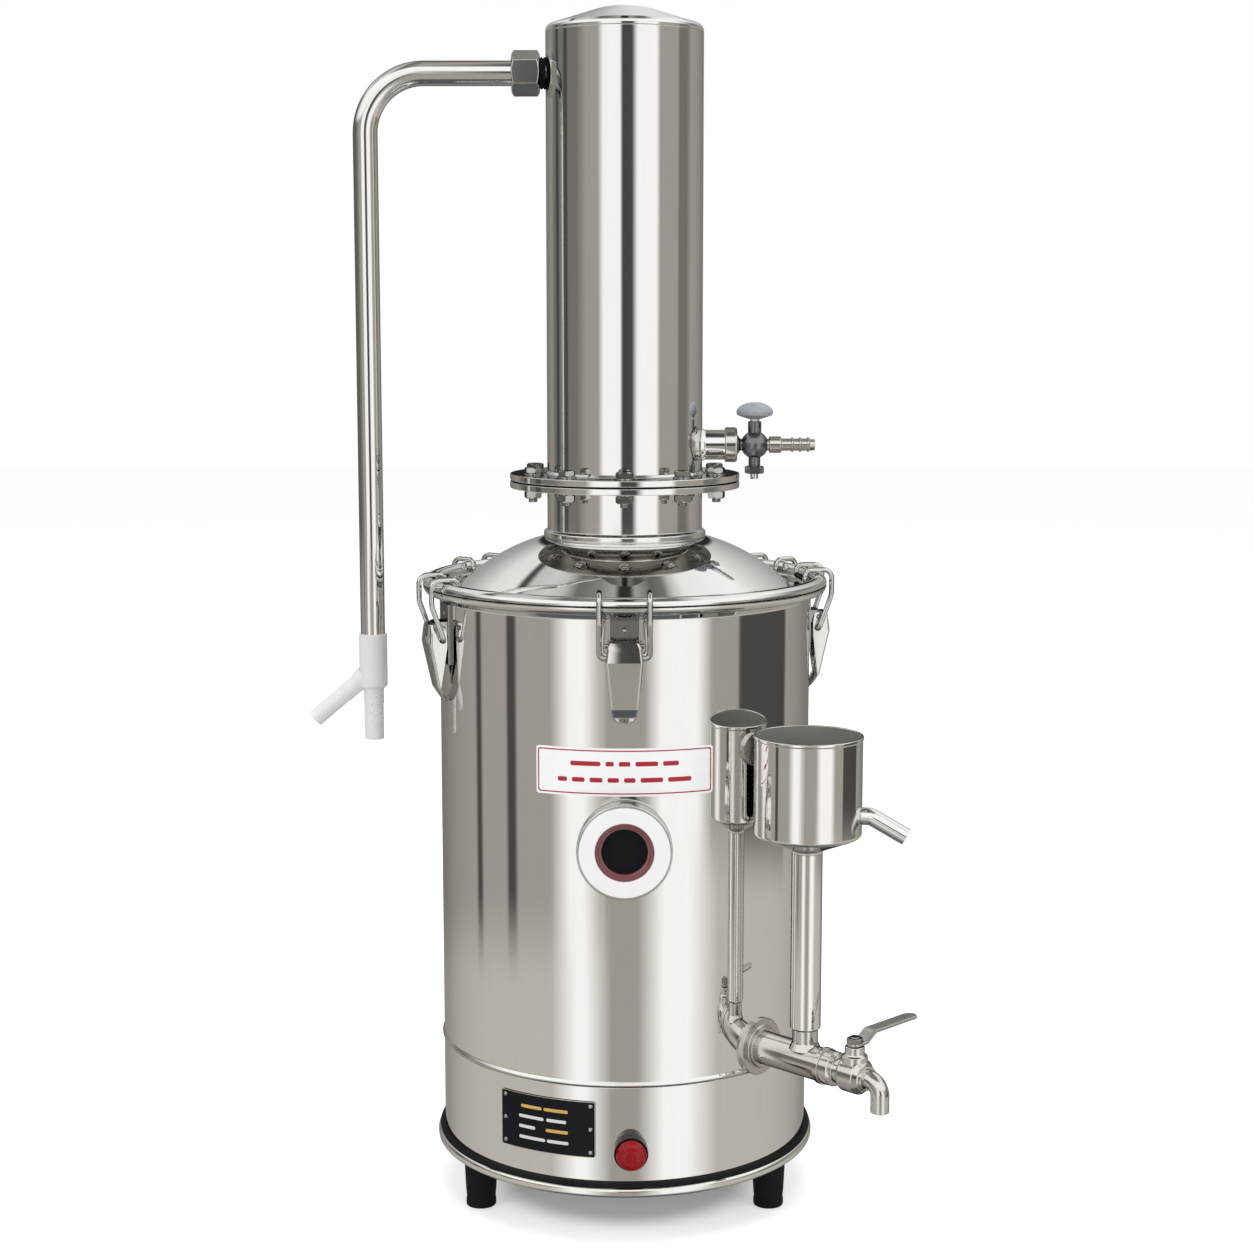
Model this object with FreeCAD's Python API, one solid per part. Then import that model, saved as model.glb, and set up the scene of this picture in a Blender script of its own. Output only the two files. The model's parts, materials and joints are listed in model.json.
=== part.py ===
"""Stainless-steel electric water distiller, modelled in millimetres.

Frame: +Z is up, the origin is on the boiler's axis at the level of the bench, and the
sight port faces -Y. An azimuth is measured from the front (-Y) towards +X. Whatever sits
on the round body is drawn at azimuth 0 and then turned about Z into its place.
"""
import FreeCAD, Part
import math
import os

# ---- base: feet, plate, skirt -------------------------------------------------------
FOOT_HEIGHT = 32.4
FOOT_TOP_DIA = 22.0
FOOT_LOW_DIA = 19.0
FOOT_LIP_DIA = 19.8
FOOT_LIP_HEIGHT = 5.0
FOOT_SETBACK = 12.5
FOOT_AZIMUTHS = (60.0, 180.0, 300.0)
FOOT_SCREW_DIA = 5.0
FOOT_SCREW_HEAD_DIA = 9.0
FOOT_SCREW_HEAD_HEIGHT = 3.5
FOOT_RECESS_DIA = 10.4
FOOT_RECESS_DEPTH = 18.0
FOOT_NUT_AF = 8.0
FOOT_NUT_HEIGHT = 4.0
FOOT_SCREW_STUB = 1.5

PLATE_THICKNESS = 1.6
PLATE_OVERHANG = 4.6
PLATE_BEAD_HEIGHT = 6.6
PLATE_BEAD_WIDTH = 5.0
TRIM_HEIGHT = 2.4
TRIM_WIDTH = 3.4
SKIRT_HEIGHT = 69.6
SKIRT_WALL = 1.2

# ---- boiler -------------------------------------------------------------------------
BODY_R = 122.5
SHELL_WALL = 1.2
WALL_CUT = 12.0
SEAM_GAP = 0.7
SEAM_BEAD = 0.7
SEAM_BEAD_HEIGHT = 2.6
SHELL_HEIGHT = 305.0
FLOOR_LIFT = 9.0
FLOOR_THICKNESS = 1.5
FLOOR_LIP = 8.0

RIM_REACH = 10.9
RIM_WIDTH = 9.1
RIM_HALF_HEIGHT = 5.2
RIM_FLARE = 3.3
GASKET_THICKNESS = 0.8
GASKET_SETBACK = 1.4

# ---- lid and neck -------------------------------------------------------------------
LID_WALL = 1.2
LID_TROUGH_DROP = 3.4
LID_SPIGOT_GAP = 0.4
DOME_SETBACK = 13.0
DOME_RISE = 32.9
DOME_BULGE = 4.6
NECK_R = 51.0
NECK_WALL = 1.2
NECK_SPIGOT = 6.0
NECK_BEAD = 2.4
NECK_BEAD_HEIGHT = 4.0
NECK_LENGTH = 32.0

# ---- neck flanges and their bolts ---------------------------------------------------
FLANGE_REACH = 24.5
FLANGE_THICKNESS = 4.1
FLANGE_EDGE = 0.5
FLANGE_GASKET = 1.0
FLANGE_GASKET_SETBACK = 1.6
BOLT_COUNT = 10
BOLT_CIRCLE_REACH = 11.8
BOLT_DIA = 6.0
BOLT_HOLE_DIA = 6.6
BOLT_AF = 10.0
BOLT_HEAD_HEIGHT = 4.0
BOLT_NUT_HEIGHT = 5.0
BOLT_WASHER_DIA = 12.4
BOLT_WASHER_THICKNESS = 1.0
BOLT_STUB = 2.6

# ---- condenser ----------------------------------------------------------------------
CONDENSER_WALL = 1.2
CONDENSER_HEIGHT = 286.0
CAP_EDGE_RISE = 4.4
CAP_KNUCKLE = 3.0
CAP_SLOPE = 18.0
CAP_CROWN_R = 22.0
CAP_SHEET = 1.2
CAP_SPIGOT = 6.0
TUBE_SHEET_THICKNESS = 3.0
TUBE_SHEET_GAP = 0.3
LOW_SHEET_LIFT = 8.0
HIGH_SHEET_DROP = 52.0
STEAM_TUBE_COUNT = 6
STEAM_TUBE_DIA = 14.0
STEAM_TUBE_WALL = 1.0
STEAM_TUBE_CIRCLE_R = 30.0
TRAY_LIFT = 16.0
TRAY_WALL = 1.2
TRAY_HOLE_R = 20.0
TRAY_LIP = 8.0
OUTLET_DIA = 10.0
OUTLET_WALL = 1.0
OUTLET_REACH = 26.0
OUTLET_FLOOR_LIFT = 2.2
OUTLET_AZIMUTH = 162.0
OUTLET_COLLAR_DIA = 12.0
OUTLET_COLLAR_LENGTH = 2.0

# ---- return pipe and wye ------------------------------------------------------------
RETURN_DROP = 25.0
RETURN_DIA = 16.0
RETURN_WALL = 1.0
RETURN_LEG_REACH = 45.1
RETURN_BEND_R = 38.0
RETURN_LEG_LENGTH = 380.0
RETURN_BOSS_DIA = 17.8
RETURN_BOSS_LENGTH = 9.0
SEAL_DIA = 20.4
SEAL_LENGTH = 3.6
SEAL_WAIST = 0.9
NUT_AF = 25.6
NUT_LENGTH = 18.2
NUT_BORE_GAP = 0.06
NUT_CHAMFER = 1.6
PIPE_INSERT = 11.0

WYE_SLEEVE_DIA = 18.6
WYE_SLEEVE_LENGTH = 36.0
WYE_PUSH = 16.0
WYE_BORE_GAP = 0.05
WYE_LEG_DIA = 12.8
WYE_WALL = 1.3
WYE_LEG_LENGTH = 35.0
WYE_BRANCH_DIA = 11.4
WYE_BRANCH_LENGTH = 51.5
WYE_BRANCH_TILT = 40.0
WYE_BRANCH_LIFT = 11.7
WYE_LEG_GRIP = 24.0
WYE_BRANCH_GRIP = 26.0
WYE_STOP_STEP = 0.6

# ---- cooling-water cock -------------------------------------------------------------
COCK_LIFT = 18.4
COCK_STUB_DIA = 19.6
COCK_STUB_REACH = 15.0
COCK_BORE_DIA = 4.5
COCK_UNION_DIA = 22.8
COCK_UNION_LENGTH = 7.8
COCK_UNION_CHAMFER = 1.4
COCK_NECK_DIA = 10.6
COCK_NECK_LENGTH = 4.6
COCK_BALL_DIA = 18.2
COCK_BALL_FROM_UNION = 11.6
COCK_COLLAR_DIA = 10.8
COCK_COLLAR_REACH = 17.2
COCK_BARB_DIA = 8.0
COCK_BARB_RIDGE = 0.8
COCK_BARB_LENGTH = 22.4
COCK_BARB_RIDGES = 3
COCK_BARB_PITCH = 5.2
COCK_PLUG_DIA = 6.0
COCK_PLUG_GAP = 0.05
COCK_GLAND_DIA = 8.8
COCK_GLAND_RISE = 15.4
COCK_GLAND_NECK = 3.0
COCK_LOW_DIA = 7.8
COCK_STEM_RISE = 22.3
COCK_KNOB_DIA = 24.2
COCK_KNOB_HEIGHT = 11.2
COCK_KNOB_LIP = 0.22
COCK_TAIL_AF = 11.0
COCK_TAIL_NUT_TOP = 14.0
COCK_TAIL_NUT_HEIGHT = 5.0
COCK_TAIL_END = 22.4
COCK_TAIL_END_DIA = 5.2
COCK_RUN_GAP = 0.3

# ---- front fittings: sight port, label, lamp, name plate ---------------------------
SIGHT_LIFT = 154.5
SIGHT_NECK_DIA = 49.0
SIGHT_NECK_WALL = 2.0
SIGHT_NECK_REACH = 7.0
SIGHT_RING_DIA = 59.5
SIGHT_RING_DEPTH = 10.5
SIGHT_RING_EDGE = 1.6
SIGHT_RING_BORE = 36.6
SIGHT_GASKET_BORE = 28.6
SIGHT_GASKET_DEPTH = 4.0
SIGHT_RECESS = 1.6
SIGHT_GLASS_DIA = 44.0
SIGHT_GLASS_THICKNESS = 4.0

LABEL_ABOVE_SIGHT = 31.9
LABEL_HEIGHT = 30.2
LABEL_HALF_ANGLE = 26.5
LABEL_THICKNESS = 0.25

LAMP_AZIMUTH = 1.8
LAMP_HEIGHT = 29.0
LAMP_BEZEL_DIA = 21.6
LAMP_BEZEL_REACH = 9.0
LAMP_LENS_DIA = 19.4
LAMP_LENS_REACH = 6.2
LAMP_LENS_BAND = 0.45
LAMP_THREAD_DIA = 13.0
LAMP_THREAD_LENGTH = 18.0
LAMP_NUT_AF = 18.0
LAMP_NUT_HEIGHT = 3.0

NAME_LIFT = 23.3
NAME_HEIGHT = 36.8
NAME_START = -39.8
NAME_END = -8.6
NAME_THICKNESS = 0.7
RIVET_DIA = 3.0
RIVET_HEAD = 0.7
RIVET_INSET = 3.2

# ---- heater, inside the boiler and the skirt ---------------------------------------
HEATER_ROD_DIA = 10.0
HEATER_LEG_SPAN = 44.0
HEATER_REACH = 95.0
HEATER_LIFT = 26.0
HEATER_NUT_AF = 22.0
HEATER_NUT_HEIGHT = 5.0
HEATER_TAIL = 16.0
HEATER_PIN_DIA = 4.0
HEATER_BEND_R = 18.0
TERMINAL_LENGTH = 46.0
TERMINAL_WIDTH = 18.0
TERMINAL_HEIGHT = 14.0
CUTOUT_DIA = 15.0
CUTOUT_HEIGHT = 9.0
CUTOUT_OFFSET = 55.0
GLAND_LIFT = 22.0
GLAND_HEX_AF = 19.0
GLAND_HEX_LENGTH = 5.0
GLAND_CAP_DIA = 17.0
GLAND_CAP_LENGTH = 11.0
GLAND_BORE_DIA = 8.0
GLAND_THREAD_DIA = 15.0
GLAND_THREAD_LENGTH = 12.0

# ---- feed cup, stand pipe and drain ------------------------------------------------
FEED_AZIMUTH = 45.0
FEED_REACH = 38.5
DRAIN_LIFT = 15.0
DRAIN_DIA = 21.3
DRAIN_WALL = 1.6
DRAIN_COLLAR_DIA = 23.4
DRAIN_COLLAR_LENGTH = 4.0
DRAIN_END_PAST = 19.0
ESCUTCHEON_DIA = 37.0
ESCUTCHEON_PLATE = 2.2
ESCUTCHEON_EDGE = 0.7
ESCUTCHEON_HUB_DIA = 26.0
ESCUTCHEON_HUB = 5.2
SOCKET_DIA = 16.2
SOCKET_TOP = 20.4
STAND_DIA = 19.4
STAND_WALL = 1.2
STAND_TAPER = 1.2
STAND_LENGTH = 113.6
CUP_DIA = 67.6
CUP_WALL = 1.2
CUP_CONE_HEIGHT = 11.5
CUP_HEIGHT = 63.0
CUP_LIP = 0.5
CUP_OUTLET_DIA = 15.4
SPILL_LIFT = 13.0
SPILL_DIA = 11.0
SPILL_WALL = 0.9
SPILL_AZIMUTH = 80.0
SPILL_STUB = 5.5
SPILL_BEND_R = 8.0
SPILL_LENGTH = 25.0
SPILL_TILT = 29.0
TAB_WIDTH = 36.0
TAB_HEIGHT = 21.0
TAB_THICKNESS = 2.0
TAB_BELOW_RIM = 2.5
TAB_WEB_WIDTH = 12.0
TAB_DIMPLE_R = 2.0

# ---- drain tap ----------------------------------------------------------------------
TAP_SLEEVE_DIA = 22.0
TAP_SLEEVE_LENGTH = 7.5
TAP_WAIST_DIA = 15.6
TAP_WAIST_LENGTH = 5.0
TAP_BODY_DIA = 22.6
TAP_BODY_LENGTH = 17.5
TAP_SHOULDER = 3.0
TAP_COLLAR_DIA = 15.6
TAP_COLLAR_LENGTH = 2.4
TAP_BORE_DIA = 8.0
TAP_BALL_DIA = 13.0
TAP_BALL_GAP = 0.15
TAP_BONNET_DIA = 12.4
TAP_BONNET_RISE = 18.6
TAP_STEM_DIA = 6.0
TAP_STEM_GAP = 0.05
TAP_STEM_TOP = 24.6
TAP_SPOUT_DIA = 11.6
TAP_SPOUT_WALL = 1.2
TAP_SPOUT_BEND_R = 9.0
TAP_SPOUT_REACH = 9.2
TAP_SPOUT_DROP = 19.0
TAP_LEVER_WIDTH = 10.0
TAP_LEVER_THICKNESS = 2.0
TAP_LEVER_LENGTH = 59.0
TAP_LEVER_STEP = 5.2
TAP_LEVER_STEP_RUN = 8.0
TAP_LEVER_ROOT = 7.0
TAP_LEVER_AZIMUTH = 135.0
TAP_NUT_AF = 9.0
TAP_NUT_HEIGHT = 2.8

# ---- over-centre latches ------------------------------------------------------------
LATCH_AZIMUTHS = {"front": 0.0, "left": -70.0, "rear_left": -127.0,
                  "rear_right": 127.0, "right": 97.0}
LATCH_PIN_DIA = 3.0
LATCH_RUN_GAP = 0.05
LATCH_PIN_STANDOFF = 6.8
LATCH_PIN_BELOW_RIM = 23.7
LATCH_BAIL_DROP = 7.8
LATCH_BAIL_INSET = 1.0
LEVER_SHEET = 1.2
LEVER_TOP_WIDTH = 20.6
LEVER_FOLD_WIDTH = 23.2
LEVER_LOW_WIDTH = 17.6
LEVER_TIP_WIDTH = 8.4
LEVER_TOP_RISE = 2.5
LEVER_TOP_OUT = 6.2
LEVER_FOLD_DROP = 9.6
LEVER_FOLD_OUT = 7.4
LEVER_LOW_DROP = 39.2
LEVER_LOW_OUT = 1.4
LEVER_TIP_DROP = 48.6
LEVER_TIP_OUT = -4.4
LEVER_FLANGE_DEPTH = 3.9
BRACKET_WIDTH = 17.8
BRACKET_THICKNESS = 1.6
BRACKET_RISE = 15.0
BRACKET_DROP = 24.0
BRACKET_BACK = 3.0
BRACKET_DIMPLE_R = 2.2
BRACKET_DIMPLE_OUT = 1.4
BRACKET_DIMPLE_RISE = 9.3
BRACKET_EAR = 1.3
BRACKET_EAR_INSET = 0.6
BRACKET_EAR_R = 4.0
BAIL_WIRE = 3.4
BAIL_SPAN = 31.0
BAIL_INNER_GAP = 1.2
BAIL_OUTER_GAP = 1.4
BAIL_TOP_GAP = 0.6
BAIL_HOOK_DEPTH = 6.6
BAIL_CORNER_R = 4.2
BAIL_SHOULDER_R = 5.6
BAIL_KNEE_R = 12.0
BAIL_HOOK_R = 2.2
BAIL_END_R = 3.4
BAIL_END_PAST = 0.3

# ---- heights worked out from the stack ---------------------------------------------
PLATE_TOP = FOOT_HEIGHT + PLATE_THICKNESS
PLATE_R = BODY_R + PLATE_OVERHANG
FOOT_CIRCLE_R = BODY_R - FOOT_SETBACK
SKIRT_TOP = PLATE_TOP + SKIRT_HEIGHT
SHELL_BOTTOM = SKIRT_TOP + SEAM_GAP
SHELL_TOP = SHELL_BOTTOM + SHELL_HEIGHT
SHELL_INNER_R = BODY_R - SHELL_WALL
FLOOR_TOP = SHELL_BOTTOM + FLOOR_LIFT
RIM_OUTER_R = BODY_R + RIM_REACH
RIM_INNER_R = RIM_OUTER_R - RIM_WIDTH
LID_SEAT = SHELL_TOP + GASKET_THICKNESS
LID_RIM_TOP = LID_SEAT + RIM_HALF_HEIGHT
DOME_FOOT_R = BODY_R - DOME_SETBACK
TROUGH_Z = LID_SEAT - LID_TROUGH_DROP + LID_WALL
DOME_TOP = TROUGH_Z + DOME_RISE
FLANGE_R = NECK_R + FLANGE_REACH
BOLT_CIRCLE_R = NECK_R + BOLT_CIRCLE_REACH
FLANGE_BOTTOM = DOME_TOP + NECK_LENGTH
FLANGE_MID = FLANGE_BOTTOM + FLANGE_THICKNESS
UPPER_FLANGE_BOTTOM = FLANGE_MID + FLANGE_GASKET
FLANGE_TOP = UPPER_FLANGE_BOTTOM + FLANGE_THICKNESS
CONDENSER_TOP = UPPER_FLANGE_BOTTOM + CONDENSER_HEIGHT
RETURN_LEG_X = BODY_R + RETURN_LEG_REACH
RETURN_Z = CONDENSER_TOP - RETURN_DROP
COCK_Z = FLANGE_TOP + COCK_LIFT
SIGHT_Z = SHELL_BOTTOM + SIGHT_LIFT
FEED_R = BODY_R + FEED_REACH
DRAIN_END_R = FEED_R + DRAIN_END_PAST
DRAIN_Z = SHELL_BOTTOM + DRAIN_LIFT
STAND_BOTTOM = DRAIN_Z + SOCKET_TOP
CUP_BOTTOM = STAND_BOTTOM + STAND_LENGTH
CUP_RIM = CUP_BOTTOM + CUP_CONE_HEIGHT + CUP_HEIGHT
LATCH_PIN_R = BODY_R + LATCH_PIN_STANDOFF
LATCH_PIN_Z = SHELL_TOP - LATCH_PIN_BELOW_RIM
BAIL_PIN_R = LATCH_PIN_R - LATCH_BAIL_INSET
BAIL_PIN_Z = LATCH_PIN_Z - LATCH_BAIL_DROP
TINY = 0.01


# ---- helpers ------------------------------------------------------------------------
def vec(x, y, z):
    return FreeCAD.Vector(x, y, z)


UP = vec(0, 0, 1)
ORIGIN = vec(0, 0, 0)


def cylinder(dia, start, end):
    """A round bar of the given diameter between two points."""
    way = end - start
    return Part.makeCylinder(dia / 2, way.Length, start, way)


def cone(start_dia, end_dia, start, end):
    """A tapered round bar between two points."""
    way = end - start
    return Part.makeCone(start_dia / 2, end_dia / 2, way.Length, start, way)


def tube(dia, bore, start, end):
    return cylinder(dia, start, end).cut(cylinder(bore, start, end))


def revolve(outline):
    """Turn an outline of (radius, height) points about Z.

    An entry of three pairs, ("arc", middle, end), is an arc from the last point.
    """
    edges = []
    last = vec(outline[0][0], 0, outline[0][1])
    first = last
    for entry in outline[1:]:
        if entry[0] == "arc":
            middle = vec(entry[1][0], 0, entry[1][1])
            end = vec(entry[2][0], 0, entry[2][1])
            edges.append(Part.Arc(last, middle, end).toShape())
        else:
            end = vec(entry[0], 0, entry[1])
            edges.append(Part.LineSegment(last, end).toShape())
        last = end
    if (last - first).Length > TINY:
        edges.append(Part.LineSegment(last, first).toShape())
    face = Part.Face(Part.Wire(edges))
    return face.revolve(ORIGIN, UP, 360)


def corner_arc(start, corner, end):
    """An outline entry: a quarter round from start to end inside their corner."""
    share = 1 - 1 / math.sqrt(2)
    middle = [corner[axis] + share * (start[axis] + end[axis] - 2 * corner[axis]) for axis in (0, 1)]
    return ("arc", middle, end)


def axis_arc(start, end):
    """An outline entry: a spherical arc between a point on the axis and one off it."""
    apex, rim = (start, end) if start[0] == 0 else (end, start)
    rise = rim[1] - apex[1]
    radius = (rim[0] ** 2 + rise ** 2) / (2 * abs(rise))
    half = math.asin(min(1.0, rim[0] / radius)) / 2
    if abs(rise) > radius:
        half = (math.pi - math.asin(rim[0] / radius)) / 2
    side = 1 if rise > 0 else -1
    middle = (radius * math.sin(half), apex[1] + side * radius * (1 - math.cos(half)))
    return ("arc", middle, end)


def turned(shape, azimuth):
    """A copy of a shape drawn at azimuth 0, turned about Z to an azimuth."""
    copy = shape.copy()
    copy.rotate(ORIGIN, UP, azimuth)
    return copy


def moved(shape, x, y, z):
    copy = shape.copy()
    copy.translate(vec(x, y, z))
    return copy


def along(shape, way, at):
    """A shape drawn about +Z, laid so that +Z becomes the given way, at a point."""
    copy = shape.copy()
    turn = FreeCAD.Rotation(UP, way)
    copy.Placement = FreeCAD.Placement(at, turn).multiply(copy.Placement)
    return copy


def hexagon(across_flats, height):
    """A hexagonal bar on the XY plane, with flats facing +Y and -Y."""
    radius = across_flats / math.sqrt(3)
    points = []
    for step in range(7):
        angle = math.radians(60 * step)
        points.append(vec(radius * math.cos(angle), radius * math.sin(angle), 0))
    return Part.Face(Part.makePolygon(points)).extrude(vec(0, 0, height))


def hex_nut(across_flats, height, bore, chamfer):
    """A hexagonal nut about Z, its corners turned off at both ends."""
    corner = across_flats / math.sqrt(3)
    rounding = revolve([
        (0, 0), (corner - chamfer, 0), (corner + TINY, chamfer / 2),
        (corner + TINY, height - chamfer / 2), (corner - chamfer, height), (0, height)])
    nut = hexagon(across_flats, height).common(rounding)
    if bore > 0:
        nut = nut.cut(Part.makeCylinder(bore / 2, height))
    return nut


def rounded_path(points, radii):
    """A wire through points whose inner corners are arcs of the given radii."""
    edges = []
    last = points[0]
    for index, radius in enumerate(radii):
        corner = points[index + 1]
        into = (corner - last).normalize()
        out = (points[index + 2] - corner).normalize()
        turn = into.getAngle(out)
        run = radius * math.tan(turn / 2)
        start = corner - into * run
        end = corner + out * run
        bisector = (out - into).normalize()
        middle = corner + bisector * (radius / math.cos(turn / 2) - radius)
        edges.append(Part.LineSegment(last, start).toShape())
        edges.append(Part.Arc(start, middle, end).toShape())
        last = end
    edges.append(Part.LineSegment(last, points[-1]).toShape())
    return Part.Wire(edges)


def rod(path, dia):
    """A round bar swept along a wire."""
    start = path.Edges[0].valueAt(path.Edges[0].FirstParameter)
    way = path.Edges[0].tangentAt(path.Edges[0].FirstParameter)
    circle = Part.Wire(Part.makeCircle(dia / 2, start, way))
    return path.makePipeShell([circle], True, False)


def union(shapes):
    """One clean solid made of shapes that overlap or touch."""
    result = shapes[0]
    for shape in shapes[1:]:
        result = result.fuse(shape)
    return result.removeSplitter()


def arc_band(inner_r, outer_r, low, high, start, end):
    """A piece of a ring between two azimuths."""
    ring = revolve([(inner_r, low), (outer_r, low), (outer_r, high), (inner_r, high)])
    span = end - start
    reach = outer_r * 2
    wedge = Part.makeCylinder(reach, high - low, vec(0, 0, low), UP, span)
    wedge.rotate(ORIGIN, UP, start - 90)
    return ring.common(wedge)


def front(radius, height, across=0.0):
    """A point in front of the axis: at azimuth 0, at a radius and a height."""
    return vec(across, -radius, height)


def save(name, *shapes):
    """Write one node. More than one shape is a group of separate solids."""
    node = shapes[0] if len(shapes) == 1 else Part.makeCompound(list(shapes))
    node.exportStep("parts/" + name + ".step")


# ---- base ---------------------------------------------------------------------------
def foot():
    low_r = FOOT_LOW_DIA / 2
    lip_r = FOOT_LIP_DIA / 2
    solid = revolve([
        (0, 0), (lip_r - 1.0, 0), corner_arc((lip_r - 1.0, 0), (lip_r, 0), (lip_r, 1.0)),
        (lip_r, FOOT_LIP_HEIGHT), (low_r, FOOT_LIP_HEIGHT + 0.6),
        (FOOT_TOP_DIA / 2, FOOT_HEIGHT), (0, FOOT_HEIGHT)])
    solid = solid.cut(Part.makeCylinder(FOOT_RECESS_DIA / 2, FOOT_RECESS_DEPTH))
    solid = solid.cut(Part.makeCylinder(FOOT_SCREW_DIA / 2, FOOT_HEIGHT))
    return moved(solid, 0, -FOOT_CIRCLE_R, 0)


def foot_screw():
    head_top = FOOT_RECESS_DEPTH
    head_bottom = head_top - FOOT_SCREW_HEAD_HEIGHT
    tip = PLATE_TOP + FOOT_NUT_HEIGHT + FOOT_SCREW_STUB
    head = cylinder(FOOT_SCREW_HEAD_DIA, front(FOOT_CIRCLE_R, head_bottom),
                    front(FOOT_CIRCLE_R, head_top))
    shank = cylinder(FOOT_SCREW_DIA, front(FOOT_CIRCLE_R, head_bottom),
                     front(FOOT_CIRCLE_R, tip))
    return union([head, shank])


def foot_nut():
    nut = hex_nut(FOOT_NUT_AF, FOOT_NUT_HEIGHT, FOOT_SCREW_DIA, 0.8)
    return moved(nut, 0, -FOOT_CIRCLE_R, PLATE_TOP)


def base_plate():
    bead_top = FOOT_HEIGHT + PLATE_BEAD_HEIGHT
    middle = FOOT_HEIGHT + PLATE_BEAD_HEIGHT / 2
    crown = PLATE_R - PLATE_BEAD_WIDTH / 2
    plate = revolve([
        (0, FOOT_HEIGHT), (crown, FOOT_HEIGHT),
        corner_arc((crown, FOOT_HEIGHT), (PLATE_R, FOOT_HEIGHT), (PLATE_R, middle)),
        corner_arc((PLATE_R, middle), (PLATE_R, bead_top), (crown, bead_top)),
        (BODY_R, bead_top), (BODY_R, PLATE_TOP), (0, PLATE_TOP)])
    for azimuth in FOOT_AZIMUTHS:
        hole = cylinder(FOOT_SCREW_DIA, front(FOOT_CIRCLE_R, 0), front(FOOT_CIRCLE_R, PLATE_TOP))
        plate = plate.cut(turned(hole, azimuth))
    return plate


def base_trim_ring():
    low = FOOT_HEIGHT + PLATE_BEAD_HEIGHT
    top = low + TRIM_HEIGHT
    outer = BODY_R + TRIM_WIDTH
    round_start = (outer, low + TRIM_HEIGHT / 2)
    round_end = (outer - TRIM_WIDTH / 2, top)
    return revolve([
        (BODY_R, low), (outer, low), round_start, corner_arc(round_start, (outer, top), round_end),
        (BODY_R, top)])


def base_skirt():
    inner = BODY_R - SKIRT_WALL
    skirt = revolve([(inner, PLATE_TOP), (BODY_R, PLATE_TOP), (BODY_R, SKIRT_TOP), (inner, SKIRT_TOP)])
    lamp_z = PLATE_TOP + LAMP_HEIGHT
    lamp_hole = cylinder(LAMP_THREAD_DIA, front(0, lamp_z), front(BODY_R * 2, lamp_z))
    skirt = skirt.cut(turned(lamp_hole, LAMP_AZIMUTH))
    gland_z = PLATE_TOP + GLAND_LIFT
    gland_hole = cylinder(GLAND_THREAD_DIA, front(0, gland_z), front(BODY_R * 2, gland_z))
    skirt = skirt.cut(turned(gland_hole, 180))
    for place in rivet_places():
        hole = cylinder(RIVET_DIA * 0.6, front(BODY_R - 5, place[1]), front(BODY_R + 5, place[1]))
        skirt = skirt.cut(turned(hole, place[0]))
    return skirt


# ---- name plate, lamp, cable gland --------------------------------------------------
def rivet_places():
    """Azimuth and height of each rivet: the corners and the middle of both sides."""
    inset_angle = math.degrees(RIVET_INSET / BODY_R)
    low = PLATE_TOP + NAME_LIFT + RIVET_INSET
    high = PLATE_TOP + NAME_LIFT + NAME_HEIGHT - RIVET_INSET
    places = []
    for azimuth in (NAME_START + inset_angle, NAME_END - inset_angle):
        for height in (low, (low + high) / 2, high):
            places.append((azimuth, height))
    return places


def name_plate():
    low = PLATE_TOP + NAME_LIFT
    plate = arc_band(BODY_R, BODY_R + NAME_THICKNESS, low, low + NAME_HEIGHT, NAME_START, NAME_END)
    for place in rivet_places():
        hole = cylinder(RIVET_DIA * 0.6, front(BODY_R - 5, place[1]), front(BODY_R + 5, place[1]))
        plate = plate.cut(turned(hole, place[0]))
    return plate


def plate_rivet(azimuth, height):
    face = BODY_R + NAME_THICKNESS
    shank = cylinder(RIVET_DIA * 0.6, front(BODY_R - SKIRT_WALL, height), front(face, height))
    head_r = RIVET_DIA / 2
    head = revolve([(0, 0), (head_r, 0), axis_arc((head_r, 0), (0, RIVET_HEAD))])
    head = along(head, vec(0, -1, 0), front(face, height))
    return turned(union([shank, head]), azimuth)


def indicator_bezel():
    z = PLATE_TOP + LAMP_HEIGHT
    face = BODY_R + LAMP_BEZEL_REACH
    flange = cylinder(LAMP_BEZEL_DIA, front(BODY_R - SKIRT_WALL, z), front(face, z))
    flange = flange.cut(Part.makeCylinder(BODY_R, z * 2))
    thread = tube(LAMP_THREAD_DIA, LAMP_THREAD_DIA - 3, front(BODY_R - LAMP_THREAD_LENGTH, z),
                  front(BODY_R + 1, z))
    bezel = union([flange.cut(cylinder(LAMP_THREAD_DIA - 3, front(0, z), front(BODY_R + 1, z))), thread])
    socket = cylinder(LAMP_LENS_DIA - 1.6, front(face - 3, z), front(face + 1, z))
    return turned(bezel.cut(socket), LAMP_AZIMUTH)


def indicator_lens():
    z = PLATE_TOP + LAMP_HEIGHT
    face = BODY_R + LAMP_BEZEL_REACH
    stem = cylinder(LAMP_LENS_DIA - 1.6, front(face - 3, z), front(face, z))
    lens_r = LAMP_LENS_DIA / 2
    band = LAMP_LENS_REACH * LAMP_LENS_BAND
    dome = revolve([
        (0, 0), (lens_r, 0), (lens_r, band), axis_arc((lens_r, band), (0, LAMP_LENS_REACH))])
    dome = along(dome, vec(0, -1, 0), front(face, z))
    return turned(union([stem, dome]), LAMP_AZIMUTH)


def indicator_nut():
    z = PLATE_TOP + LAMP_HEIGHT
    inner = BODY_R - SKIRT_WALL
    seat = math.sqrt(inner ** 2 - (LAMP_NUT_AF / math.sqrt(3)) ** 2)
    nut = hex_nut(LAMP_NUT_AF, LAMP_NUT_HEIGHT, LAMP_THREAD_DIA, 0.8)
    return turned(along(nut, vec(0, 1, 0), front(seat, z)), LAMP_AZIMUTH)


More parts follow.
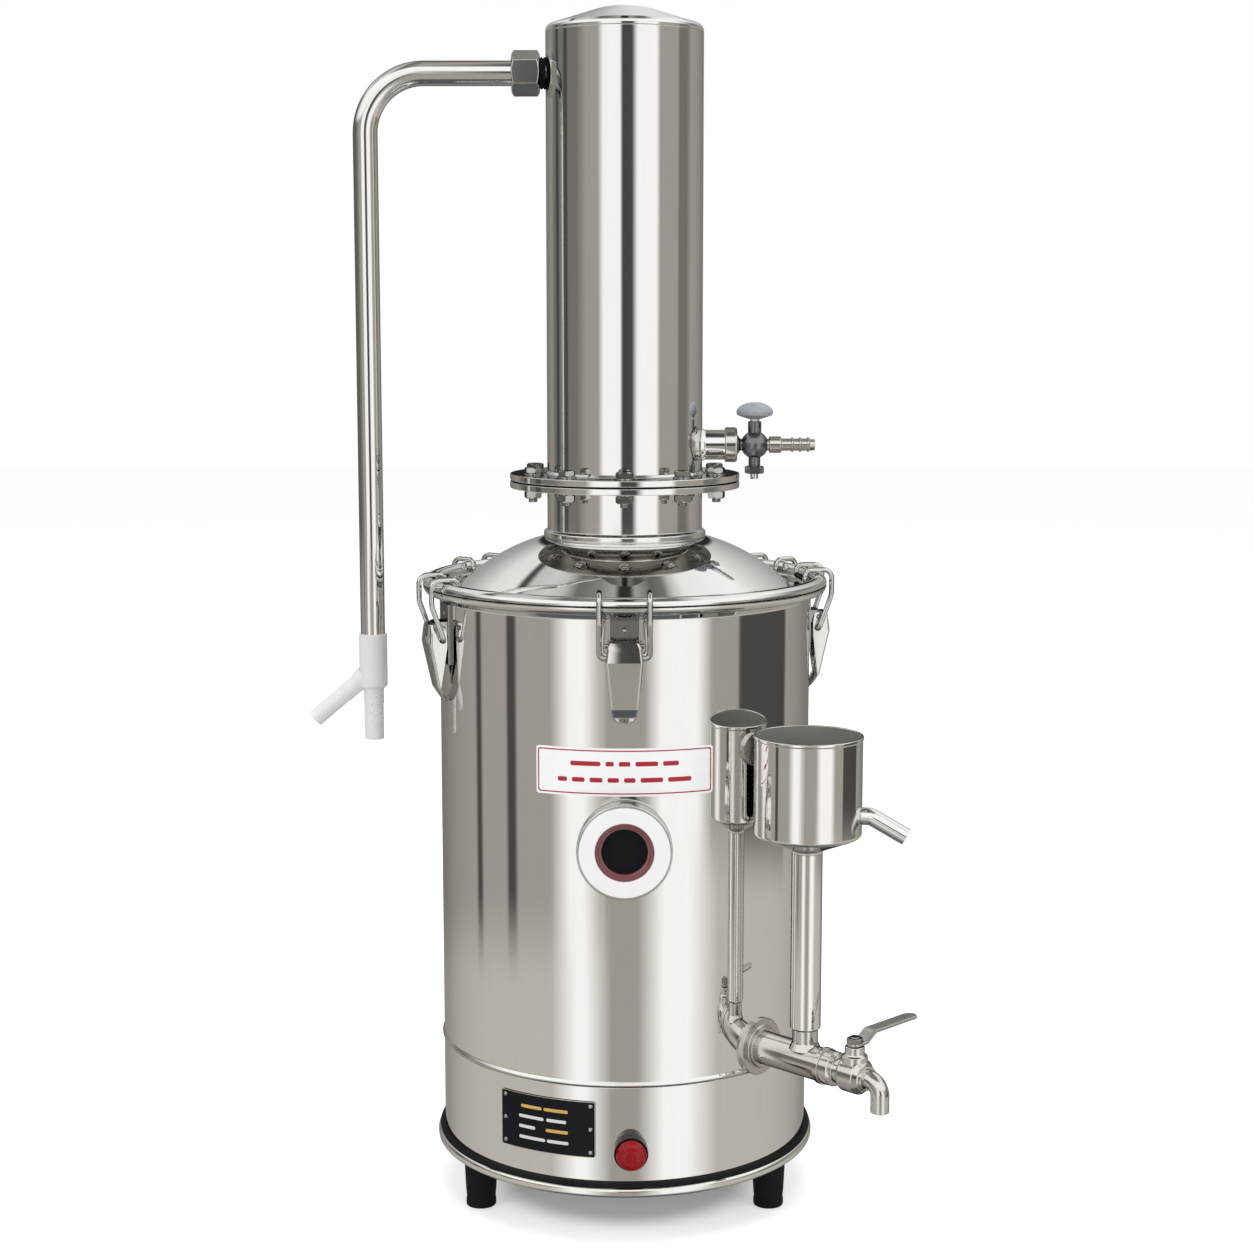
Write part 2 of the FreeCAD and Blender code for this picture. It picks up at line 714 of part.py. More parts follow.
def cable_gland():
    z = PLATE_TOP + GLAND_LIFT
    hexagonal = along(hexagon(GLAND_HEX_AF, GLAND_HEX_LENGTH + 2), vec(0, -1, 0), front(BODY_R - 2, z))
    hexagonal = hexagonal.cut(Part.makeCylinder(BODY_R, z * 2))
    face = BODY_R + GLAND_HEX_LENGTH
    cap = cone(GLAND_CAP_DIA, GLAND_CAP_DIA * 0.8, front(face, z), front(face + GLAND_CAP_LENGTH, z))
    thread = cylinder(GLAND_THREAD_DIA, front(BODY_R - GLAND_THREAD_LENGTH, z), front(face, z))
    bore = cylinder(GLAND_BORE_DIA, front(0, z), front(face + GLAND_CAP_LENGTH + 1, z))
    return turned(union([hexagonal, cap, thread]).cut(bore), 180)


# ---- boiler -------------------------------------------------------------------------
def boiler_shell():
    bead_r = BODY_R + SEAM_BEAD
    low_rim = SHELL_TOP - RIM_HALF_HEIGHT
    round_start = (RIM_OUTER_R - RIM_HALF_HEIGHT, low_rim)
    shell = revolve([
        (SHELL_INNER_R, SHELL_BOTTOM), (bead_r, SHELL_BOTTOM),
        (bead_r, SHELL_BOTTOM + SEAM_BEAD_HEIGHT),
        (BODY_R, SHELL_BOTTOM + SEAM_BEAD_HEIGHT + SEAM_BEAD),
        (BODY_R, low_rim - RIM_FLARE), (RIM_INNER_R + 0.6, low_rim),
        round_start, corner_arc(round_start, (RIM_OUTER_R, low_rim), (RIM_OUTER_R, SHELL_TOP)),
        (RIM_INNER_R, SHELL_TOP), (RIM_INNER_R, low_rim + 1.4),
        (SHELL_INNER_R, low_rim - RIM_FLARE + 0.6)])
    for cutter in shell_openings():
        shell = shell.cut(cutter)
    return union([shell, sight_glass_neck()])


def shell_openings():
    """Holes through the boiler's wall: the sight port and the drain."""
    sight = cylinder(SIGHT_NECK_DIA, front(BODY_R - WALL_CUT, SIGHT_Z), front(BODY_R + WALL_CUT, SIGHT_Z))
    drain = cylinder(DRAIN_DIA, front(BODY_R - WALL_CUT, DRAIN_Z), front(BODY_R + WALL_CUT, DRAIN_Z))
    return [sight, turned(drain, FEED_AZIMUTH)]


def boiler_floor():
    """A pan: its floor closes the boiler and its rim hangs inside the skirt."""
    lip_bottom = SKIRT_TOP - FLOOR_LIP
    rim_r = BODY_R - SKIRT_WALL
    pan = revolve([
        (0, FLOOR_TOP - FLOOR_THICKNESS), (rim_r - FLOOR_THICKNESS, FLOOR_TOP - FLOOR_THICKNESS),
        (rim_r - FLOOR_THICKNESS, lip_bottom), (rim_r, lip_bottom), (rim_r, FLOOR_TOP), (0, FLOOR_TOP)])
    for side in (-1, 1):
        hole = cylinder(HEATER_ROD_DIA, vec(side * HEATER_LEG_SPAN / 2, 0, lip_bottom),
                        vec(side * HEATER_LEG_SPAN / 2, 0, FLOOR_TOP))
        pan = pan.cut(hole)
    drain = cylinder(DRAIN_DIA, front(BODY_R - WALL_CUT, DRAIN_Z), front(BODY_R + WALL_CUT, DRAIN_Z))
    return pan.cut(turned(drain, FEED_AZIMUTH))


def heater_element():
    """A rod bent into a flat loop: two legs rise through the floor and run to the back."""
    half = HEATER_LEG_SPAN / 2
    low = FLOOR_TOP - FLOOR_THICKNESS - HEATER_TAIL
    high = FLOOR_TOP + HEATER_LIFT
    points = [vec(-half, 0, low), vec(-half, 0, high), vec(-half, HEATER_REACH, high),
              vec(half, HEATER_REACH, high), vec(half, 0, high), vec(half, 0, low)]
    radii = (HEATER_BEND_R, HEATER_BEND_R, HEATER_BEND_R, HEATER_BEND_R)
    loop = rod(rounded_path(points, radii), HEATER_ROD_DIA)
    pieces = [loop]
    for side in (-1, 1):
        pieces.append(cylinder(HEATER_PIN_DIA, vec(side * half, 0, low - 8), vec(side * half, 0, low + 1)))
    return union(pieces)


def heater_nut(side):
    nut = hex_nut(HEATER_NUT_AF, HEATER_NUT_HEIGHT, HEATER_ROD_DIA, 1.2)
    z = FLOOR_TOP - FLOOR_THICKNESS - HEATER_NUT_HEIGHT
    return moved(nut, side * HEATER_LEG_SPAN / 2, 0, z)


def terminal_block():
    block = Part.makeBox(TERMINAL_LENGTH, TERMINAL_WIDTH, TERMINAL_HEIGHT)
    block = block.makeFillet(1.0, [edge for edge in block.Edges if edge.Length == TERMINAL_HEIGHT])
    for column in range(3):
        x = TERMINAL_LENGTH * (column + 0.5) / 3
        block = block.cut(Part.makeCylinder(3.2, 5, vec(x, TERMINAL_WIDTH / 2, TERMINAL_HEIGHT - 5)))
    return moved(block, -TERMINAL_LENGTH / 2, HEATER_LEG_SPAN, PLATE_TOP)


def thermal_cutout():
    top = FLOOR_TOP - FLOOR_THICKNESS
    body = cylinder(CUTOUT_DIA, vec(0, -CUTOUT_OFFSET, top - CUTOUT_HEIGHT), vec(0, -CUTOUT_OFFSET, top))
    tags = []
    for side in (-1, 1):
        tag = Part.makeBox(0.8, 5, 7, vec(side * 4 - 0.4, -CUTOUT_OFFSET - 2.5, top - CUTOUT_HEIGHT - 7))
        tags.append(tag)
    return union([body] + tags)


# ---- front fittings of the boiler ---------------------------------------------------
def sight_glass_neck():
    """The welded neck of the sight port, with a ledge for the window."""
    face = BODY_R + SIGHT_NECK_REACH
    bore = SIGHT_NECK_DIA - 2 * SIGHT_NECK_WALL
    neck = tube(SIGHT_NECK_DIA, bore, front(BODY_R - 10, SIGHT_Z), front(face, SIGHT_Z))
    seat = tube(SIGHT_NECK_DIA, SIGHT_GASKET_BORE, front(face - 2, SIGHT_Z), front(face, SIGHT_Z))
    return union([neck, seat])


def sight_window_face():
    return BODY_R + SIGHT_NECK_REACH


def sight_glass_window():
    seat = sight_window_face()
    return cylinder(SIGHT_GLASS_DIA, front(seat, SIGHT_Z), front(seat + SIGHT_GLASS_THICKNESS, SIGHT_Z))


def sight_glass_gasket():
    seat = sight_window_face() + SIGHT_GLASS_THICKNESS
    return tube(SIGHT_RING_BORE, SIGHT_GASKET_BORE, front(seat, SIGHT_Z),
                front(seat + SIGHT_GASKET_DEPTH, SIGHT_Z))


def sight_glass_ring():
    """The clamp ring: it screws over the neck and holds the window and the gasket."""
    face = sight_window_face() + SIGHT_GLASS_THICKNESS + SIGHT_GASKET_DEPTH + SIGHT_RECESS
    back = face - SIGHT_RING_DEPTH - SIGHT_NECK_REACH * 0.5
    outer = SIGHT_RING_DIA / 2
    edge = SIGHT_RING_EDGE
    depth = face - back
    ring = revolve([
        (0, 0), (outer, 0), (outer, depth - edge),
        corner_arc((outer, depth - edge), (outer, depth), (outer - edge, depth)), (0, depth)])
    ring = along(ring, vec(0, -1, 0), front(back, SIGHT_Z))
    ring = ring.cut(cylinder(SIGHT_RING_BORE, front(back, SIGHT_Z), front(face, SIGHT_Z)))
    neck_room = cylinder(SIGHT_NECK_DIA, front(back, SIGHT_Z), front(sight_window_face(), SIGHT_Z))
    glass_room = cylinder(SIGHT_GLASS_DIA, front(sight_window_face(), SIGHT_Z),
                          front(sight_window_face() + SIGHT_GLASS_THICKNESS, SIGHT_Z))
    return ring.cut(neck_room).cut(glass_room).cut(Part.makeCylinder(BODY_R, SHELL_TOP))


def level_label():
    low = SIGHT_Z + LABEL_ABOVE_SIGHT
    return arc_band(BODY_R, BODY_R + LABEL_THICKNESS, low, low + LABEL_HEIGHT,
                    -LABEL_HALF_ANGLE, LABEL_HALF_ANGLE)


# ---- lid, neck and flanges ----------------------------------------------------------
def lid_gasket():
    inner = RIM_INNER_R + GASKET_SETBACK / 2
    outer = RIM_OUTER_R - GASKET_SETBACK
    return revolve([(inner, SHELL_TOP), (outer, SHELL_TOP), (outer, LID_SEAT), (inner, LID_SEAT)])


def lid_dome():
    """Domed lid with a trough round its foot and a half-round rim on the gasket."""
    wall_out = RIM_INNER_R - LID_SPIGOT_GAP
    wall_in = wall_out - LID_WALL
    under = TROUGH_Z - LID_WALL
    chord_mid_r = (NECK_R + DOME_FOOT_R) / 2
    chord_mid_z = TROUGH_Z + DOME_RISE / 2
    chord = math.hypot(DOME_FOOT_R - NECK_R, DOME_RISE)
    lean_r = DOME_RISE / chord
    lean_z = (DOME_FOOT_R - NECK_R) / chord
    bulge = (chord_mid_r + DOME_BULGE * lean_r, chord_mid_z + DOME_BULGE * lean_z)
    inner_bulge = (bulge[0] - LID_WALL * lean_r, bulge[1] - LID_WALL * lean_z)
    crown = RIM_OUTER_R - RIM_WIDTH / 2
    rim_foot = (wall_in, LID_SEAT + LID_WALL)
    return revolve([
        (NECK_R, DOME_TOP), ("arc", bulge, (DOME_FOOT_R, TROUGH_Z)),
        (wall_in, TROUGH_Z), rim_foot,
        corner_arc(rim_foot, (wall_in, LID_RIM_TOP), (crown, LID_RIM_TOP)),
        corner_arc((crown, LID_RIM_TOP), (RIM_OUTER_R, LID_RIM_TOP), (RIM_OUTER_R, LID_SEAT)),
        (wall_out, LID_SEAT), (wall_out, under), (DOME_FOOT_R - LID_WALL / 2, under),
        ("arc", inner_bulge, (NECK_R, DOME_TOP - LID_WALL * 1.2))])


def neck_tube():
    inner = NECK_R - NECK_WALL
    bead_z = DOME_TOP + NECK_BEAD_HEIGHT / 2
    return revolve([
        (inner, DOME_TOP - NECK_SPIGOT), (NECK_R, DOME_TOP - NECK_SPIGOT), (NECK_R, DOME_TOP),
        ("arc", (NECK_R + NECK_BEAD, bead_z), (NECK_R, DOME_TOP + NECK_BEAD_HEIGHT)),
        (NECK_R, FLANGE_MID), (inner, FLANGE_MID)])


def flange_ring(bottom, bore_r):
    ring = revolve([
        (bore_r, bottom), (FLANGE_R - FLANGE_EDGE, bottom), (FLANGE_R, bottom + FLANGE_EDGE),
        (FLANGE_R, bottom + FLANGE_THICKNESS - FLANGE_EDGE),
        (FLANGE_R - FLANGE_EDGE, bottom + FLANGE_THICKNESS),
        (bore_r, bottom + FLANGE_THICKNESS)])
    return drilled(ring, bottom, FLANGE_THICKNESS, BOLT_HOLE_DIA)


def drilled(ring, bottom, thickness, dia):
    """A ring with the flange's circle of bolt holes."""
    for azimuth in bolt_azimuths():
        hole = cylinder(dia, front(BOLT_CIRCLE_R, bottom), front(BOLT_CIRCLE_R, bottom + thickness))
        ring = ring.cut(turned(hole, azimuth))
    return ring


def bolt_azimuths():
    return [360.0 * index / BOLT_COUNT for index in range(BOLT_COUNT)]


def flange_gasket():
    outer = FLANGE_R - FLANGE_GASKET_SETBACK
    ring = revolve([
        (NECK_R, FLANGE_MID), (outer, FLANGE_MID), (outer, UPPER_FLANGE_BOTTOM),
        (NECK_R, UPPER_FLANGE_BOTTOM)])
    return drilled(ring, FLANGE_MID, FLANGE_GASKET, BOLT_HOLE_DIA)


def flange_bolt():
    seat = FLANGE_TOP + BOLT_WASHER_THICKNESS
    tip = FLANGE_BOTTOM - BOLT_WASHER_THICKNESS - BOLT_NUT_HEIGHT - BOLT_STUB
    head = hex_nut(BOLT_AF, BOLT_HEAD_HEIGHT, 0, 1.0)
    head = moved(head, 0, -BOLT_CIRCLE_R, seat)
    shank = cylinder(BOLT_DIA, front(BOLT_CIRCLE_R, tip), front(BOLT_CIRCLE_R, seat))
    return union([head, shank])


def flange_nut():
    nut = hex_nut(BOLT_AF, BOLT_NUT_HEIGHT, BOLT_DIA, 1.0)
    return moved(nut, 0, -BOLT_CIRCLE_R, FLANGE_BOTTOM - BOLT_WASHER_THICKNESS - BOLT_NUT_HEIGHT)


def flange_washer(bottom):
    return tube(BOLT_WASHER_DIA, BOLT_DIA, front(BOLT_CIRCLE_R, bottom),
                front(BOLT_CIRCLE_R, bottom + BOLT_WASHER_THICKNESS))


# ---- condenser ----------------------------------------------------------------------
def condenser_shell():
    """The tower's tube, with the return boss and the inlet stub welded on."""
    inner = NECK_R - CONDENSER_WALL
    wall = revolve([
        (inner, UPPER_FLANGE_BOTTOM), (NECK_R, UPPER_FLANGE_BOTTOM), (NECK_R, CONDENSER_TOP),
        (inner, CONDENSER_TOP)])
    boss = cylinder(RETURN_BOSS_DIA, vec(0, 0, RETURN_Z), vec(-NECK_R * 2, 0, RETURN_Z))
    stub = cylinder(COCK_STUB_DIA, vec(0, 0, COCK_Z), vec(NECK_R * 2, 0, COCK_Z))
    return union([wall.cut(boss).cut(stub), return_boss(), inlet_stub()])


def condenser_cap():
    """A cap with a rounded knuckle, a low cone and a crown; its spigot slips into the tube."""
    slope = math.radians(CAP_SLOPE)
    spigot = NECK_R - CONDENSER_WALL
    inner = spigot - CAP_SHEET
    edge = CONDENSER_TOP + CAP_EDGE_RISE
    crown = edge + (NECK_R - CAP_CROWN_R) * math.tan(slope)
    apex = crown + CAP_CROWN_R * math.tan(slope / 2)
    under = CAP_SHEET / math.cos(slope)
    knuckle = (NECK_R - CAP_KNUCKLE * math.cos(slope), edge + CAP_KNUCKLE * math.sin(slope))
    return revolve([
        (0, apex), axis_arc((0, apex), (CAP_CROWN_R, crown)), knuckle,
        corner_arc(knuckle, (NECK_R, edge), (NECK_R, edge - CAP_KNUCKLE)), (NECK_R, CONDENSER_TOP),
        (spigot, CONDENSER_TOP), (spigot, CONDENSER_TOP - CAP_SPIGOT), (inner, CONDENSER_TOP - CAP_SPIGOT),
        (inner, edge - under + (NECK_R - inner) * math.tan(slope)), (CAP_CROWN_R, crown - under),
        axis_arc((CAP_CROWN_R, crown - under), (0, apex - CAP_SHEET))])


def tube_sheet(bottom):
    radius = NECK_R - CONDENSER_WALL - TUBE_SHEET_GAP
    sheet = Part.makeCylinder(radius, TUBE_SHEET_THICKNESS, vec(0, 0, bottom))
    for place in steam_tube_places():
        sheet = sheet.cut(Part.makeCylinder(STEAM_TUBE_DIA / 2, TUBE_SHEET_THICKNESS,
                                            vec(place[0], place[1], bottom)))
    return sheet


def low_sheet_z():
    return FLANGE_TOP + COCK_LIFT - COCK_STUB_DIA / 2 - LOW_SHEET_LIFT


def high_sheet_z():
    return CONDENSER_TOP - HIGH_SHEET_DROP


def steam_tube_places():
    """The tubes' centres: one in the middle and a ring round it."""
    places = [(0.0, 0.0)]
    for index in range(STEAM_TUBE_COUNT):
        angle = 2 * math.pi * index / STEAM_TUBE_COUNT
        places.append((STEAM_TUBE_CIRCLE_R * math.cos(angle), STEAM_TUBE_CIRCLE_R * math.sin(angle)))
    return places


def steam_tube(x, y):
    low = low_sheet_z()
    high = high_sheet_z() + TUBE_SHEET_THICKNESS
    return tube(STEAM_TUBE_DIA, STEAM_TUBE_DIA - 2 * STEAM_TUBE_WALL, vec(x, y, low), vec(x, y, high))


def distillate_tray():
    """An annular gutter in the neck that catches what drips from the tubes."""
    low = FLANGE_BOTTOM - TRAY_LIFT
    neck_in = NECK_R - NECK_WALL
    top = low + TRAY_LIP
    return revolve([
        (TRAY_HOLE_R, low), (neck_in, low), (neck_in, low + TRAY_WALL),
        (TRAY_HOLE_R + TRAY_WALL, low + TRAY_WALL), (TRAY_HOLE_R + TRAY_WALL, top), (TRAY_HOLE_R, top)])


def distillate_outlet():
    """The distillate's tube through the neck, with the collar that a hose is pushed up to."""
    z = FLANGE_BOTTOM - TRAY_LIFT + OUTLET_FLOOR_LIFT + OUTLET_DIA / 2
    inner = NECK_R - NECK_WALL - 4
    bore = OUTLET_DIA - 2 * OUTLET_WALL
    pipe = tube(OUTLET_DIA, bore, front(inner, z), front(NECK_R + OUTLET_REACH, z))
    collar = tube(OUTLET_COLLAR_DIA, bore, front(NECK_R, z), front(NECK_R + OUTLET_COLLAR_LENGTH, z))
    return turned(union([pipe, collar]), OUTLET_AZIMUTH)


def outlet_hole():
    z = FLANGE_BOTTOM - TRAY_LIFT + OUTLET_FLOOR_LIFT + OUTLET_DIA / 2
    return turned(cylinder(OUTLET_DIA, front(NECK_R - 8, z), front(NECK_R + 8, z)), OUTLET_AZIMUTH)


# ---- return pipe and wye ------------------------------------------------------------
def return_boss():
    start = vec(-(NECK_R - CONDENSER_WALL - 2), 0, RETURN_Z)
    end = vec(-(NECK_R + SEAL_LENGTH + RETURN_BOSS_LENGTH - 4), 0, RETURN_Z)
    return tube(RETURN_BOSS_DIA, RETURN_DIA + 2 * NUT_BORE_GAP, start, end)


def return_seal():
    """A rubber sleeve with two swellings between the condenser and the nut."""
    start = NECK_R - 0.6
    end = NECK_R + SEAL_LENGTH
    outer = SEAL_DIA / 2
    waist = outer - SEAL_WAIST
    length = end - start
    sleeve = revolve([
        (RETURN_BOSS_DIA / 2, 0), (waist, 0), ("arc", (outer, length * 0.3), (waist, length * 0.55)),
        ("arc", (outer, length * 0.78), (waist, length)), (RETURN_BOSS_DIA / 2, length)])
    sleeve = along(sleeve, vec(-1, 0, 0), vec(-start, 0, RETURN_Z))
    return sleeve.cut(Part.makeCylinder(NECK_R, CONDENSER_TOP))


def return_nut():
    start = NECK_R + SEAL_LENGTH
    nut = hex_nut(NUT_AF, NUT_LENGTH, RETURN_DIA + 2 * NUT_BORE_GAP, NUT_CHAMFER)
    room = Part.makeCylinder(RETURN_BOSS_DIA / 2, RETURN_BOSS_LENGTH - 4)
    nut = nut.cut(room)
    return along(nut, vec(-1, 0, 0), vec(-start, 0, RETURN_Z))


def return_pipe():
    start_x = -(NECK_R + SEAL_LENGTH + NUT_LENGTH - PIPE_INSERT)
    bottom = RETURN_Z - RETURN_LEG_LENGTH
    points = [vec(start_x, 0, RETURN_Z), vec(-RETURN_LEG_X, 0, RETURN_Z), vec(-RETURN_LEG_X, 0, bottom)]
    path = rounded_path(points, (RETURN_BEND_R,))
    return rod(path, RETURN_DIA).cut(rod(path, RETURN_DIA - 2 * RETURN_WALL))


def wye():
    """Sleeve, straight leg and slanted branch, moulded in one."""
    pipe_end = RETURN_Z - RETURN_LEG_LENGTH
    top = pipe_end + WYE_PUSH
    sleeve_low = top - WYE_SLEEVE_LENGTH
    leg_low = sleeve_low - WYE_LEG_LENGTH
    x = -RETURN_LEG_X
    sleeve = cylinder(WYE_SLEEVE_DIA, vec(x, 0, sleeve_low), vec(x, 0, top))
    leg = cylinder(WYE_LEG_DIA, vec(x, 0, leg_low), vec(x, 0, sleeve_low + 1))
    leg_root = cylinder(WYE_LEG_DIA + WYE_STOP_STEP, vec(x, 0, leg_low + WYE_LEG_GRIP), vec(x, 0, sleeve_low + 1))
    tilt = math.radians(WYE_BRANCH_TILT)
    root = vec(x, 0, sleeve_low + WYE_BRANCH_LIFT)
    way = vec(-math.cos(tilt), 0, -math.sin(tilt))
    branch = cylinder(WYE_BRANCH_DIA, root, root + way * WYE_BRANCH_LENGTH)
    branch_root = cylinder(WYE_BRANCH_DIA + WYE_STOP_STEP, root, root + way * (WYE_BRANCH_LENGTH - WYE_BRANCH_GRIP))
    body = union([sleeve, leg, leg_root, branch, branch_root])
    body = body.cut(cylinder(RETURN_DIA + 2 * WYE_BORE_GAP, vec(x, 0, pipe_end - 1.5), vec(x, 0, top)))
    body = body.cut(cylinder(WYE_LEG_DIA - 2 * WYE_WALL, vec(x, 0, leg_low), vec(x, 0, pipe_end)))
    return body.cut(cylinder(WYE_BRANCH_DIA - 2 * WYE_WALL, root, root + way * WYE_BRANCH_LENGTH))


# ---- cooling-water cock -------------------------------------------------------------
def cock_x():
    """Where the plug stands, from the boiler's axis."""
    return NECK_R + COCK_STUB_REACH + COCK_UNION_LENGTH + COCK_BALL_FROM_UNION


def cock_point(x, rise=0.0):
    return vec(x, 0, COCK_Z + rise)


def inlet_stub():
    start = cock_point(NECK_R - CONDENSER_WALL - 2)
    end = cock_point(NECK_R + COCK_STUB_REACH)
    return tube(COCK_STUB_DIA, COCK_STUB_DIA - 4, start, end)


def inlet_union_nut():
    radius = COCK_UNION_DIA / 2
    edge = COCK_UNION_CHAMFER
    bore = COCK_NECK_DIA / 2
    length = COCK_UNION_LENGTH
    nut = revolve([
        (bore, 0), (radius, 0), (radius, length - edge),
        corner_arc((radius, length - edge), (radius, length), (radius - edge, length)), (bore, length)])
    return along(nut, vec(1, 0, 0), cock_point(NECK_R + COCK_STUB_REACH))


def cock_barb():
    """The hose tail: a tube with saw-tooth ridges."""
    radius = COCK_BARB_DIA / 2
    outline = [(0, 0), (radius, 0)]
    start = COCK_BARB_LENGTH - COCK_BARB_RIDGES * COCK_BARB_PITCH
    for ridge in range(COCK_BARB_RIDGES):
        low = start + ridge * COCK_BARB_PITCH
        outline.append((radius, low))
        outline.append((radius + COCK_BARB_RIDGE, low + 0.4))
        outline.append((radius, low + COCK_BARB_PITCH * 0.8))
    outline.append((radius - COCK_BARB_RIDGE / 2, COCK_BARB_LENGTH))
    outline.append((0, COCK_BARB_LENGTH))
    return along(revolve(outline), vec(1, 0, 0), cock_point(cock_x() + COCK_COLLAR_REACH))


def cock_body():
    x = cock_x()
    union_face = NECK_R + COCK_STUB_REACH + COCK_UNION_LENGTH
    ball = Part.makeSphere(COCK_BALL_DIA / 2, cock_point(x))
    neck = cylinder(COCK_NECK_DIA, cock_point(NECK_R + COCK_STUB_REACH), cock_point(union_face + COCK_NECK_LENGTH))
    collar = cylinder(COCK_COLLAR_DIA, cock_point(x), cock_point(x + COCK_COLLAR_REACH))
    neck_rise = COCK_GLAND_RISE - COCK_GLAND_NECK
    upper = cylinder(COCK_GLAND_DIA, cock_point(x), cock_point(x, neck_rise))
    gland = cone(COCK_GLAND_DIA, COCK_LOW_DIA, cock_point(x, neck_rise), cock_point(x, COCK_GLAND_RISE))
    lower = cylinder(COCK_LOW_DIA, cock_point(x, COCK_RUN_GAP - COCK_TAIL_NUT_TOP), cock_point(x))
    body = union([ball, neck, collar, upper, gland, lower, cock_barb()])
    end = x + COCK_COLLAR_REACH + COCK_BARB_LENGTH
    body = body.cut(cylinder(COCK_BORE_DIA, cock_point(NECK_R + COCK_STUB_REACH), cock_point(end + 1)))
    plug_room = COCK_PLUG_DIA + 2 * COCK_PLUG_GAP
    return body.cut(cylinder(plug_room, cock_point(x, -COCK_TAIL_END), cock_point(x, COCK_GLAND_RISE + 1)))


def cock_plug():
    """The turning plug: a cross-drilled stem, threaded at its tail."""
    x = cock_x()
    stem = cylinder(COCK_PLUG_DIA, cock_point(x, -COCK_TAIL_NUT_TOP), cock_point(x, COCK_STEM_RISE))
    tail = cylinder(COCK_TAIL_END_DIA, cock_point(x, -COCK_TAIL_END), cock_point(x))
    port = cylinder(COCK_BORE_DIA, cock_point(x - COCK_BALL_DIA), cock_point(x + COCK_BALL_DIA))
    return union([stem, tail]).cut(port)


def cock_knob():
    """A mushroom knob on the plug, with a bore that the stem fills."""
    radius = COCK_KNOB_DIA / 2
    neck = COCK_PLUG_DIA / 2
    height = COCK_KNOB_HEIGHT
    lip = height * COCK_KNOB_LIP
    half = height * 0.5
    edge = (radius * 0.95, half)
    knob = revolve([
        (neck, 0), (neck + 1.2, 0), (radius * 0.96, lip), ("arc", (radius, (lip + half) / 2), edge),
        axis_arc(edge, (0, height)), (0, half), (neck, half)])
    return moved(knob, cock_x(), 0, COCK_Z + COCK_STEM_RISE - half)


def cock_tail_nut():
    nut = hex_nut(COCK_TAIL_AF, COCK_TAIL_NUT_HEIGHT, COCK_TAIL_END_DIA, 1.0)
    return moved(nut, cock_x(), 0, COCK_Z - COCK_TAIL_NUT_TOP - COCK_TAIL_NUT_HEIGHT)


# ---- drain, stand pipe and feed cup -------------------------------------------------
def drain_tee():
    """Drain pipe out of the boiler with the stand pipe's socket welded on."""
    bore = DRAIN_DIA - 2 * DRAIN_WALL
    start = front(SHELL_INNER_R - 6, DRAIN_Z)
    end = front(DRAIN_END_R, DRAIN_Z)
    run = cylinder(DRAIN_DIA, start, end)
    collar = cylinder(DRAIN_COLLAR_DIA, front(DRAIN_END_R - DRAIN_COLLAR_LENGTH, DRAIN_Z), end)
    socket = cylinder(SOCKET_DIA, front(FEED_R, DRAIN_Z), front(FEED_R, STAND_BOTTOM))
    solid = union([run, collar, socket])
    solid = solid.cut(cylinder(bore, start, end))
    solid = solid.cut(cylinder(SOCKET_DIA - 2 * STAND_WALL, front(FEED_R, DRAIN_Z), front(FEED_R, STAND_BOTTOM)))
    return turned(solid, FEED_AZIMUTH)


def drain_escutcheon():
    """A flat disc with a hub round the drain pipe; its back follows the boiler's wall."""
    outer = ESCUTCHEON_DIA / 2
    bore = DRAIN_DIA / 2
    hub = ESCUTCHEON_HUB_DIA / 2
    edge = ESCUTCHEON_EDGE
    lift = BODY_R - math.sqrt(BODY_R ** 2 - outer ** 2)
    disc = revolve([
        (bore, -lift), (outer, -lift), (outer, ESCUTCHEON_PLATE - edge), (outer - edge, ESCUTCHEON_PLATE),
        (hub, ESCUTCHEON_PLATE), (hub, ESCUTCHEON_HUB - edge), (hub - edge, ESCUTCHEON_HUB), (bore, ESCUTCHEON_HUB)])
    disc = along(disc, vec(0, -1, 0), front(BODY_R, DRAIN_Z))
    return turned(disc.cut(Part.makeCylinder(BODY_R + SEAM_BEAD, SHELL_TOP)), FEED_AZIMUTH)


def stand_pipe():
    inner = STAND_WALL
    small = SOCKET_DIA / 2
    big = STAND_DIA / 2
    solid = revolve([
        (small - inner, 0), (small, 0), (big, STAND_TAPER), (big, STAND_LENGTH),
        (big - inner, STAND_LENGTH), (big - inner, STAND_TAPER)])
    return turned(moved(solid, 0, -FEED_R, STAND_BOTTOM), FEED_AZIMUTH)


def feed_cup():
    """The open cup with its cone and its welded overflow spout."""
    radius = CUP_DIA / 2
    inner = radius - CUP_WALL
    outlet = CUP_OUTLET_DIA / 2
    cone_top = CUP_CONE_HEIGHT
    rim = CUP_CONE_HEIGHT + CUP_HEIGHT
    neck = STAND_DIA / 2
    lip = CUP_LIP
    cup = revolve([
        (outlet, 0), (neck, 0), (neck, CUP_WALL), (radius - 1.5, cone_top - 1.5), (radius, cone_top + 1.5),
        (radius, rim - 2), (radius + lip, rim - 1.4), (radius + lip, rim), (inner, rim),
        (inner, cone_top + 2), (outlet + 1, CUP_WALL * 2), (outlet, CUP_WALL * 2)])
    cup = moved(cup, 0, -FEED_R, CUP_BOTTOM)
    cup = turned(cup, FEED_AZIMUTH)
    cup = cup.cut(cylinder(SPILL_DIA, spill_root(0), spill_root(radius + 6)))
    return union([cup, overflow_spout()])


def cup_centre(z):
    angle = math.radians(FEED_AZIMUTH)
    return vec(FEED_R * math.sin(angle), -FEED_R * math.cos(angle), z)


def spill_way():
    angle = math.radians(SPILL_AZIMUTH)
    return vec(math.sin(angle), -math.cos(angle), 0)


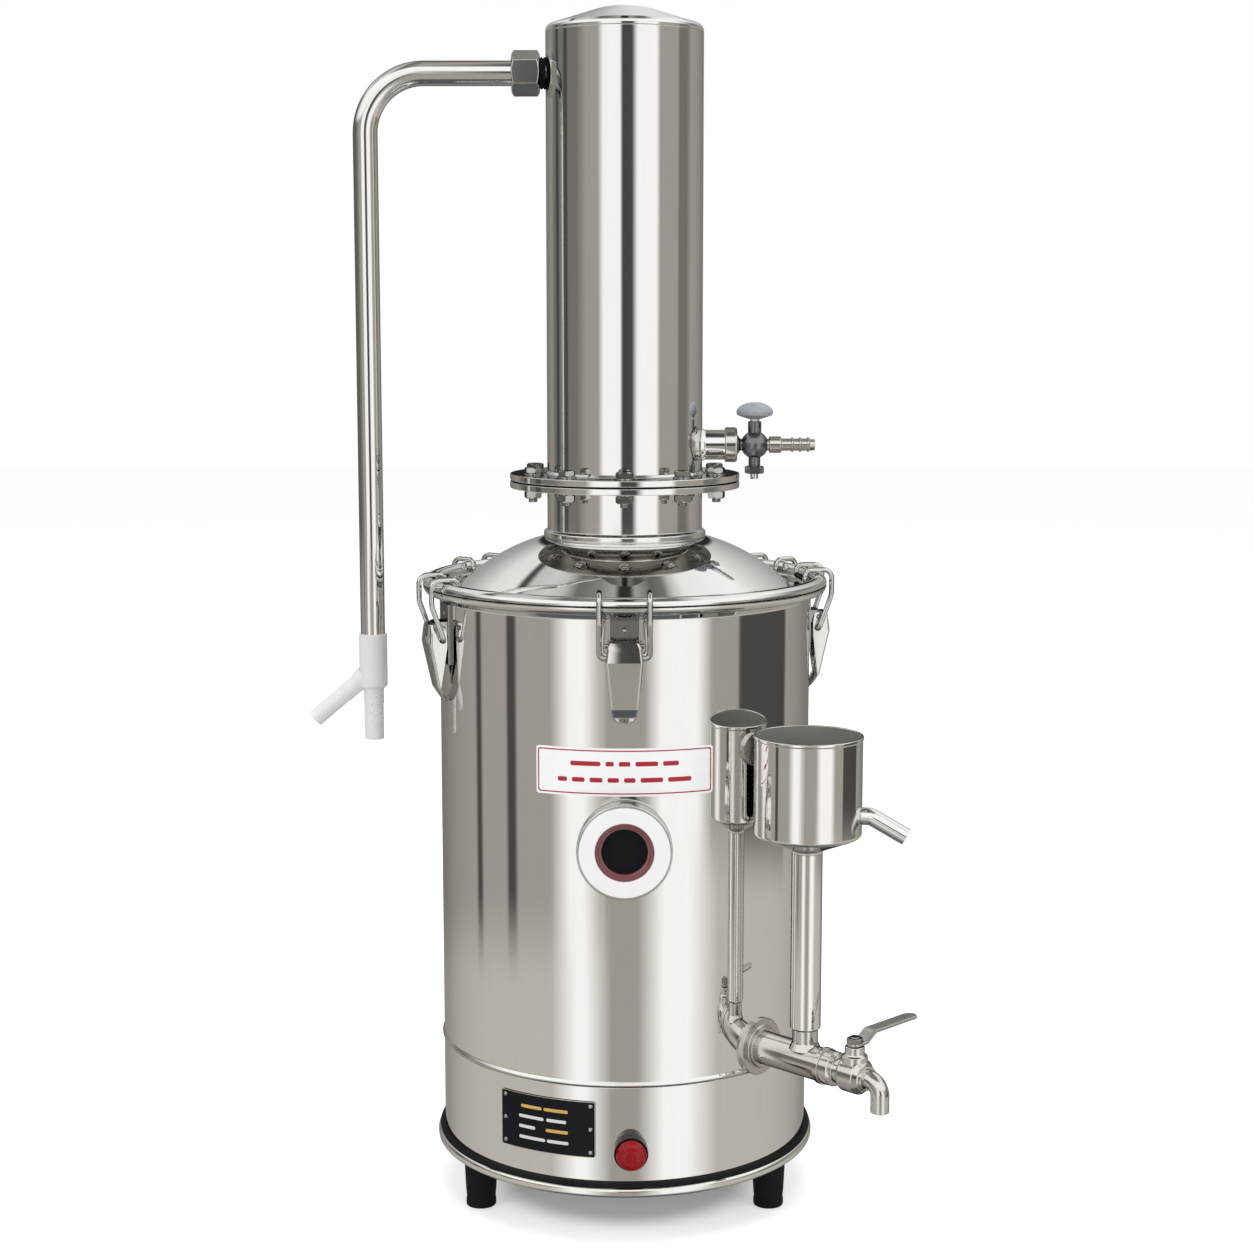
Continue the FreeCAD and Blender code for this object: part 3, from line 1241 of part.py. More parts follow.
def spill_root(distance):
    return cup_centre(CUP_BOTTOM + CUP_CONE_HEIGHT + SPILL_LIFT) + spill_way() * distance


def overflow_spout():
    """A short stub out of the cup, then a slanted run."""
    radius = CUP_DIA / 2
    tilt = math.radians(SPILL_TILT)
    corner = spill_root(radius + SPILL_STUB)
    way = spill_way() * math.cos(tilt) - UP * math.sin(tilt)
    path = rounded_path([spill_root(radius - CUP_WALL - 2), corner, corner + way * SPILL_LENGTH],
                        (SPILL_BEND_R,))
    return rod(path, SPILL_DIA).cut(rod(path, SPILL_DIA - 2 * SPILL_WALL))


def cup_bracket():
    """A saddle on the boiler with rounded ends, and the block that carries the cup."""
    top = CUP_RIM - TAB_BELOW_RIM
    middle = top - TAB_HEIGHT / 2
    face = BODY_R + TAB_THICKNESS
    reach = FEED_R - CUP_DIA / 2 + 4
    half = (TAB_WIDTH - TAB_HEIGHT) / 2
    outline = Part.makeBox(2 * half, reach, TAB_HEIGHT, vec(-half, -reach, top - TAB_HEIGHT))
    ends = [cylinder(TAB_HEIGHT, front(0, middle, side * half), front(reach, middle, side * half))
            for side in (-1, 1)]
    sheet = revolve([(BODY_R, top - TAB_HEIGHT), (face, top - TAB_HEIGHT), (face, top), (BODY_R, top)])
    saddle = sheet.common(union([outline] + ends))
    for side in (-1, 1):
        saddle = saddle.cut(Part.makeSphere(TAB_DIMPLE_R, front(face, middle, side * half)))
    web = Part.makeBox(TAB_WEB_WIDTH, reach - BODY_R, TAB_HEIGHT,
                       vec(-TAB_WEB_WIDTH / 2, -reach, top - TAB_HEIGHT))
    tab = union([saddle, web]).cut(Part.makeCylinder(BODY_R, SHELL_TOP))
    tab = tab.cut(cylinder(CUP_DIA, front(FEED_R, 0), front(FEED_R, CUP_RIM)))
    return turned(tab, FEED_AZIMUTH)


# ---- drain tap ----------------------------------------------------------------------
def tap_point(out, rise=0.0):
    """A point on the tap, before it is turned to the drain's azimuth."""
    return front(DRAIN_END_R + out, DRAIN_Z + rise)


def tap_centre_out():
    return TAP_SLEEVE_LENGTH + TAP_WAIST_LENGTH + TAP_BODY_LENGTH / 2


def tap_body():
    sleeve_end = TAP_SLEEVE_LENGTH
    waist_end = sleeve_end + TAP_WAIST_LENGTH
    body_end = waist_end + TAP_BODY_LENGTH
    collar_end = body_end + TAP_COLLAR_LENGTH
    big = TAP_BODY_DIA / 2
    waist = TAP_WAIST_DIA / 2
    profile = revolve([
        (0, 0), (TAP_SLEEVE_DIA / 2, 0), (TAP_SLEEVE_DIA / 2, sleeve_end - 1), (waist, sleeve_end + 1),
        (waist, waist_end), (big, waist_end + TAP_SHOULDER), (big, body_end - TAP_SHOULDER),
        (TAP_COLLAR_DIA / 2 + 0.8, body_end), (TAP_COLLAR_DIA / 2, body_end), (TAP_COLLAR_DIA / 2, collar_end),
        (0, collar_end)])
    run = along(profile, vec(0, -1, 0), tap_point(0))
    centre = tap_centre_out()
    bonnet = cylinder(TAP_BONNET_DIA, tap_point(centre), tap_point(centre, TAP_BONNET_RISE))
    shoulder = cylinder(TAP_BONNET_DIA + 4, tap_point(centre), tap_point(centre, TAP_BODY_DIA / 2 + 1.2))
    body = union([run, bonnet, shoulder])
    body = body.cut(cylinder(TAP_BORE_DIA, tap_point(-1), tap_point(collar_end + 1)))
    body = body.cut(Part.makeSphere(TAP_BALL_DIA / 2 + TAP_BALL_GAP, tap_point(centre)))
    stem_room = TAP_STEM_DIA + 2 * TAP_STEM_GAP
    body = body.cut(cylinder(stem_room, tap_point(centre), tap_point(centre, TAP_BONNET_RISE + 1)))
    return union([turned(body, FEED_AZIMUTH), tap_spout()])


def tap_spout():
    """The tap's down-turned outlet, welded to its body."""
    start = TAP_SLEEVE_LENGTH + TAP_WAIST_LENGTH + TAP_BODY_LENGTH + TAP_COLLAR_LENGTH
    corner = tap_point(start + TAP_SPOUT_REACH)
    path = rounded_path([tap_point(start), corner, corner - UP * TAP_SPOUT_DROP], (TAP_SPOUT_BEND_R,))
    bore = rod(path, TAP_SPOUT_DIA - 2 * TAP_SPOUT_WALL)
    return turned(rod(path, TAP_SPOUT_DIA).cut(bore), FEED_AZIMUTH)


def tap_stem():
    """Ball and stem in one, bored across along the lever."""
    centre = tap_centre_out()
    ball = Part.makeSphere(TAP_BALL_DIA / 2, tap_point(centre))
    stem = cylinder(TAP_STEM_DIA, tap_point(centre), tap_point(centre, TAP_STEM_TOP))
    stem = turned(union([ball, stem]), FEED_AZIMUTH)
    axis = tap_axis_point(0)
    bore = cylinder(TAP_BORE_DIA, axis - tap_lever_way() * TAP_BALL_DIA, axis + tap_lever_way() * TAP_BALL_DIA)
    return stem.cut(bore)


def tap_axis_point(rise):
    angle = math.radians(FEED_AZIMUTH)
    radius = DRAIN_END_R + tap_centre_out()
    return vec(radius * math.sin(angle), -radius * math.cos(angle), DRAIN_Z + rise)


def tap_lever_way():
    angle = math.radians(TAP_LEVER_AZIMUTH)
    return vec(math.sin(angle), -math.cos(angle), 0)


def tap_lever():
    """A cranked strip with a round end, pinned on the stem by its nut."""
    half = TAP_LEVER_WIDTH / 2
    low = TAP_BONNET_RISE + 0.3
    thick = TAP_LEVER_THICKNESS
    step_start = TAP_LEVER_ROOT
    step_end = TAP_LEVER_ROOT + TAP_LEVER_STEP_RUN
    high = low + TAP_LEVER_STEP
    side = [(-half, low), (step_start, low), (step_end, high), (TAP_LEVER_LENGTH, high),
            (TAP_LEVER_LENGTH, high + thick), (step_end - 0.6, high + thick),
            (step_start - 0.6, low + thick), (-half, low + thick), (-half, low)]
    face = Part.Face(Part.makePolygon([vec(0, -out, rise) for out, rise in side]))
    strip = moved(face.extrude(vec(TAP_LEVER_WIDTH, 0, 0)), -half, 0, 0)
    plan = union([
        cylinder(TAP_LEVER_WIDTH, vec(0, 0, low - 1), vec(0, 0, high + thick + 1)),
        cylinder(TAP_LEVER_WIDTH, vec(0, half - TAP_LEVER_LENGTH, low - 1),
                 vec(0, half - TAP_LEVER_LENGTH, high + thick + 1)),
        Part.makeBox(TAP_LEVER_WIDTH, TAP_LEVER_LENGTH - half, high - low + thick + 2,
                     vec(-half, half - TAP_LEVER_LENGTH, low - 1))])
    strip = strip.common(plan).cut(Part.makeCylinder(TAP_STEM_DIA / 2, TAP_STEM_TOP + thick))
    strip.rotate(ORIGIN, UP, TAP_LEVER_AZIMUTH)
    strip.translate(tap_axis_point(0))
    return strip


def tap_nut():
    low = TAP_BONNET_RISE + 0.3 + TAP_LEVER_THICKNESS
    nut = hex_nut(TAP_NUT_AF, TAP_NUT_HEIGHT, TAP_STEM_DIA, 0.8)
    at = tap_axis_point(low)
    return moved(nut, at.x, at.y, at.z)


# ---- over-centre latches, drawn at azimuth 0 ----------------------------------------
def side_plate(outline, half_width):
    """Extrude a side outline of (radius, height) points across the front."""
    points = [front(radius, height) for radius, height in outline]
    points.append(points[0])
    face = Part.Face(Part.makePolygon(points))
    return moved(face.extrude(vec(half_width * 2, 0, 0)), -half_width, 0, 0)


def lever_side(inset):
    """The lever's side outline. An inset moves its outer face towards the boiler."""
    r = LATCH_PIN_R
    z = LATCH_PIN_Z
    back = r - LEVER_FLANGE_DEPTH
    return [
        (r + LEVER_TOP_OUT - inset, z + LEVER_TOP_RISE), (r + LEVER_FOLD_OUT - inset, z - LEVER_FOLD_DROP),
        (r + LEVER_LOW_OUT - inset, z - LEVER_LOW_DROP), (r + LEVER_TIP_OUT - inset, z - LEVER_TIP_DROP),
        (r + LEVER_TIP_OUT - LEVER_SHEET - TINY, z - LEVER_TIP_DROP),
        (r + LEVER_LOW_OUT - LEVER_SHEET - 0.4, z - LEVER_LOW_DROP),
        (back, z - LATCH_BAIL_DROP - 5), (back, z - 2.0), (back + 1.6, z + LEVER_TOP_RISE)]


def lever_front(inset):
    """The lever's outline seen from the front, as a thick slab."""
    z = LATCH_PIN_Z
    top = LEVER_TOP_WIDTH / 2 - inset
    fold = LEVER_FOLD_WIDTH / 2 - inset
    low = LEVER_LOW_WIDTH / 2 - inset
    tip = LEVER_TIP_WIDTH / 2 - inset
    top_z = z + LEVER_TOP_RISE
    tip_z = z - LEVER_TIP_DROP
    low_z = z - LEVER_LOW_DROP
    mid_z = (tip_z + low_z) / 2 - 1.2
    points = [(-top, top_z), (top, top_z), (fold, z - LEVER_FOLD_DROP), (low, low_z),
              ((low + tip) / 2 + 1.2, mid_z), (tip, tip_z), (-tip, tip_z), (-(low + tip) / 2 - 1.2, mid_z),
              (-low, low_z), (-fold, z - LEVER_FOLD_DROP), (-top, top_z)]
    face = Part.Face(Part.makePolygon([vec(across, 0, height) for across, height in points]))
    return face.extrude(vec(0, -RIM_OUTER_R * 2, 0))


def latch_lever():
    """A folded sheet: an outer face with two side flanges that carry the pins."""
    solid = side_plate(lever_side(0), LEVER_FOLD_WIDTH).common(lever_front(0))
    room = side_plate(lever_side(LEVER_SHEET), LEVER_FOLD_WIDTH).common(lever_front(LEVER_SHEET))
    below = moved(room, 0, 3, 0)
    lever = solid.cut(room).cut(below)
    half = LEVER_FOLD_WIDTH
    pin_hole = LATCH_PIN_DIA + 2 * LATCH_RUN_GAP
    bail_hole = BAIL_WIRE + 2 * LATCH_RUN_GAP
    lever = lever.cut(cylinder(pin_hole, front(LATCH_PIN_R, LATCH_PIN_Z, -half),
                               front(LATCH_PIN_R, LATCH_PIN_Z, half)))
    return lever.cut(cylinder(bail_hole, front(BAIL_PIN_R, BAIL_PIN_Z, -half),
                              front(BAIL_PIN_R, BAIL_PIN_Z, half)))


def latch_pin():
    half = LEVER_FOLD_WIDTH / 2 + 0.4
    return cylinder(LATCH_PIN_DIA, front(LATCH_PIN_R, LATCH_PIN_Z, -half),
                    front(LATCH_PIN_R, LATCH_PIN_Z, half))


def latch_bracket():
    """A plate on the boiler with two ears that hold the lever's pin."""
    half = BRACKET_WIDTH / 2
    low = LATCH_PIN_Z - BRACKET_DROP
    high = LATCH_PIN_Z + BRACKET_RISE
    face = BODY_R + BRACKET_THICKNESS
    plate = Part.makeBox(BRACKET_WIDTH, BRACKET_THICKNESS + BRACKET_BACK, high - low, vec(-half, -face, low))
    pieces = [plate]
    for side in (-1, 1):
        inner = side * (half - BRACKET_EAR_INSET - BRACKET_EAR)
        outer = side * (half - BRACKET_EAR_INSET)
        left = min(inner, outer)
        right = max(inner, outer)
        web = Part.makeBox(BRACKET_EAR, LATCH_PIN_R - BODY_R, 2 * BRACKET_EAR_R,
                           vec(left, -LATCH_PIN_R, LATCH_PIN_Z - BRACKET_EAR_R))
        eye = cylinder(2 * BRACKET_EAR_R, front(LATCH_PIN_R, LATCH_PIN_Z, left),
                       front(LATCH_PIN_R, LATCH_PIN_Z, right))
        pieces += [web, eye]
    bracket = union(pieces).cut(Part.makeCylinder(BODY_R, SHELL_TOP))
    dimple = Part.makeSphere(BRACKET_DIMPLE_R, front(face + BRACKET_DIMPLE_OUT, LATCH_PIN_Z + BRACKET_DIMPLE_RISE))
    bracket = bracket.cut(dimple)
    return bracket.cut(latch_pin())


def latch_bail():
    """The wire loop: its ends sit in the lever and its hook holds the lid's rim."""
    half = BAIL_SPAN / 2
    wire = BAIL_WIRE / 2
    lid_wall_r = RIM_INNER_R - LID_SPIGOT_GAP - LID_WALL
    lid_wall_there = math.sqrt(lid_wall_r ** 2 - (half + wire) ** 2)
    inner_r = lid_wall_there - BAIL_INNER_GAP - wire
    outer_r = RIM_OUTER_R + BAIL_OUTER_GAP + wire
    top = LID_RIM_TOP + BAIL_TOP_GAP + wire
    hook = top - BAIL_HOOK_DEPTH
    end = flange_inner_half() - BAIL_END_PAST
    knee = SHELL_TOP - RIM_HALF_HEIGHT - RIM_FLARE
    right = [front(BAIL_PIN_R, BAIL_PIN_Z, end), front(BAIL_PIN_R, BAIL_PIN_Z, half),
             front(outer_r, knee, half), front(outer_r, top, half), front(inner_r, top, half),
             front(inner_r, hook, half)]
    left = [vec(-point.x, point.y, point.z) for point in reversed(right)]
    turns = [BAIL_END_R, BAIL_KNEE_R, BAIL_SHOULDER_R, BAIL_CORNER_R, BAIL_HOOK_R]
    radii = turns + list(reversed(turns))
    return rod(rounded_path(right + left, radii), BAIL_WIRE)


def flange_inner_half():
    """Half the clear width between the lever's flanges at the bail's holes."""
    share = (LEVER_TOP_RISE + LATCH_BAIL_DROP) / (LEVER_TOP_RISE + LEVER_FOLD_DROP)
    width = LEVER_TOP_WIDTH + (LEVER_FOLD_WIDTH - LEVER_TOP_WIDTH) * share
    return width / 2 - LEVER_SHEET


# ---- the assembly -------------------------------------------------------------------
def save_base():
    save("feet", *[turned(foot(), azimuth) for azimuth in FOOT_AZIMUTHS])
    screws = [turned(foot_screw(), azimuth) for azimuth in FOOT_AZIMUTHS]
    nuts = [turned(foot_nut(), azimuth) for azimuth in FOOT_AZIMUTHS]
    save("foot_screws", *(screws + nuts))
    save("base_plate", base_plate())
    save("base_trim_ring", base_trim_ring())
    save("base_skirt", base_skirt())
    save("name_plate", name_plate())
    save("plate_rivets", *[plate_rivet(azimuth, height) for azimuth, height in rivet_places()])
    save("indicator_bezel", indicator_bezel(), indicator_nut())
    save("indicator_lens", indicator_lens())
    save("cable_gland", cable_gland())


def save_boiler():
    save("boiler_shell", boiler_shell())
    save("boiler_floor", boiler_floor())
    save("heater_element", heater_element(), heater_nut(-1), heater_nut(1))
    save("terminal_block", terminal_block())
    save("thermal_cutout", thermal_cutout())
    save("sight_glass_window", sight_glass_window())
    save("sight_glass_gasket", sight_glass_gasket())
    save("sight_glass_ring", sight_glass_ring())
    save("level_label", level_label())


def save_lid():
    save("lid_gasket", lid_gasket())
    save("lid_dome", lid_dome())
    save("neck_flange", union([neck_tube().cut(outlet_hole()), flange_ring(FLANGE_BOTTOM, NECK_R)]))
    save("flange_gasket", flange_gasket())
    save("upper_flange", flange_ring(UPPER_FLANGE_BOTTOM, NECK_R))
    save("flange_bolts", *[turned(flange_bolt(), azimuth) for azimuth in bolt_azimuths()])
    nuts = [turned(flange_nut(), azimuth) for azimuth in bolt_azimuths()]
    for bottom in (FLANGE_TOP, FLANGE_BOTTOM - BOLT_WASHER_THICKNESS):
        nuts += [turned(flange_washer(bottom), azimuth) for azimuth in bolt_azimuths()]
    save("flange_nuts_and_washers", *nuts)


def save_condenser():
    save("condenser_shell", condenser_shell())
    save("condenser_cap", condenser_cap())
    sheets = [tube_sheet(low_sheet_z()), tube_sheet(high_sheet_z())]
    save("steam_tube_bundle", *(sheets + [steam_tube(x, y) for x, y in steam_tube_places()]))
    save("distillate_tray", distillate_tray())
    save("distillate_outlet", distillate_outlet())
    save("return_seal", return_seal())
    save("return_nut", return_nut())
    save("return_pipe", return_pipe())
    save("wye", wye())


def save_cock():
    save("inlet_union_nut", inlet_union_nut())
    save("cock_body", cock_body())
    save("cock_plug", cock_plug())
    save("cock_knob", cock_knob())
    save("cock_tail_nut", cock_tail_nut())


def save_drain():
    save("drain_tee", drain_tee())
    save("drain_escutcheon", drain_escutcheon())
    save("stand_pipe", stand_pipe())
    save("feed_cup", feed_cup())
    save("cup_bracket", cup_bracket())
    save("tap_body", tap_body())
    save("tap_stem", tap_stem())
    save("tap_lever", tap_lever())
    save("tap_nut", tap_nut())


def save_latches():
    brackets = [turned(latch_bracket(), azimuth) for azimuth in LATCH_AZIMUTHS.values()]
    pins = [turned(latch_pin(), azimuth) for azimuth in LATCH_AZIMUTHS.values()]
    save("latch_brackets", *(brackets + pins))
    for name, azimuth in LATCH_AZIMUTHS.items():
        save("latch_lever_" + name, turned(latch_lever(), azimuth))
        save("latch_bail_" + name, turned(latch_bail(), azimuth))


os.makedirs("parts", exist_ok=True)
save_base()
save_boiler()
save_lid()
save_condenser()
save_cock()
save_drain()
save_latches()
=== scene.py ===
"""Looks, light and camera of a stainless-steel electric water distiller.

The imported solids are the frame. Each sub-assembly is a class that holds its sizes in
millimetres, builds its meshes from numpy surfaces and dresses the solids that stay.
"""

import json
import logging
import math
from dataclasses import dataclass, replace
from enum import Enum
from typing import Callable, Iterable, Sequence

import bmesh  # noqa: E402
import bpy  # noqa: E402
import numpy as np  # noqa: E402
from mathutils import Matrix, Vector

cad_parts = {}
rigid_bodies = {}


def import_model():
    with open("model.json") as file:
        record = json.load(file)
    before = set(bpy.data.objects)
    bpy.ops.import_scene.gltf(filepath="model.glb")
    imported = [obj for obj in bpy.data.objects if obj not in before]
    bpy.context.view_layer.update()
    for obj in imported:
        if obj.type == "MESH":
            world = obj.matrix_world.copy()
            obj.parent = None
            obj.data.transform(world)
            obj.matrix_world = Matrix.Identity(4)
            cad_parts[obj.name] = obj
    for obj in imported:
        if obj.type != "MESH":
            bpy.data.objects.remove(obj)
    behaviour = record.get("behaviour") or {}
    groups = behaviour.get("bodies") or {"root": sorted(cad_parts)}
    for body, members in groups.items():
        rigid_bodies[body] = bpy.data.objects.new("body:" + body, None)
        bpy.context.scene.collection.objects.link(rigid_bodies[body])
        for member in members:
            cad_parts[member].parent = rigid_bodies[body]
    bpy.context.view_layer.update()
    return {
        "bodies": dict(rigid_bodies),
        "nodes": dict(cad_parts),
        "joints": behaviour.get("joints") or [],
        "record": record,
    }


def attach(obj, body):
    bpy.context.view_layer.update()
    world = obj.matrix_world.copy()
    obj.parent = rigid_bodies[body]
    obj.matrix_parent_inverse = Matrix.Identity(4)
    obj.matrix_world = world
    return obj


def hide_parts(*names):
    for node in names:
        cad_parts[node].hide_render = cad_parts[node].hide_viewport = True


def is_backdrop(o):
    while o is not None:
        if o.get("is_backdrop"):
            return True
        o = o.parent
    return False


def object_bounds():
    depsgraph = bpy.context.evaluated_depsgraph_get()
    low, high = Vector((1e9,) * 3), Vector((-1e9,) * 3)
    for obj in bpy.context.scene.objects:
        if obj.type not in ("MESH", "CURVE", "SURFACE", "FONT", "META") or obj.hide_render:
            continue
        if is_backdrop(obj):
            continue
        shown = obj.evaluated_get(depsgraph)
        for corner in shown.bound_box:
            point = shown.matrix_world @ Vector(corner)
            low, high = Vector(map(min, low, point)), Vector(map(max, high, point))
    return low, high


LOG = logging.getLogger("distiller")
MM = 0.001
MERGE_DISTANCE = 1e-6
SHARP_ANGLE = math.radians(34.0)
HOLD = 0.12
HEX_SEGMENTS = 72
HEX_FACE = 0.95
LEAST_ROUGHNESS = 0.02
COAT_ROUGHNESS = 0.08
SUBSURFACE_RADIUS = (0.004, 0.004, 0.004)
STAND = "stand"
UP = (0.0, 0.0, 1.0)
Array = np.ndarray
Tree = bpy.types.NodeTree
Socket = bpy.types.NodeSocket
Pair = tuple[float, float]
Triple = tuple[float, float, float]
Colour = Triple
Source = Socket | float | tuple[float, ...]
Tones = tuple[Triple, ...]


# ---- places and paths ---------------------------------------------------------------
@dataclass(frozen=True)
class Place:
    """A local frame: its origin and the directions of its x, y and z, in millimetres."""

    origin: Triple = (0.0, 0.0, 0.0)
    across: Triple = (1.0, 0.0, 0.0)
    up: Triple = (0.0, 1.0, 0.0)
    out: Triple = (0.0, 0.0, 1.0)

    def world(self, points: Array) -> Array:
        """Local points (..., 3) as world points: the origin plus x, y and z along its axes."""
        return points @ np.array([self.across, self.up, self.out]) + np.array(self.origin)


def polar(azimuth: float, radius: float, height: float) -> Array:
    """A point at an azimuth in degrees, 0 at the front (-Y) and 90 at the right (+X)."""
    angle = math.radians(azimuth)
    return np.array([radius * math.sin(angle), -radius * math.cos(angle), height])


def facing(azimuth: float, radius: float, height: float) -> Place:
    """A place whose z points away from the axis, y up and x to the viewer's right."""
    out = tuple(polar(azimuth, 1.0, 0.0))
    return Place(tuple(polar(azimuth, radius, height)), (-out[1], out[0], 0.0), UP, out)


def standing(azimuth: float, radius: float, height: float) -> Place:
    """A place whose z points up and x away from the axis."""
    out = tuple(polar(azimuth, 1.0, 0.0))
    return Place(tuple(polar(azimuth, radius, height)), out, (-out[1], out[0], 0.0), UP)


def square_helper(way: Array) -> Array:
    """A direction that isn't along a way: y, or x where the way runs near y."""
    return np.array((0.0, 1.0, 0.0) if abs(way[1]) < 0.9 else (1.0, 0.0, 0.0))


def along(line: Array) -> Array:
    """The distance run at each point of a line, from 0."""
    return np.r_[0, np.cumsum(np.linalg.norm(np.diff(line, axis=0), axis=1))]


def full_turn(steps: int) -> Array:
    """Evenly spaced angles once round, the last a step short of the first."""
    return np.arange(steps) * 2 * math.pi / steps


def pointing(origin: Sequence[float], way: Sequence[float]) -> Place:
    """A place whose z points along a way, with any x and y square to it."""
    out = np.array(way, float)
    out /= np.linalg.norm(out)
    across = np.cross(square_helper(out), out)
    across /= np.linalg.norm(across)
    return Place(tuple(origin), tuple(across), tuple(np.cross(out, across)), tuple(out))


def rounded(corners: Sequence[Sequence[float]], closed: bool = True, turn: float = 9.0) -> Array:
    """A line through corners, each of them rounded by its own radius.

    The arc at a corner is centre + radius * (cos t, sin t), worked out in the corner's own
    plane, and a holding point follows each of its ends so that flats stay flat when shaded.

    Args:
        corners: (x, y) or (x, y, z) of each corner, followed by its radius.
        closed: whether the last corner joins the first.
        turn: degrees of arc per step.

    Returns:
        The points, one row each.
    """
    rows = [np.array(corner[:-1], float) for corner in corners]
    made: list[Array] = []
    for index, corner in enumerate(corners):
        here, radius = rows[index], corner[-1]
        ends = not closed and index in (0, len(rows) - 1)
        if radius <= 0 or ends:
            made.append(here[None])
            continue
        before = rows[index - 1] - here
        after = rows[(index + 1) % len(rows)] - here
        before_length, after_length = np.linalg.norm(before), np.linalg.norm(after)
        before, after = before / before_length, after / after_length
        half = math.acos(max(-1.0, min(1.0, float(before @ after)))) / 2
        reach = radius / math.tan(half)
        centre = here + (before + after) / np.linalg.norm(before + after) * radius / math.sin(half)
        swing = math.pi - 2 * half
        steps = max(2, math.ceil(math.degrees(swing) / turn))
        t = (np.linspace(0, swing, steps + 1) - swing / 2)[:, None]
        inward = (here - centre) / np.linalg.norm(here - centre)
        side = (after - before) / np.linalg.norm(after - before)
        arc = centre + radius * (np.cos(t) * inward + np.sin(t) * side)
        hold = min(HOLD, radius)
        made.append(np.vstack([
            here + before * min(reach + hold, before_length * 0.499 + reach * 0.5), arc,
            here + after * min(reach + hold, after_length * 0.499 + reach * 0.5)]))
    return np.vstack(made)


def arc_three(start: Sequence[float], middle: Sequence[float], end: Sequence[float],
              steps: int) -> Array:
    """Points of the circle through three (r, z) points, from the first to the last.

    The centre is where the two chords' perpendicular bisectors meet.
    """
    a, b, c = (np.array(point, float) for point in (start, middle, end))
    left = 2 * np.array([b - a, c - a])
    centre = np.linalg.solve(left, np.array([b @ b - a @ a, c @ c - a @ a]))
    radius = np.linalg.norm(a - centre)
    first = math.atan2(*(a - centre)[::-1])
    last = math.atan2(*(c - centre)[::-1])
    through = math.atan2(*(b - centre)[::-1])
    sweep = (last - first + math.pi) % (2 * math.pi) - math.pi
    if (through - first) * sweep < 0:
        sweep -= math.copysign(2 * math.pi, sweep)
    t = first + np.linspace(0, sweep, steps)
    return centre + radius * np.column_stack([np.cos(t), np.sin(t)])


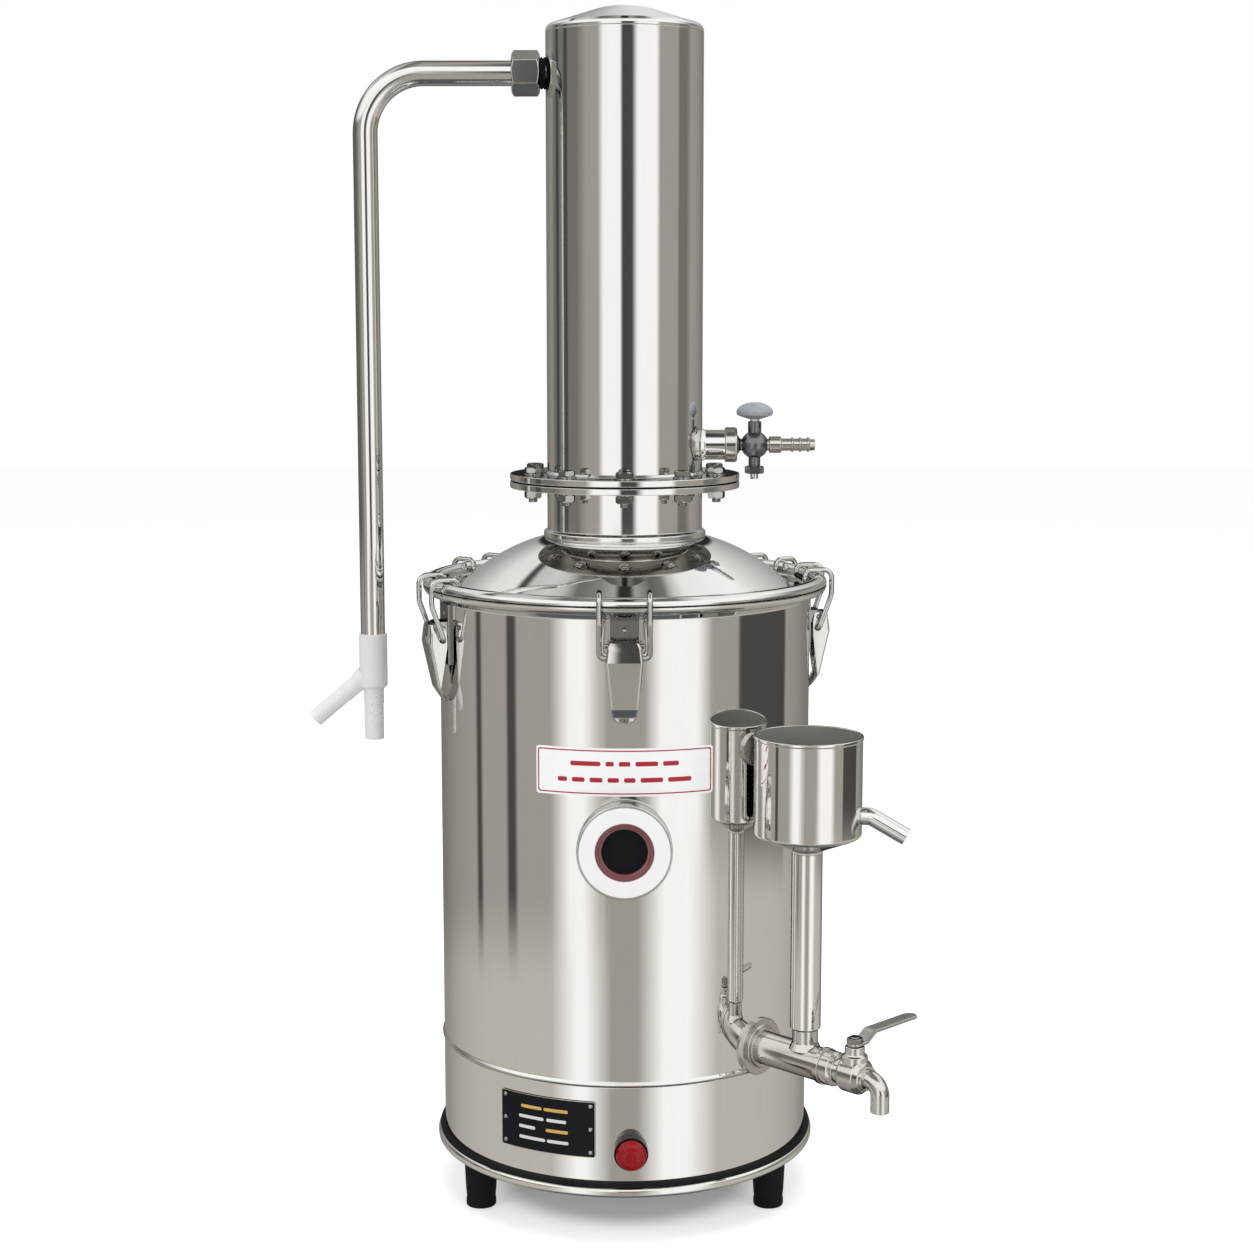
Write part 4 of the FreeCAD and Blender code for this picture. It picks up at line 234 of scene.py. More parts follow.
# ---- meshes -------------------------------------------------------------------------
class Shape:
    """Collects surfaces, in millimetres, and makes one mesh of them."""

    def __init__(self) -> None:
        """An empty shape."""
        self.points: list[Array] = []
        self.faces: list[list[int]] = []
        self.count = 0

    def grid(self, points: Array, wrap_rows: bool = False, wrap_columns: bool = True) -> "Shape":
        """Adds a surface of rows by columns of points, its quads found by index arithmetic.

        Args:
            points: an array of (rows, columns, 3).
            wrap_rows: whether the last row joins the first.
            wrap_columns: whether the last column joins the first.

        Returns:
            The shape itself.
        """
        rows, columns = points.shape[:2]
        index = np.arange(rows * columns).reshape(rows, columns) + self.count
        if wrap_rows:
            index = np.vstack([index, index[:1]])
        if wrap_columns:
            index = np.hstack([index, index[:, :1]])
        quads = np.stack([index[:-1, :-1], index[:-1, 1:], index[1:, 1:], index[1:, :-1]], -1)
        self.faces += quads.reshape(-1, 4).tolist()
        self.points.append(points.reshape(-1, 3))
        self.count += rows * columns
        return self

    def revolve(self, profile: Array, place: Place = Place(), segments: int = 96,
                closed: bool = True) -> "Shape":
        """Adds a turned surface: (r cos a, r sin a, z) for each profile point (r, z).

        Args:
            profile: rows of (r, z).
            place: where its axis, the local z, stands.
            segments: columns round the axis.
            closed: whether the profile's end joins its start.

        Returns:
            The shape itself.
        """
        angle = full_turn(segments)
        r, z = profile[:, :1], profile[:, 1:2]
        local = np.stack([r * np.cos(angle), r * np.sin(angle), z + 0 * angle], -1)
        return self.grid(place.world(local), closed, True)

    def sweep(self, path: Array, radius: float | Array, bore: float = 0.0, sides: int = 40,
              lip: float = 0.0) -> "Shape":
        """Adds a round tube or rod along a path.

        Each point of the path carries a circle: point + radius * (cos a * n + sin a * b), where n
        and b are carried along with the least twist.

        Args:
            path: rows of (x, y, z).
            radius: the outer radius, one value or one for each row.
            bore: the inner radius, or 0 for a rod.
            sides: columns round the path.
            lip: how much the ends' edges are broken.

        Returns:
            The shape itself.
        """
        tangent = np.gradient(path, along(path), axis=0)
        tangent /= np.linalg.norm(tangent, axis=1)[:, None]
        normals = carried_normals(tangent)
        sideways = np.cross(tangent, normals)
        radii = np.broadcast_to(np.asarray(radius, float), (len(path),)).copy()
        starts = np.vstack([path[:1], path[:1] + tangent[:1] * lip, path[1:-1],
                            path[-1:] - tangent[-1:] * lip, path[-1:]])
        pick = np.r_[0, 0, 1:len(path) - 1, len(path) - 1, len(path) - 1]
        outer = radii[pick].copy()
        outer[[0, -1]] -= lip
        n, b = normals[pick], sideways[pick]
        if bore > 0:
            rows = np.vstack([starts, starts[::-1]])
            outer = np.r_[outer, np.full(len(starts), bore)]
            n, b = np.vstack([n, n[::-1]]), np.vstack([b, b[::-1]])
        else:
            rows = np.vstack([starts[:1], starts, starts[-1:]])
            outer = np.r_[0.0, outer, 0.0]
            n, b = np.vstack([n[:1], n, n[-1:]]), np.vstack([b[:1], b, b[-1:]])
        angle = full_turn(sides)
        ring = np.cos(angle)[None, :, None] * n[:, None] + np.sin(angle)[None, :, None] * b[:, None]
        return self.grid(rows[:, None] + outer[:, None, None] * ring, bore > 0, True)

    def prism(self, outline: Array, low: float, high: float, place: Place = Place()) -> "Shape":
        """Adds an outline of (x, y) points drawn out along the place's z from low to high."""
        count = len(outline)
        layers = [np.column_stack([outline, np.full(count, level)]) for level in (low, high)]
        base = self.count
        self.grid(place.world(np.stack(layers)), False, True)
        self.faces += [list(range(base, base + count)), list(range(base + count, base + 2 * count))]
        return self

    def hexagon(self, flats: float, height: float, bore: float, chamfer: float,
                place: Place = Place(), turned: float = 0.0) -> "Shape":
        """Adds a hex nut or head: the side radius is flats / 2 / cos(angle from the flat's middle).

        The chamfer is a cone, so each side's edge dips where the corner reaches past it.

        Args:
            flats: size across the flats.
            height: from the bottom face to the top.
            bore: diameter of its hole, or 0.
            chamfer: how far the cone cuts the corners down.
            place: where its bottom face stands.
            turned: degrees that it is turned about its axis from a flat on the local x.

        Returns:
            The shape itself.
        """
        angle = full_turn(HEX_SEGMENTS)
        side = flats / 2 / np.cos((angle + math.pi / 6) % (math.pi / 3) - math.pi / 6)
        corner = flats / math.sqrt(3)
        face = flats / 2 * HEX_FACE
        drop = chamfer * np.clip((side - face) / (corner - face), 0, 1)
        flat = np.full_like(angle, face)
        hole = np.full_like(angle, bore / 2)
        radii = np.stack([hole, flat, side, side, flat, hole])
        heights = np.stack([
            0 * angle, 0 * angle, drop, height - drop, height + 0 * angle, height + 0 * angle])
        angle = angle + math.radians(turned)
        local = np.stack([radii * np.cos(angle), radii * np.sin(angle), heights], -1)
        return self.grid(place.world(local), bore > 0, True)

    def sphere(self, diameter: float, place: Place = Place(), segments: int = 40) -> "Shape":
        """Adds a ball: r = R cos v and z = R sin v, turned about the place's z."""
        v = np.linspace(-math.pi / 2, math.pi / 2, segments // 2 + 1)
        return self.revolve(
            diameter / 2 * np.column_stack([np.cos(v), np.sin(v)]), place, segments, False)

    def build(self, name: str, recalculate: bool = True) -> bpy.types.Object:
        """Makes the object: merges doubles, turns faces outwards and marks the sharp edges.

        Args:
            name: the piece's name.
            recalculate: False for an open sheet whose faces already point the right way.

        Returns:
            The object, at the origin.
        """
        mesh = bpy.data.meshes.new(name)
        mesh.from_pydata((np.vstack(self.points) * MM).tolist(), [], self.faces)
        work = bmesh.new()
        work.from_mesh(mesh)
        bmesh.ops.remove_doubles(work, verts=work.verts, dist=MERGE_DISTANCE)
        if recalculate:
            bmesh.ops.recalc_face_normals(work, faces=work.faces)
        work.to_mesh(mesh)
        work.free()
        mesh.polygons.foreach_set("use_smooth", np.ones(len(mesh.polygons), bool))
        mesh.set_sharp_from_angle(angle=SHARP_ANGLE)
        piece = bpy.data.objects.new(name, mesh)
        bpy.context.scene.collection.objects.link(piece)
        return piece


def carried_normals(tangent: Array) -> Array:
    """A normal for each station of a path, turned from one to the next by the bend alone.

    One step for each station: the normal loses its part along the new tangent.
    """
    helper = square_helper(tangent[0])
    current = helper - tangent[0] * (helper @ tangent[0])
    made = np.empty_like(tangent)
    for station, way in enumerate(tangent):
        current = current - way * (current @ way)
        current /= np.linalg.norm(current)
        made[station] = current
    return made


def soften(piece: bpy.types.Object, width: float, segments: int = 2,
           angle: float = 30.0) -> bpy.types.Object:
    """Breaks a piece's edges with a Bevel modifier of a width in millimetres."""
    bevel = piece.modifiers.new("edges", "BEVEL")
    bevel.width = width * MM
    bevel.segments = segments
    bevel.limit_method = "ANGLE"
    bevel.angle_limit = math.radians(angle)
    bevel.harden_normals = True
    return piece


def place_piece(piece: bpy.types.Object, finish: "Finish", *nodes: str,
                body: str = STAND) -> bpy.types.Object:
    """Gives a new piece its finish and body, and has it stand for its solids.

    Args:
        piece: the object.
        finish: what it is made of.
        nodes: the solids that it replaces.
        body: the body it moves with.

    Returns:
        The piece.
    """
    piece.data.materials.append(finish.material())
    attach(piece, body)
    finish.slot or finish.name
    if nodes:
        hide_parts(*nodes)
    LOG.info("%s: %d faces on %s", piece.name, len(piece.data.polygons), body)
    return piece


def refinish(piece: bpy.types.Object, finish: "Finish",
             pick: Callable[[Array, Array], Array]) -> None:
    """Gives some of a piece's faces another finish.

    Args:
        piece: the object.
        finish: what those faces are made of.
        pick: a test of the faces' centres, in mm, and normals, True where the finish goes.
    """
    count = len(piece.data.polygons)
    centre, normal = np.empty(count * 3), np.empty(count * 3)
    piece.data.polygons.foreach_get("center", centre)
    piece.data.polygons.foreach_get("normal", normal)
    picked = pick(centre.reshape(-1, 3) / MM, normal.reshape(-1, 3))
    piece.data.materials.append(finish.material())
    piece.data.polygons.foreach_set("material_index", picked.astype(np.int32))


def dress(frame: dict, finish: "Finish", *nodes: str) -> None:
    """Gives solids that stay as they are their finish."""
    for name in nodes:
        node = frame["nodes"][name]
        node.data.materials.clear()
        node.data.materials.append(finish.material())
        LOG.info("%s keeps its solid, in %s", name, finish.name)


# ---- nodes --------------------------------------------------------------------------
def node(tree: Tree, kind: str, **values: object) -> bpy.types.Node:
    """A new node, with properties by name and unlinked inputs by name prefixed with 'in_'."""
    made = tree.nodes.new(kind)
    for key, value in values.items():
        if key.startswith("in_"):
            made.inputs[key[3:].replace("_", " ")].default_value = value
        else:
            setattr(made, key, value)
    return made


def feed(tree: Tree, sinks: Iterable[Socket], values: Iterable[Source]) -> None:
    """Gives each input its value: a socket is linked, a number or a colour is set."""
    for sink, value in zip(sinks, values):
        if isinstance(value, bpy.types.NodeSocket):
            tree.links.new(value, sink)
        else:
            sink.default_value = value


def maths(tree: Tree, operation: str, *values: Source, clamp: bool = False) -> Socket:
    """The result of a Math node."""
    made = node(tree, "ShaderNodeMath", operation=operation, use_clamp=clamp)
    feed(tree, made.inputs, values)
    return made.outputs[0]


def vector_maths(tree: Tree, operation: str, *values: Source) -> bpy.types.NodeOutputs:
    """The outputs of a Vector Math node."""
    made = node(tree, "ShaderNodeVectorMath", operation=operation)
    feed(tree, made.inputs, values)
    return made.outputs


def mixed(tree: Tree, share: Socket, first: Source, second: Source) -> Socket:
    """One colour where the share is 0, another where it is 1, and a blend between."""
    made = node(tree, "ShaderNodeMix", data_type="RGBA")
    feed(tree, (made.inputs[0], made.inputs[6], made.inputs[7]), (share, first, second))
    return made.outputs[2]


def share_between(tree: Tree, value: Socket, low: float, high: float, least: float = 0.0,
                  most: float = 1.0, kind: str = "LINEAR") -> Socket:
    """A value's share of the way from low to high, kept from least to most."""
    made = node(tree, "ShaderNodeMapRange", interpolation_type=kind, in_From_Min=low,
                in_From_Max=high, in_To_Min=least, in_To_Max=most)
    feed(tree, (made.inputs["Value"],), (value,))
    return made.outputs["Result"]


def opaque(colour: Colour) -> tuple[float, ...]:
    """A colour with an alpha of one."""
    return (*colour, 1.0)


def grey(tone: float) -> tuple[float, ...]:
    """An opaque grey."""
    return opaque((tone, tone, tone))


# ---- finishes -----------------------------------------------------------------------
class Pattern(Enum):
    """How the fine lines of a finish run: how often they repeat along x, y and z."""

    VERTICAL = (60.0, 60.0, 2.2)
    LEVEL = (2.5, 2.5, 90.0)
    GRAINY = (60.0, 60.0, 60.0)


def surface_marks() -> Tree:
    """The group that every finish shares: fine lines along a stretch, and broad patches.

    Returns:
        A node group with inputs Position, Stretch, Line Scale and Patch Scale and outputs
        Lines and Patches, both from 0 to 1 round a middle of a half.
    """
    name = "surface_marks"
    if name in bpy.data.node_groups:
        return bpy.data.node_groups[name]
    group = bpy.data.node_groups.new(name, "ShaderNodeTree")
    for title, way, kind in (
            ("Position", "INPUT", "Vector"), ("Stretch", "INPUT", "Vector"),
            ("Line Scale", "INPUT", "Float"), ("Patch Scale", "INPUT", "Float"),
            ("Lines", "OUTPUT", "Float"), ("Patches", "OUTPUT", "Float")):
        group.interface.new_socket(title, in_out=way, socket_type=f"NodeSocket{kind}")
    source = node(group, "NodeGroupInput").outputs
    sink = node(group, "NodeGroupOutput").inputs
    stretched = vector_maths(group, "MULTIPLY", source["Position"], source["Stretch"])[0]
    for title, vector, scale, detail, roughness in (
            ("Lines", stretched, source["Line Scale"], 4.0, 0.6),
            ("Patches", source["Position"], source["Patch Scale"], 3.0, 0.55)):
        noise = node(group, "ShaderNodeTexNoise", in_Detail=detail, in_Roughness=roughness)
        feed(group, (noise.inputs["Vector"], noise.inputs["Scale"]), (vector, scale))
        group.links.new(noise.outputs["Fac"], sink[title])
    return group


@dataclass(frozen=True)
class Finish:
    """One finish: its colours, gloss, fine lines and patches.

    The colour runs from tint to shade where lines and patches are strong, roughness moves
    with them by its spread, and the lines stand up as a very low bump. Lines and patches
    each have a scale and a weight. The slot is the record's, where its name is another.
    """

    name: str
    tint: Colour
    shade: Colour
    roughness: float = 0.4
    spread: float = 0.1
    lines: Pair = (20.0, 0.5)
    patches: Pair = (30.0, 0.6)
    bump: float = 0.0
    bump_depth: float = 0.0001
    pattern: Pattern = Pattern.GRAINY
    metallic: float = 0.0
    transmission: float = 0.0
    index: float = 1.5
    specular: float = 0.5
    edge: float = 0.0
    coat: float = 0.0
    # emission in the tint: the red indicator lamp's glow, and painted light on the pale label and
    # plastics
    glow: float = 0.0
    subsurface: float = 0.0
    slot: str = ""

    def material(self) -> bpy.types.Material:
        """The finish as a material, made once."""
        title = f"{self.name}_finish"
        if title in bpy.data.materials:
            return bpy.data.materials[title]
        made = bpy.data.materials.new(title)
        made.use_nodes = True
        tree = made.node_tree
        tree.nodes.clear()
        shader = node(tree, "ShaderNodeBsdfPrincipled")
        marks = node(tree, "ShaderNodeGroup", node_tree=surface_marks())
        position = node(tree, "ShaderNodeTexCoord").outputs["Object"]
        feed(tree, marks.inputs, (position, self.pattern.value, self.lines[0], self.patches[0]))
        mask = self.mask(tree, marks.outputs)
        half = self.spread / 2
        raised = node(tree, "ShaderNodeBump", in_Strength=self.bump, in_Distance=self.bump_depth)
        tree.links.new(marks.outputs["Lines"], raised.inputs["Height"])
        feed(tree, [shader.inputs[key] for key in ("Base Color", "Roughness", "Normal")], (
            mixed(tree, mask, opaque(self.tint), opaque(self.shade)),
            share_between(tree, mask, 0.0, 1.0, max(LEAST_ROUGHNESS, self.roughness - half),
                          self.roughness + half), raised.outputs["Normal"]))
        self.settle(shader)
        tree.links.new(shader.outputs[0], node(tree, "ShaderNodeOutputMaterial").inputs["Surface"])
        return made

    def mask(self, tree: Tree, marks: bpy.types.NodeOutputs) -> Socket:
        """Lines and patches added up by their weights round a half, kept from 0 to 1."""
        line_weight, patch_weight = self.lines[1], self.patches[1]
        middle = 0.5 - (line_weight + patch_weight) / 2
        lines = maths(tree, "MULTIPLY_ADD", marks["Lines"], line_weight, middle)
        return maths(tree, "MULTIPLY_ADD", marks["Patches"], patch_weight, lines, clamp=True)

    def settle(self, shader: bpy.types.Node) -> None:
        """Sets what is the same all over the surface."""
        values = {
            "Metallic": self.metallic, "IOR": self.index, "Specular IOR Level": self.specular,
            "Transmission Weight": self.transmission, "Specular Tint": grey(1.0 - self.edge),
            "Coat Weight": self.coat, "Coat Roughness": COAT_ROUGHNESS,
            "Subsurface Weight": self.subsurface, "Subsurface Radius": SUBSURFACE_RADIUS}
        # emission: a lamp's glow on the red lens, painted light on the pale label and plastics
        if self.glow > 0:
            values |= {"Emission Color": opaque(self.tint), "Emission Strength": self.glow}
        for title, value in values.items():
            shader.inputs[title].default_value = value


POLISHED = Finish(
    "polished_steel", (0.93, 0.925, 0.91), (0.87, 0.865, 0.85), 0.035, 0.02, (9.0, 0.9), (9.0, 0.6),
    0.012, pattern=Pattern.VERTICAL, metallic=1.0, edge=0.45)
POLISHED_DOME = replace(POLISHED, name="polished_dome_steel", edge=0.2, slot="polished_steel")
POLISHED_PIPE = replace(POLISHED, name="polished_pipe_steel", edge=1.0, slot="polished_steel")
SATIN = Finish("satin_steel", (0.72, 0.695, 0.66), (0.58, 0.56, 0.53), 0.26, 0.12, (14.0, 1.0),
               (30.0, 0.5), 0.05, metallic=1.0, edge=0.5)
TURNED = Finish("turned_level_steel", (0.86, 0.84, 0.81), (0.68, 0.66, 0.63), 0.12, 0.08,
                (10.0, 1.0), (30.0, 0.5), 0.03, metallic=1.0, edge=0.9, slot="satin_steel")
SATIN_PIPE = replace(TURNED, name="satin_pipe_steel", tint=(0.84, 0.815, 0.78),
                     shade=(0.70, 0.68, 0.65), roughness=0.11, lines=(12.0, 1.0))
BRACKET_STEEL = Finish(
    "bracket_steel", (0.50, 0.49, 0.48), (0.40, 0.39, 0.38), 0.16, 0.06, (4.0, 0.5), (12.0, 0.7),
    0.005, pattern=Pattern.VERTICAL, metallic=1.0, edge=0.7)
# painted shade: a darker steel for the flange's underside, where it lies in shade
PAINTED_SHADE_UNDERSIDE = Finish(
    "painted_shade_underside_steel", (0.27, 0.25, 0.23), (0.21, 0.195, 0.18), 0.13, 0.05, (4.0, 0.5), (6.0, 0.5),
    pattern=Pattern.LEVEL, metallic=1.0)
LATCH_STEEL = Finish("latch_steel", (0.88, 0.87, 0.85), (0.74, 0.73, 0.71), 0.09, 0.06, (12.0, 1.0),
                     (40.0, 0.6), 0.02, metallic=1.0, edge=0.6, slot="satin_steel")
DULL_INSIDE = Finish("dull_steel", (0.66, 0.64, 0.61), (0.50, 0.485, 0.46), 0.3, 0.08, (12.0, 1.0),
                     (30.0, 0.5), 0.04, pattern=Pattern.LEVEL, metallic=0.75)
WIRE = Finish("steel_wire", (0.84, 0.83, 0.81), (0.66, 0.65, 0.63), 0.10, 0.08, (14.0, 0.8),
              (40.0, 0.5), 0.02, metallic=1.0, edge=1.0)
ZINC = Finish(
    "zinc_steel", (0.62, 0.61, 0.59), (0.40, 0.39, 0.38), 0.14, 0.1, (16.0, 1.0), (50.0, 0.8), 0.05,
    metallic=1.0, edge=1.0)
DARK_CHROME = Finish("dark_chrome", (0.25, 0.26, 0.28), (0.21, 0.22, 0.24), 0.22, 0.05, (8.0, 0.5),
                     (20.0, 0.5), 0.01, metallic=1.0, edge=0.6)
BLACK_RUBBER = Finish("black_rubber", (0.010, 0.010, 0.011), (0.02, 0.02, 0.021), 0.5, 0.2,
                      (16.0, 0.6), (30.0, 0.6), 0.08, 0.0002, index=1.12, specular=0.3)
BROWN_RUBBER = Finish("brown_rubber", (0.23, 0.075, 0.085), (0.14, 0.04, 0.048), 0.26, 0.12,
                      (16.0, 0.6), (60.0, 0.6), 0.05, 0.0002, coat=0.5)
BLACK_PLASTIC = Finish("black_plastic", (0.006, 0.006, 0.007), (0.012, 0.012, 0.013), 0.3, 0.12,
                       (20.0, 0.6), (30.0, 0.6), 0.05, 0.0002, coat=0.05, specular=0.25)
BLACK_GLOSS = Finish(
    "black_gloss_plastic", (0.004, 0.004, 0.005), (0.008, 0.008, 0.009), 0.16, 0.08, (20.0, 0.6),
    (30.0, 0.6), 0.02, index=1.2, specular=0.4)
RED_LENS = Finish("red_lens", (0.34, 0.002, 0.006), (0.16, 0.001, 0.003), 0.12, 0.06, (20.0, 0.5),
                  (60.0, 0.9), 0.02, coat=0.2, glow=0.06, specular=0.3)
BLACK_PLATE = Finish("black_plate", (0.006, 0.007, 0.009), (0.012, 0.013, 0.016), 0.3, 0.1,
                     (18.0, 0.6), (26.0, 0.6), 0.03, specular=0.08)
# painted light: the label glows a little so that it looks brighter
WHITE_LABEL = Finish("white_label", (0.90, 0.895, 0.90), (0.83, 0.825, 0.84), 0.35, 0.1,
                     (12.0, 0.5), (14.0, 0.6), 0.03, glow=0.07)
# painted light: the white plastic glows a little so that it looks brighter
WHITE_PLASTIC = Finish("white_plastic", (0.88, 0.875, 0.87), (0.80, 0.795, 0.79), 0.32, 0.1,
                       (14.0, 0.5), (20.0, 0.6), 0.03, 0.0002, subsurface=0.1, glow=0.05)
# painted light: the wye's plastic glows a little so that it looks brighter
CLEAR_WHITE = Finish(
    "clear_white_plastic", (0.90, 0.90, 0.90), (0.82, 0.82, 0.825), 0.28, 0.1, (14.0, 0.5),
    (20.0, 0.6), 0.03, 0.0002, transmission=0.2, subsurface=0.3, glow=0.03)
GREY_KNOB = Finish(
    "grey_knob", (0.34, 0.37, 0.40), (0.28, 0.305, 0.33), 0.3, 0.12, (16.0, 0.5), (30.0, 0.6), 0.04,
    0.0002, coat=0.3)
DARK_GLASS = Finish("dark_glass", (0.006, 0.007, 0.009), (0.012, 0.013, 0.016), 0.05, 0.03,
                    (20.0, 0.4), (20.0, 0.5), specular=0.1)
CERAMIC = Finish("cream_ceramic", (0.70, 0.66, 0.55), (0.60, 0.56, 0.46), 0.4, 0.1, (18.0, 0.6),
                 (30.0, 0.6), 0.05, 0.0002)
RED_INK = Finish("red_ink", (0.46, 0.012, 0.03), (0.36, 0.01, 0.025), 0.4, patches=(40.0, 0.5),
                 slot="white_label")
GOLD_INK = Finish("gold_ink", (0.70, 0.42, 0.10), (0.60, 0.35, 0.08), 0.35, patches=(40.0, 0.5),
                  slot="black_plate")
WHITE_INK = Finish("white_ink", (0.75, 0.75, 0.76), (0.62, 0.62, 0.63), 0.4, patches=(40.0, 0.5),
                   slot="black_plate")


# ---- shared sizes, in millimetres ---------------------------------------------------
BODY_R = 122.5
FOOT_HEIGHT = 32.4
PLATE_TOP = 34.0
SKIRT_TOP = 103.6
SHELL_BOTTOM = 104.3
SHELL_TOP = 409.3
LID_SEAT = 410.1
LID_RIM_TOP = 415.3
RIM_OUTER_R = 133.4
RIM_INNER_R = 124.3
NECK_R = 51.0
DOME_TOP = 440.8
FLANGE_BOTTOM = 472.8
FLANGE_THICKNESS = 4.1
FLANGE_TOP = 482.0
CONDENSER_TOP = 763.9
COCK_Z = 500.4
FEED_AZIMUTH = 45.0
FEED_R = 161.0
DRAIN_Z = 119.3
DRAIN_END_R = 180.0
BODY_SEGMENTS = 192
PRINT_SINK = 0.05


def on_body(outline: Array, radius: float) -> Array:
    """Wraps flat points (s, z) round the body: azimuth = s / body radius."""
    angle = outline[:, 0] / BODY_R
    return np.column_stack([radius * np.sin(angle), -radius * np.cos(angle), outline[:, 1]])


def round_rectangle(middle: Pair, width: float, height: float, corner: float,
                    count: int = 160) -> Array:
    """A rectangle with rounded corners, resampled to evenly spaced (s, z) points.

    Args:
        middle: its centre.
        width: its full width.
        height: its full height.
        corner: the radius of its corners.
        count: points round it.

    Returns:
        The outline, one row each.
    """
    half_width, half_height = width / 2, height / 2
    line = rounded([(x * half_width, y * half_height, corner)
                    for x, y in ((-1, -1), (1, -1), (1, 1), (-1, 1))])
    line = np.vstack([line, line[:1]])
    run = along(line)
    at = np.linspace(0, run[-1], count, endpoint=False)
    return np.column_stack([np.interp(at, run, line[:, k]) for k in (0, 1)]) + middle


def wrapped_frame(shape: Shape, outer: Array, inner: Array, base: float, top: float) -> None:
    """Adds a thin frame on the body between two outlines of the same count.

    Its section is a rectangle from the base radius to the top radius, carried round the outlines.
    """
    rows = [on_body(outer, base), on_body(outer, top), on_body(inner, top), on_body(inner, base)]
    shape.grid(np.stack(rows), True, True)


def wrapped_pad(shape: Shape, outline: Array, base: float, top: float) -> None:
    """Adds a thin pad on the body: an outline that shrinks in steps to its level middle line."""
    middle = outline.mean(axis=0)
    spine = np.column_stack([outline[:, 0], np.full(len(outline), middle[1])])
    spread = np.linspace(1, 0, 5)[:, None, None]
    faces = spread * outline + (1 - spread) * spine
    rows = [on_body(outline, base)] + [on_body(face, top) for face in faces]
    shape.grid(np.stack(rows), False, True)


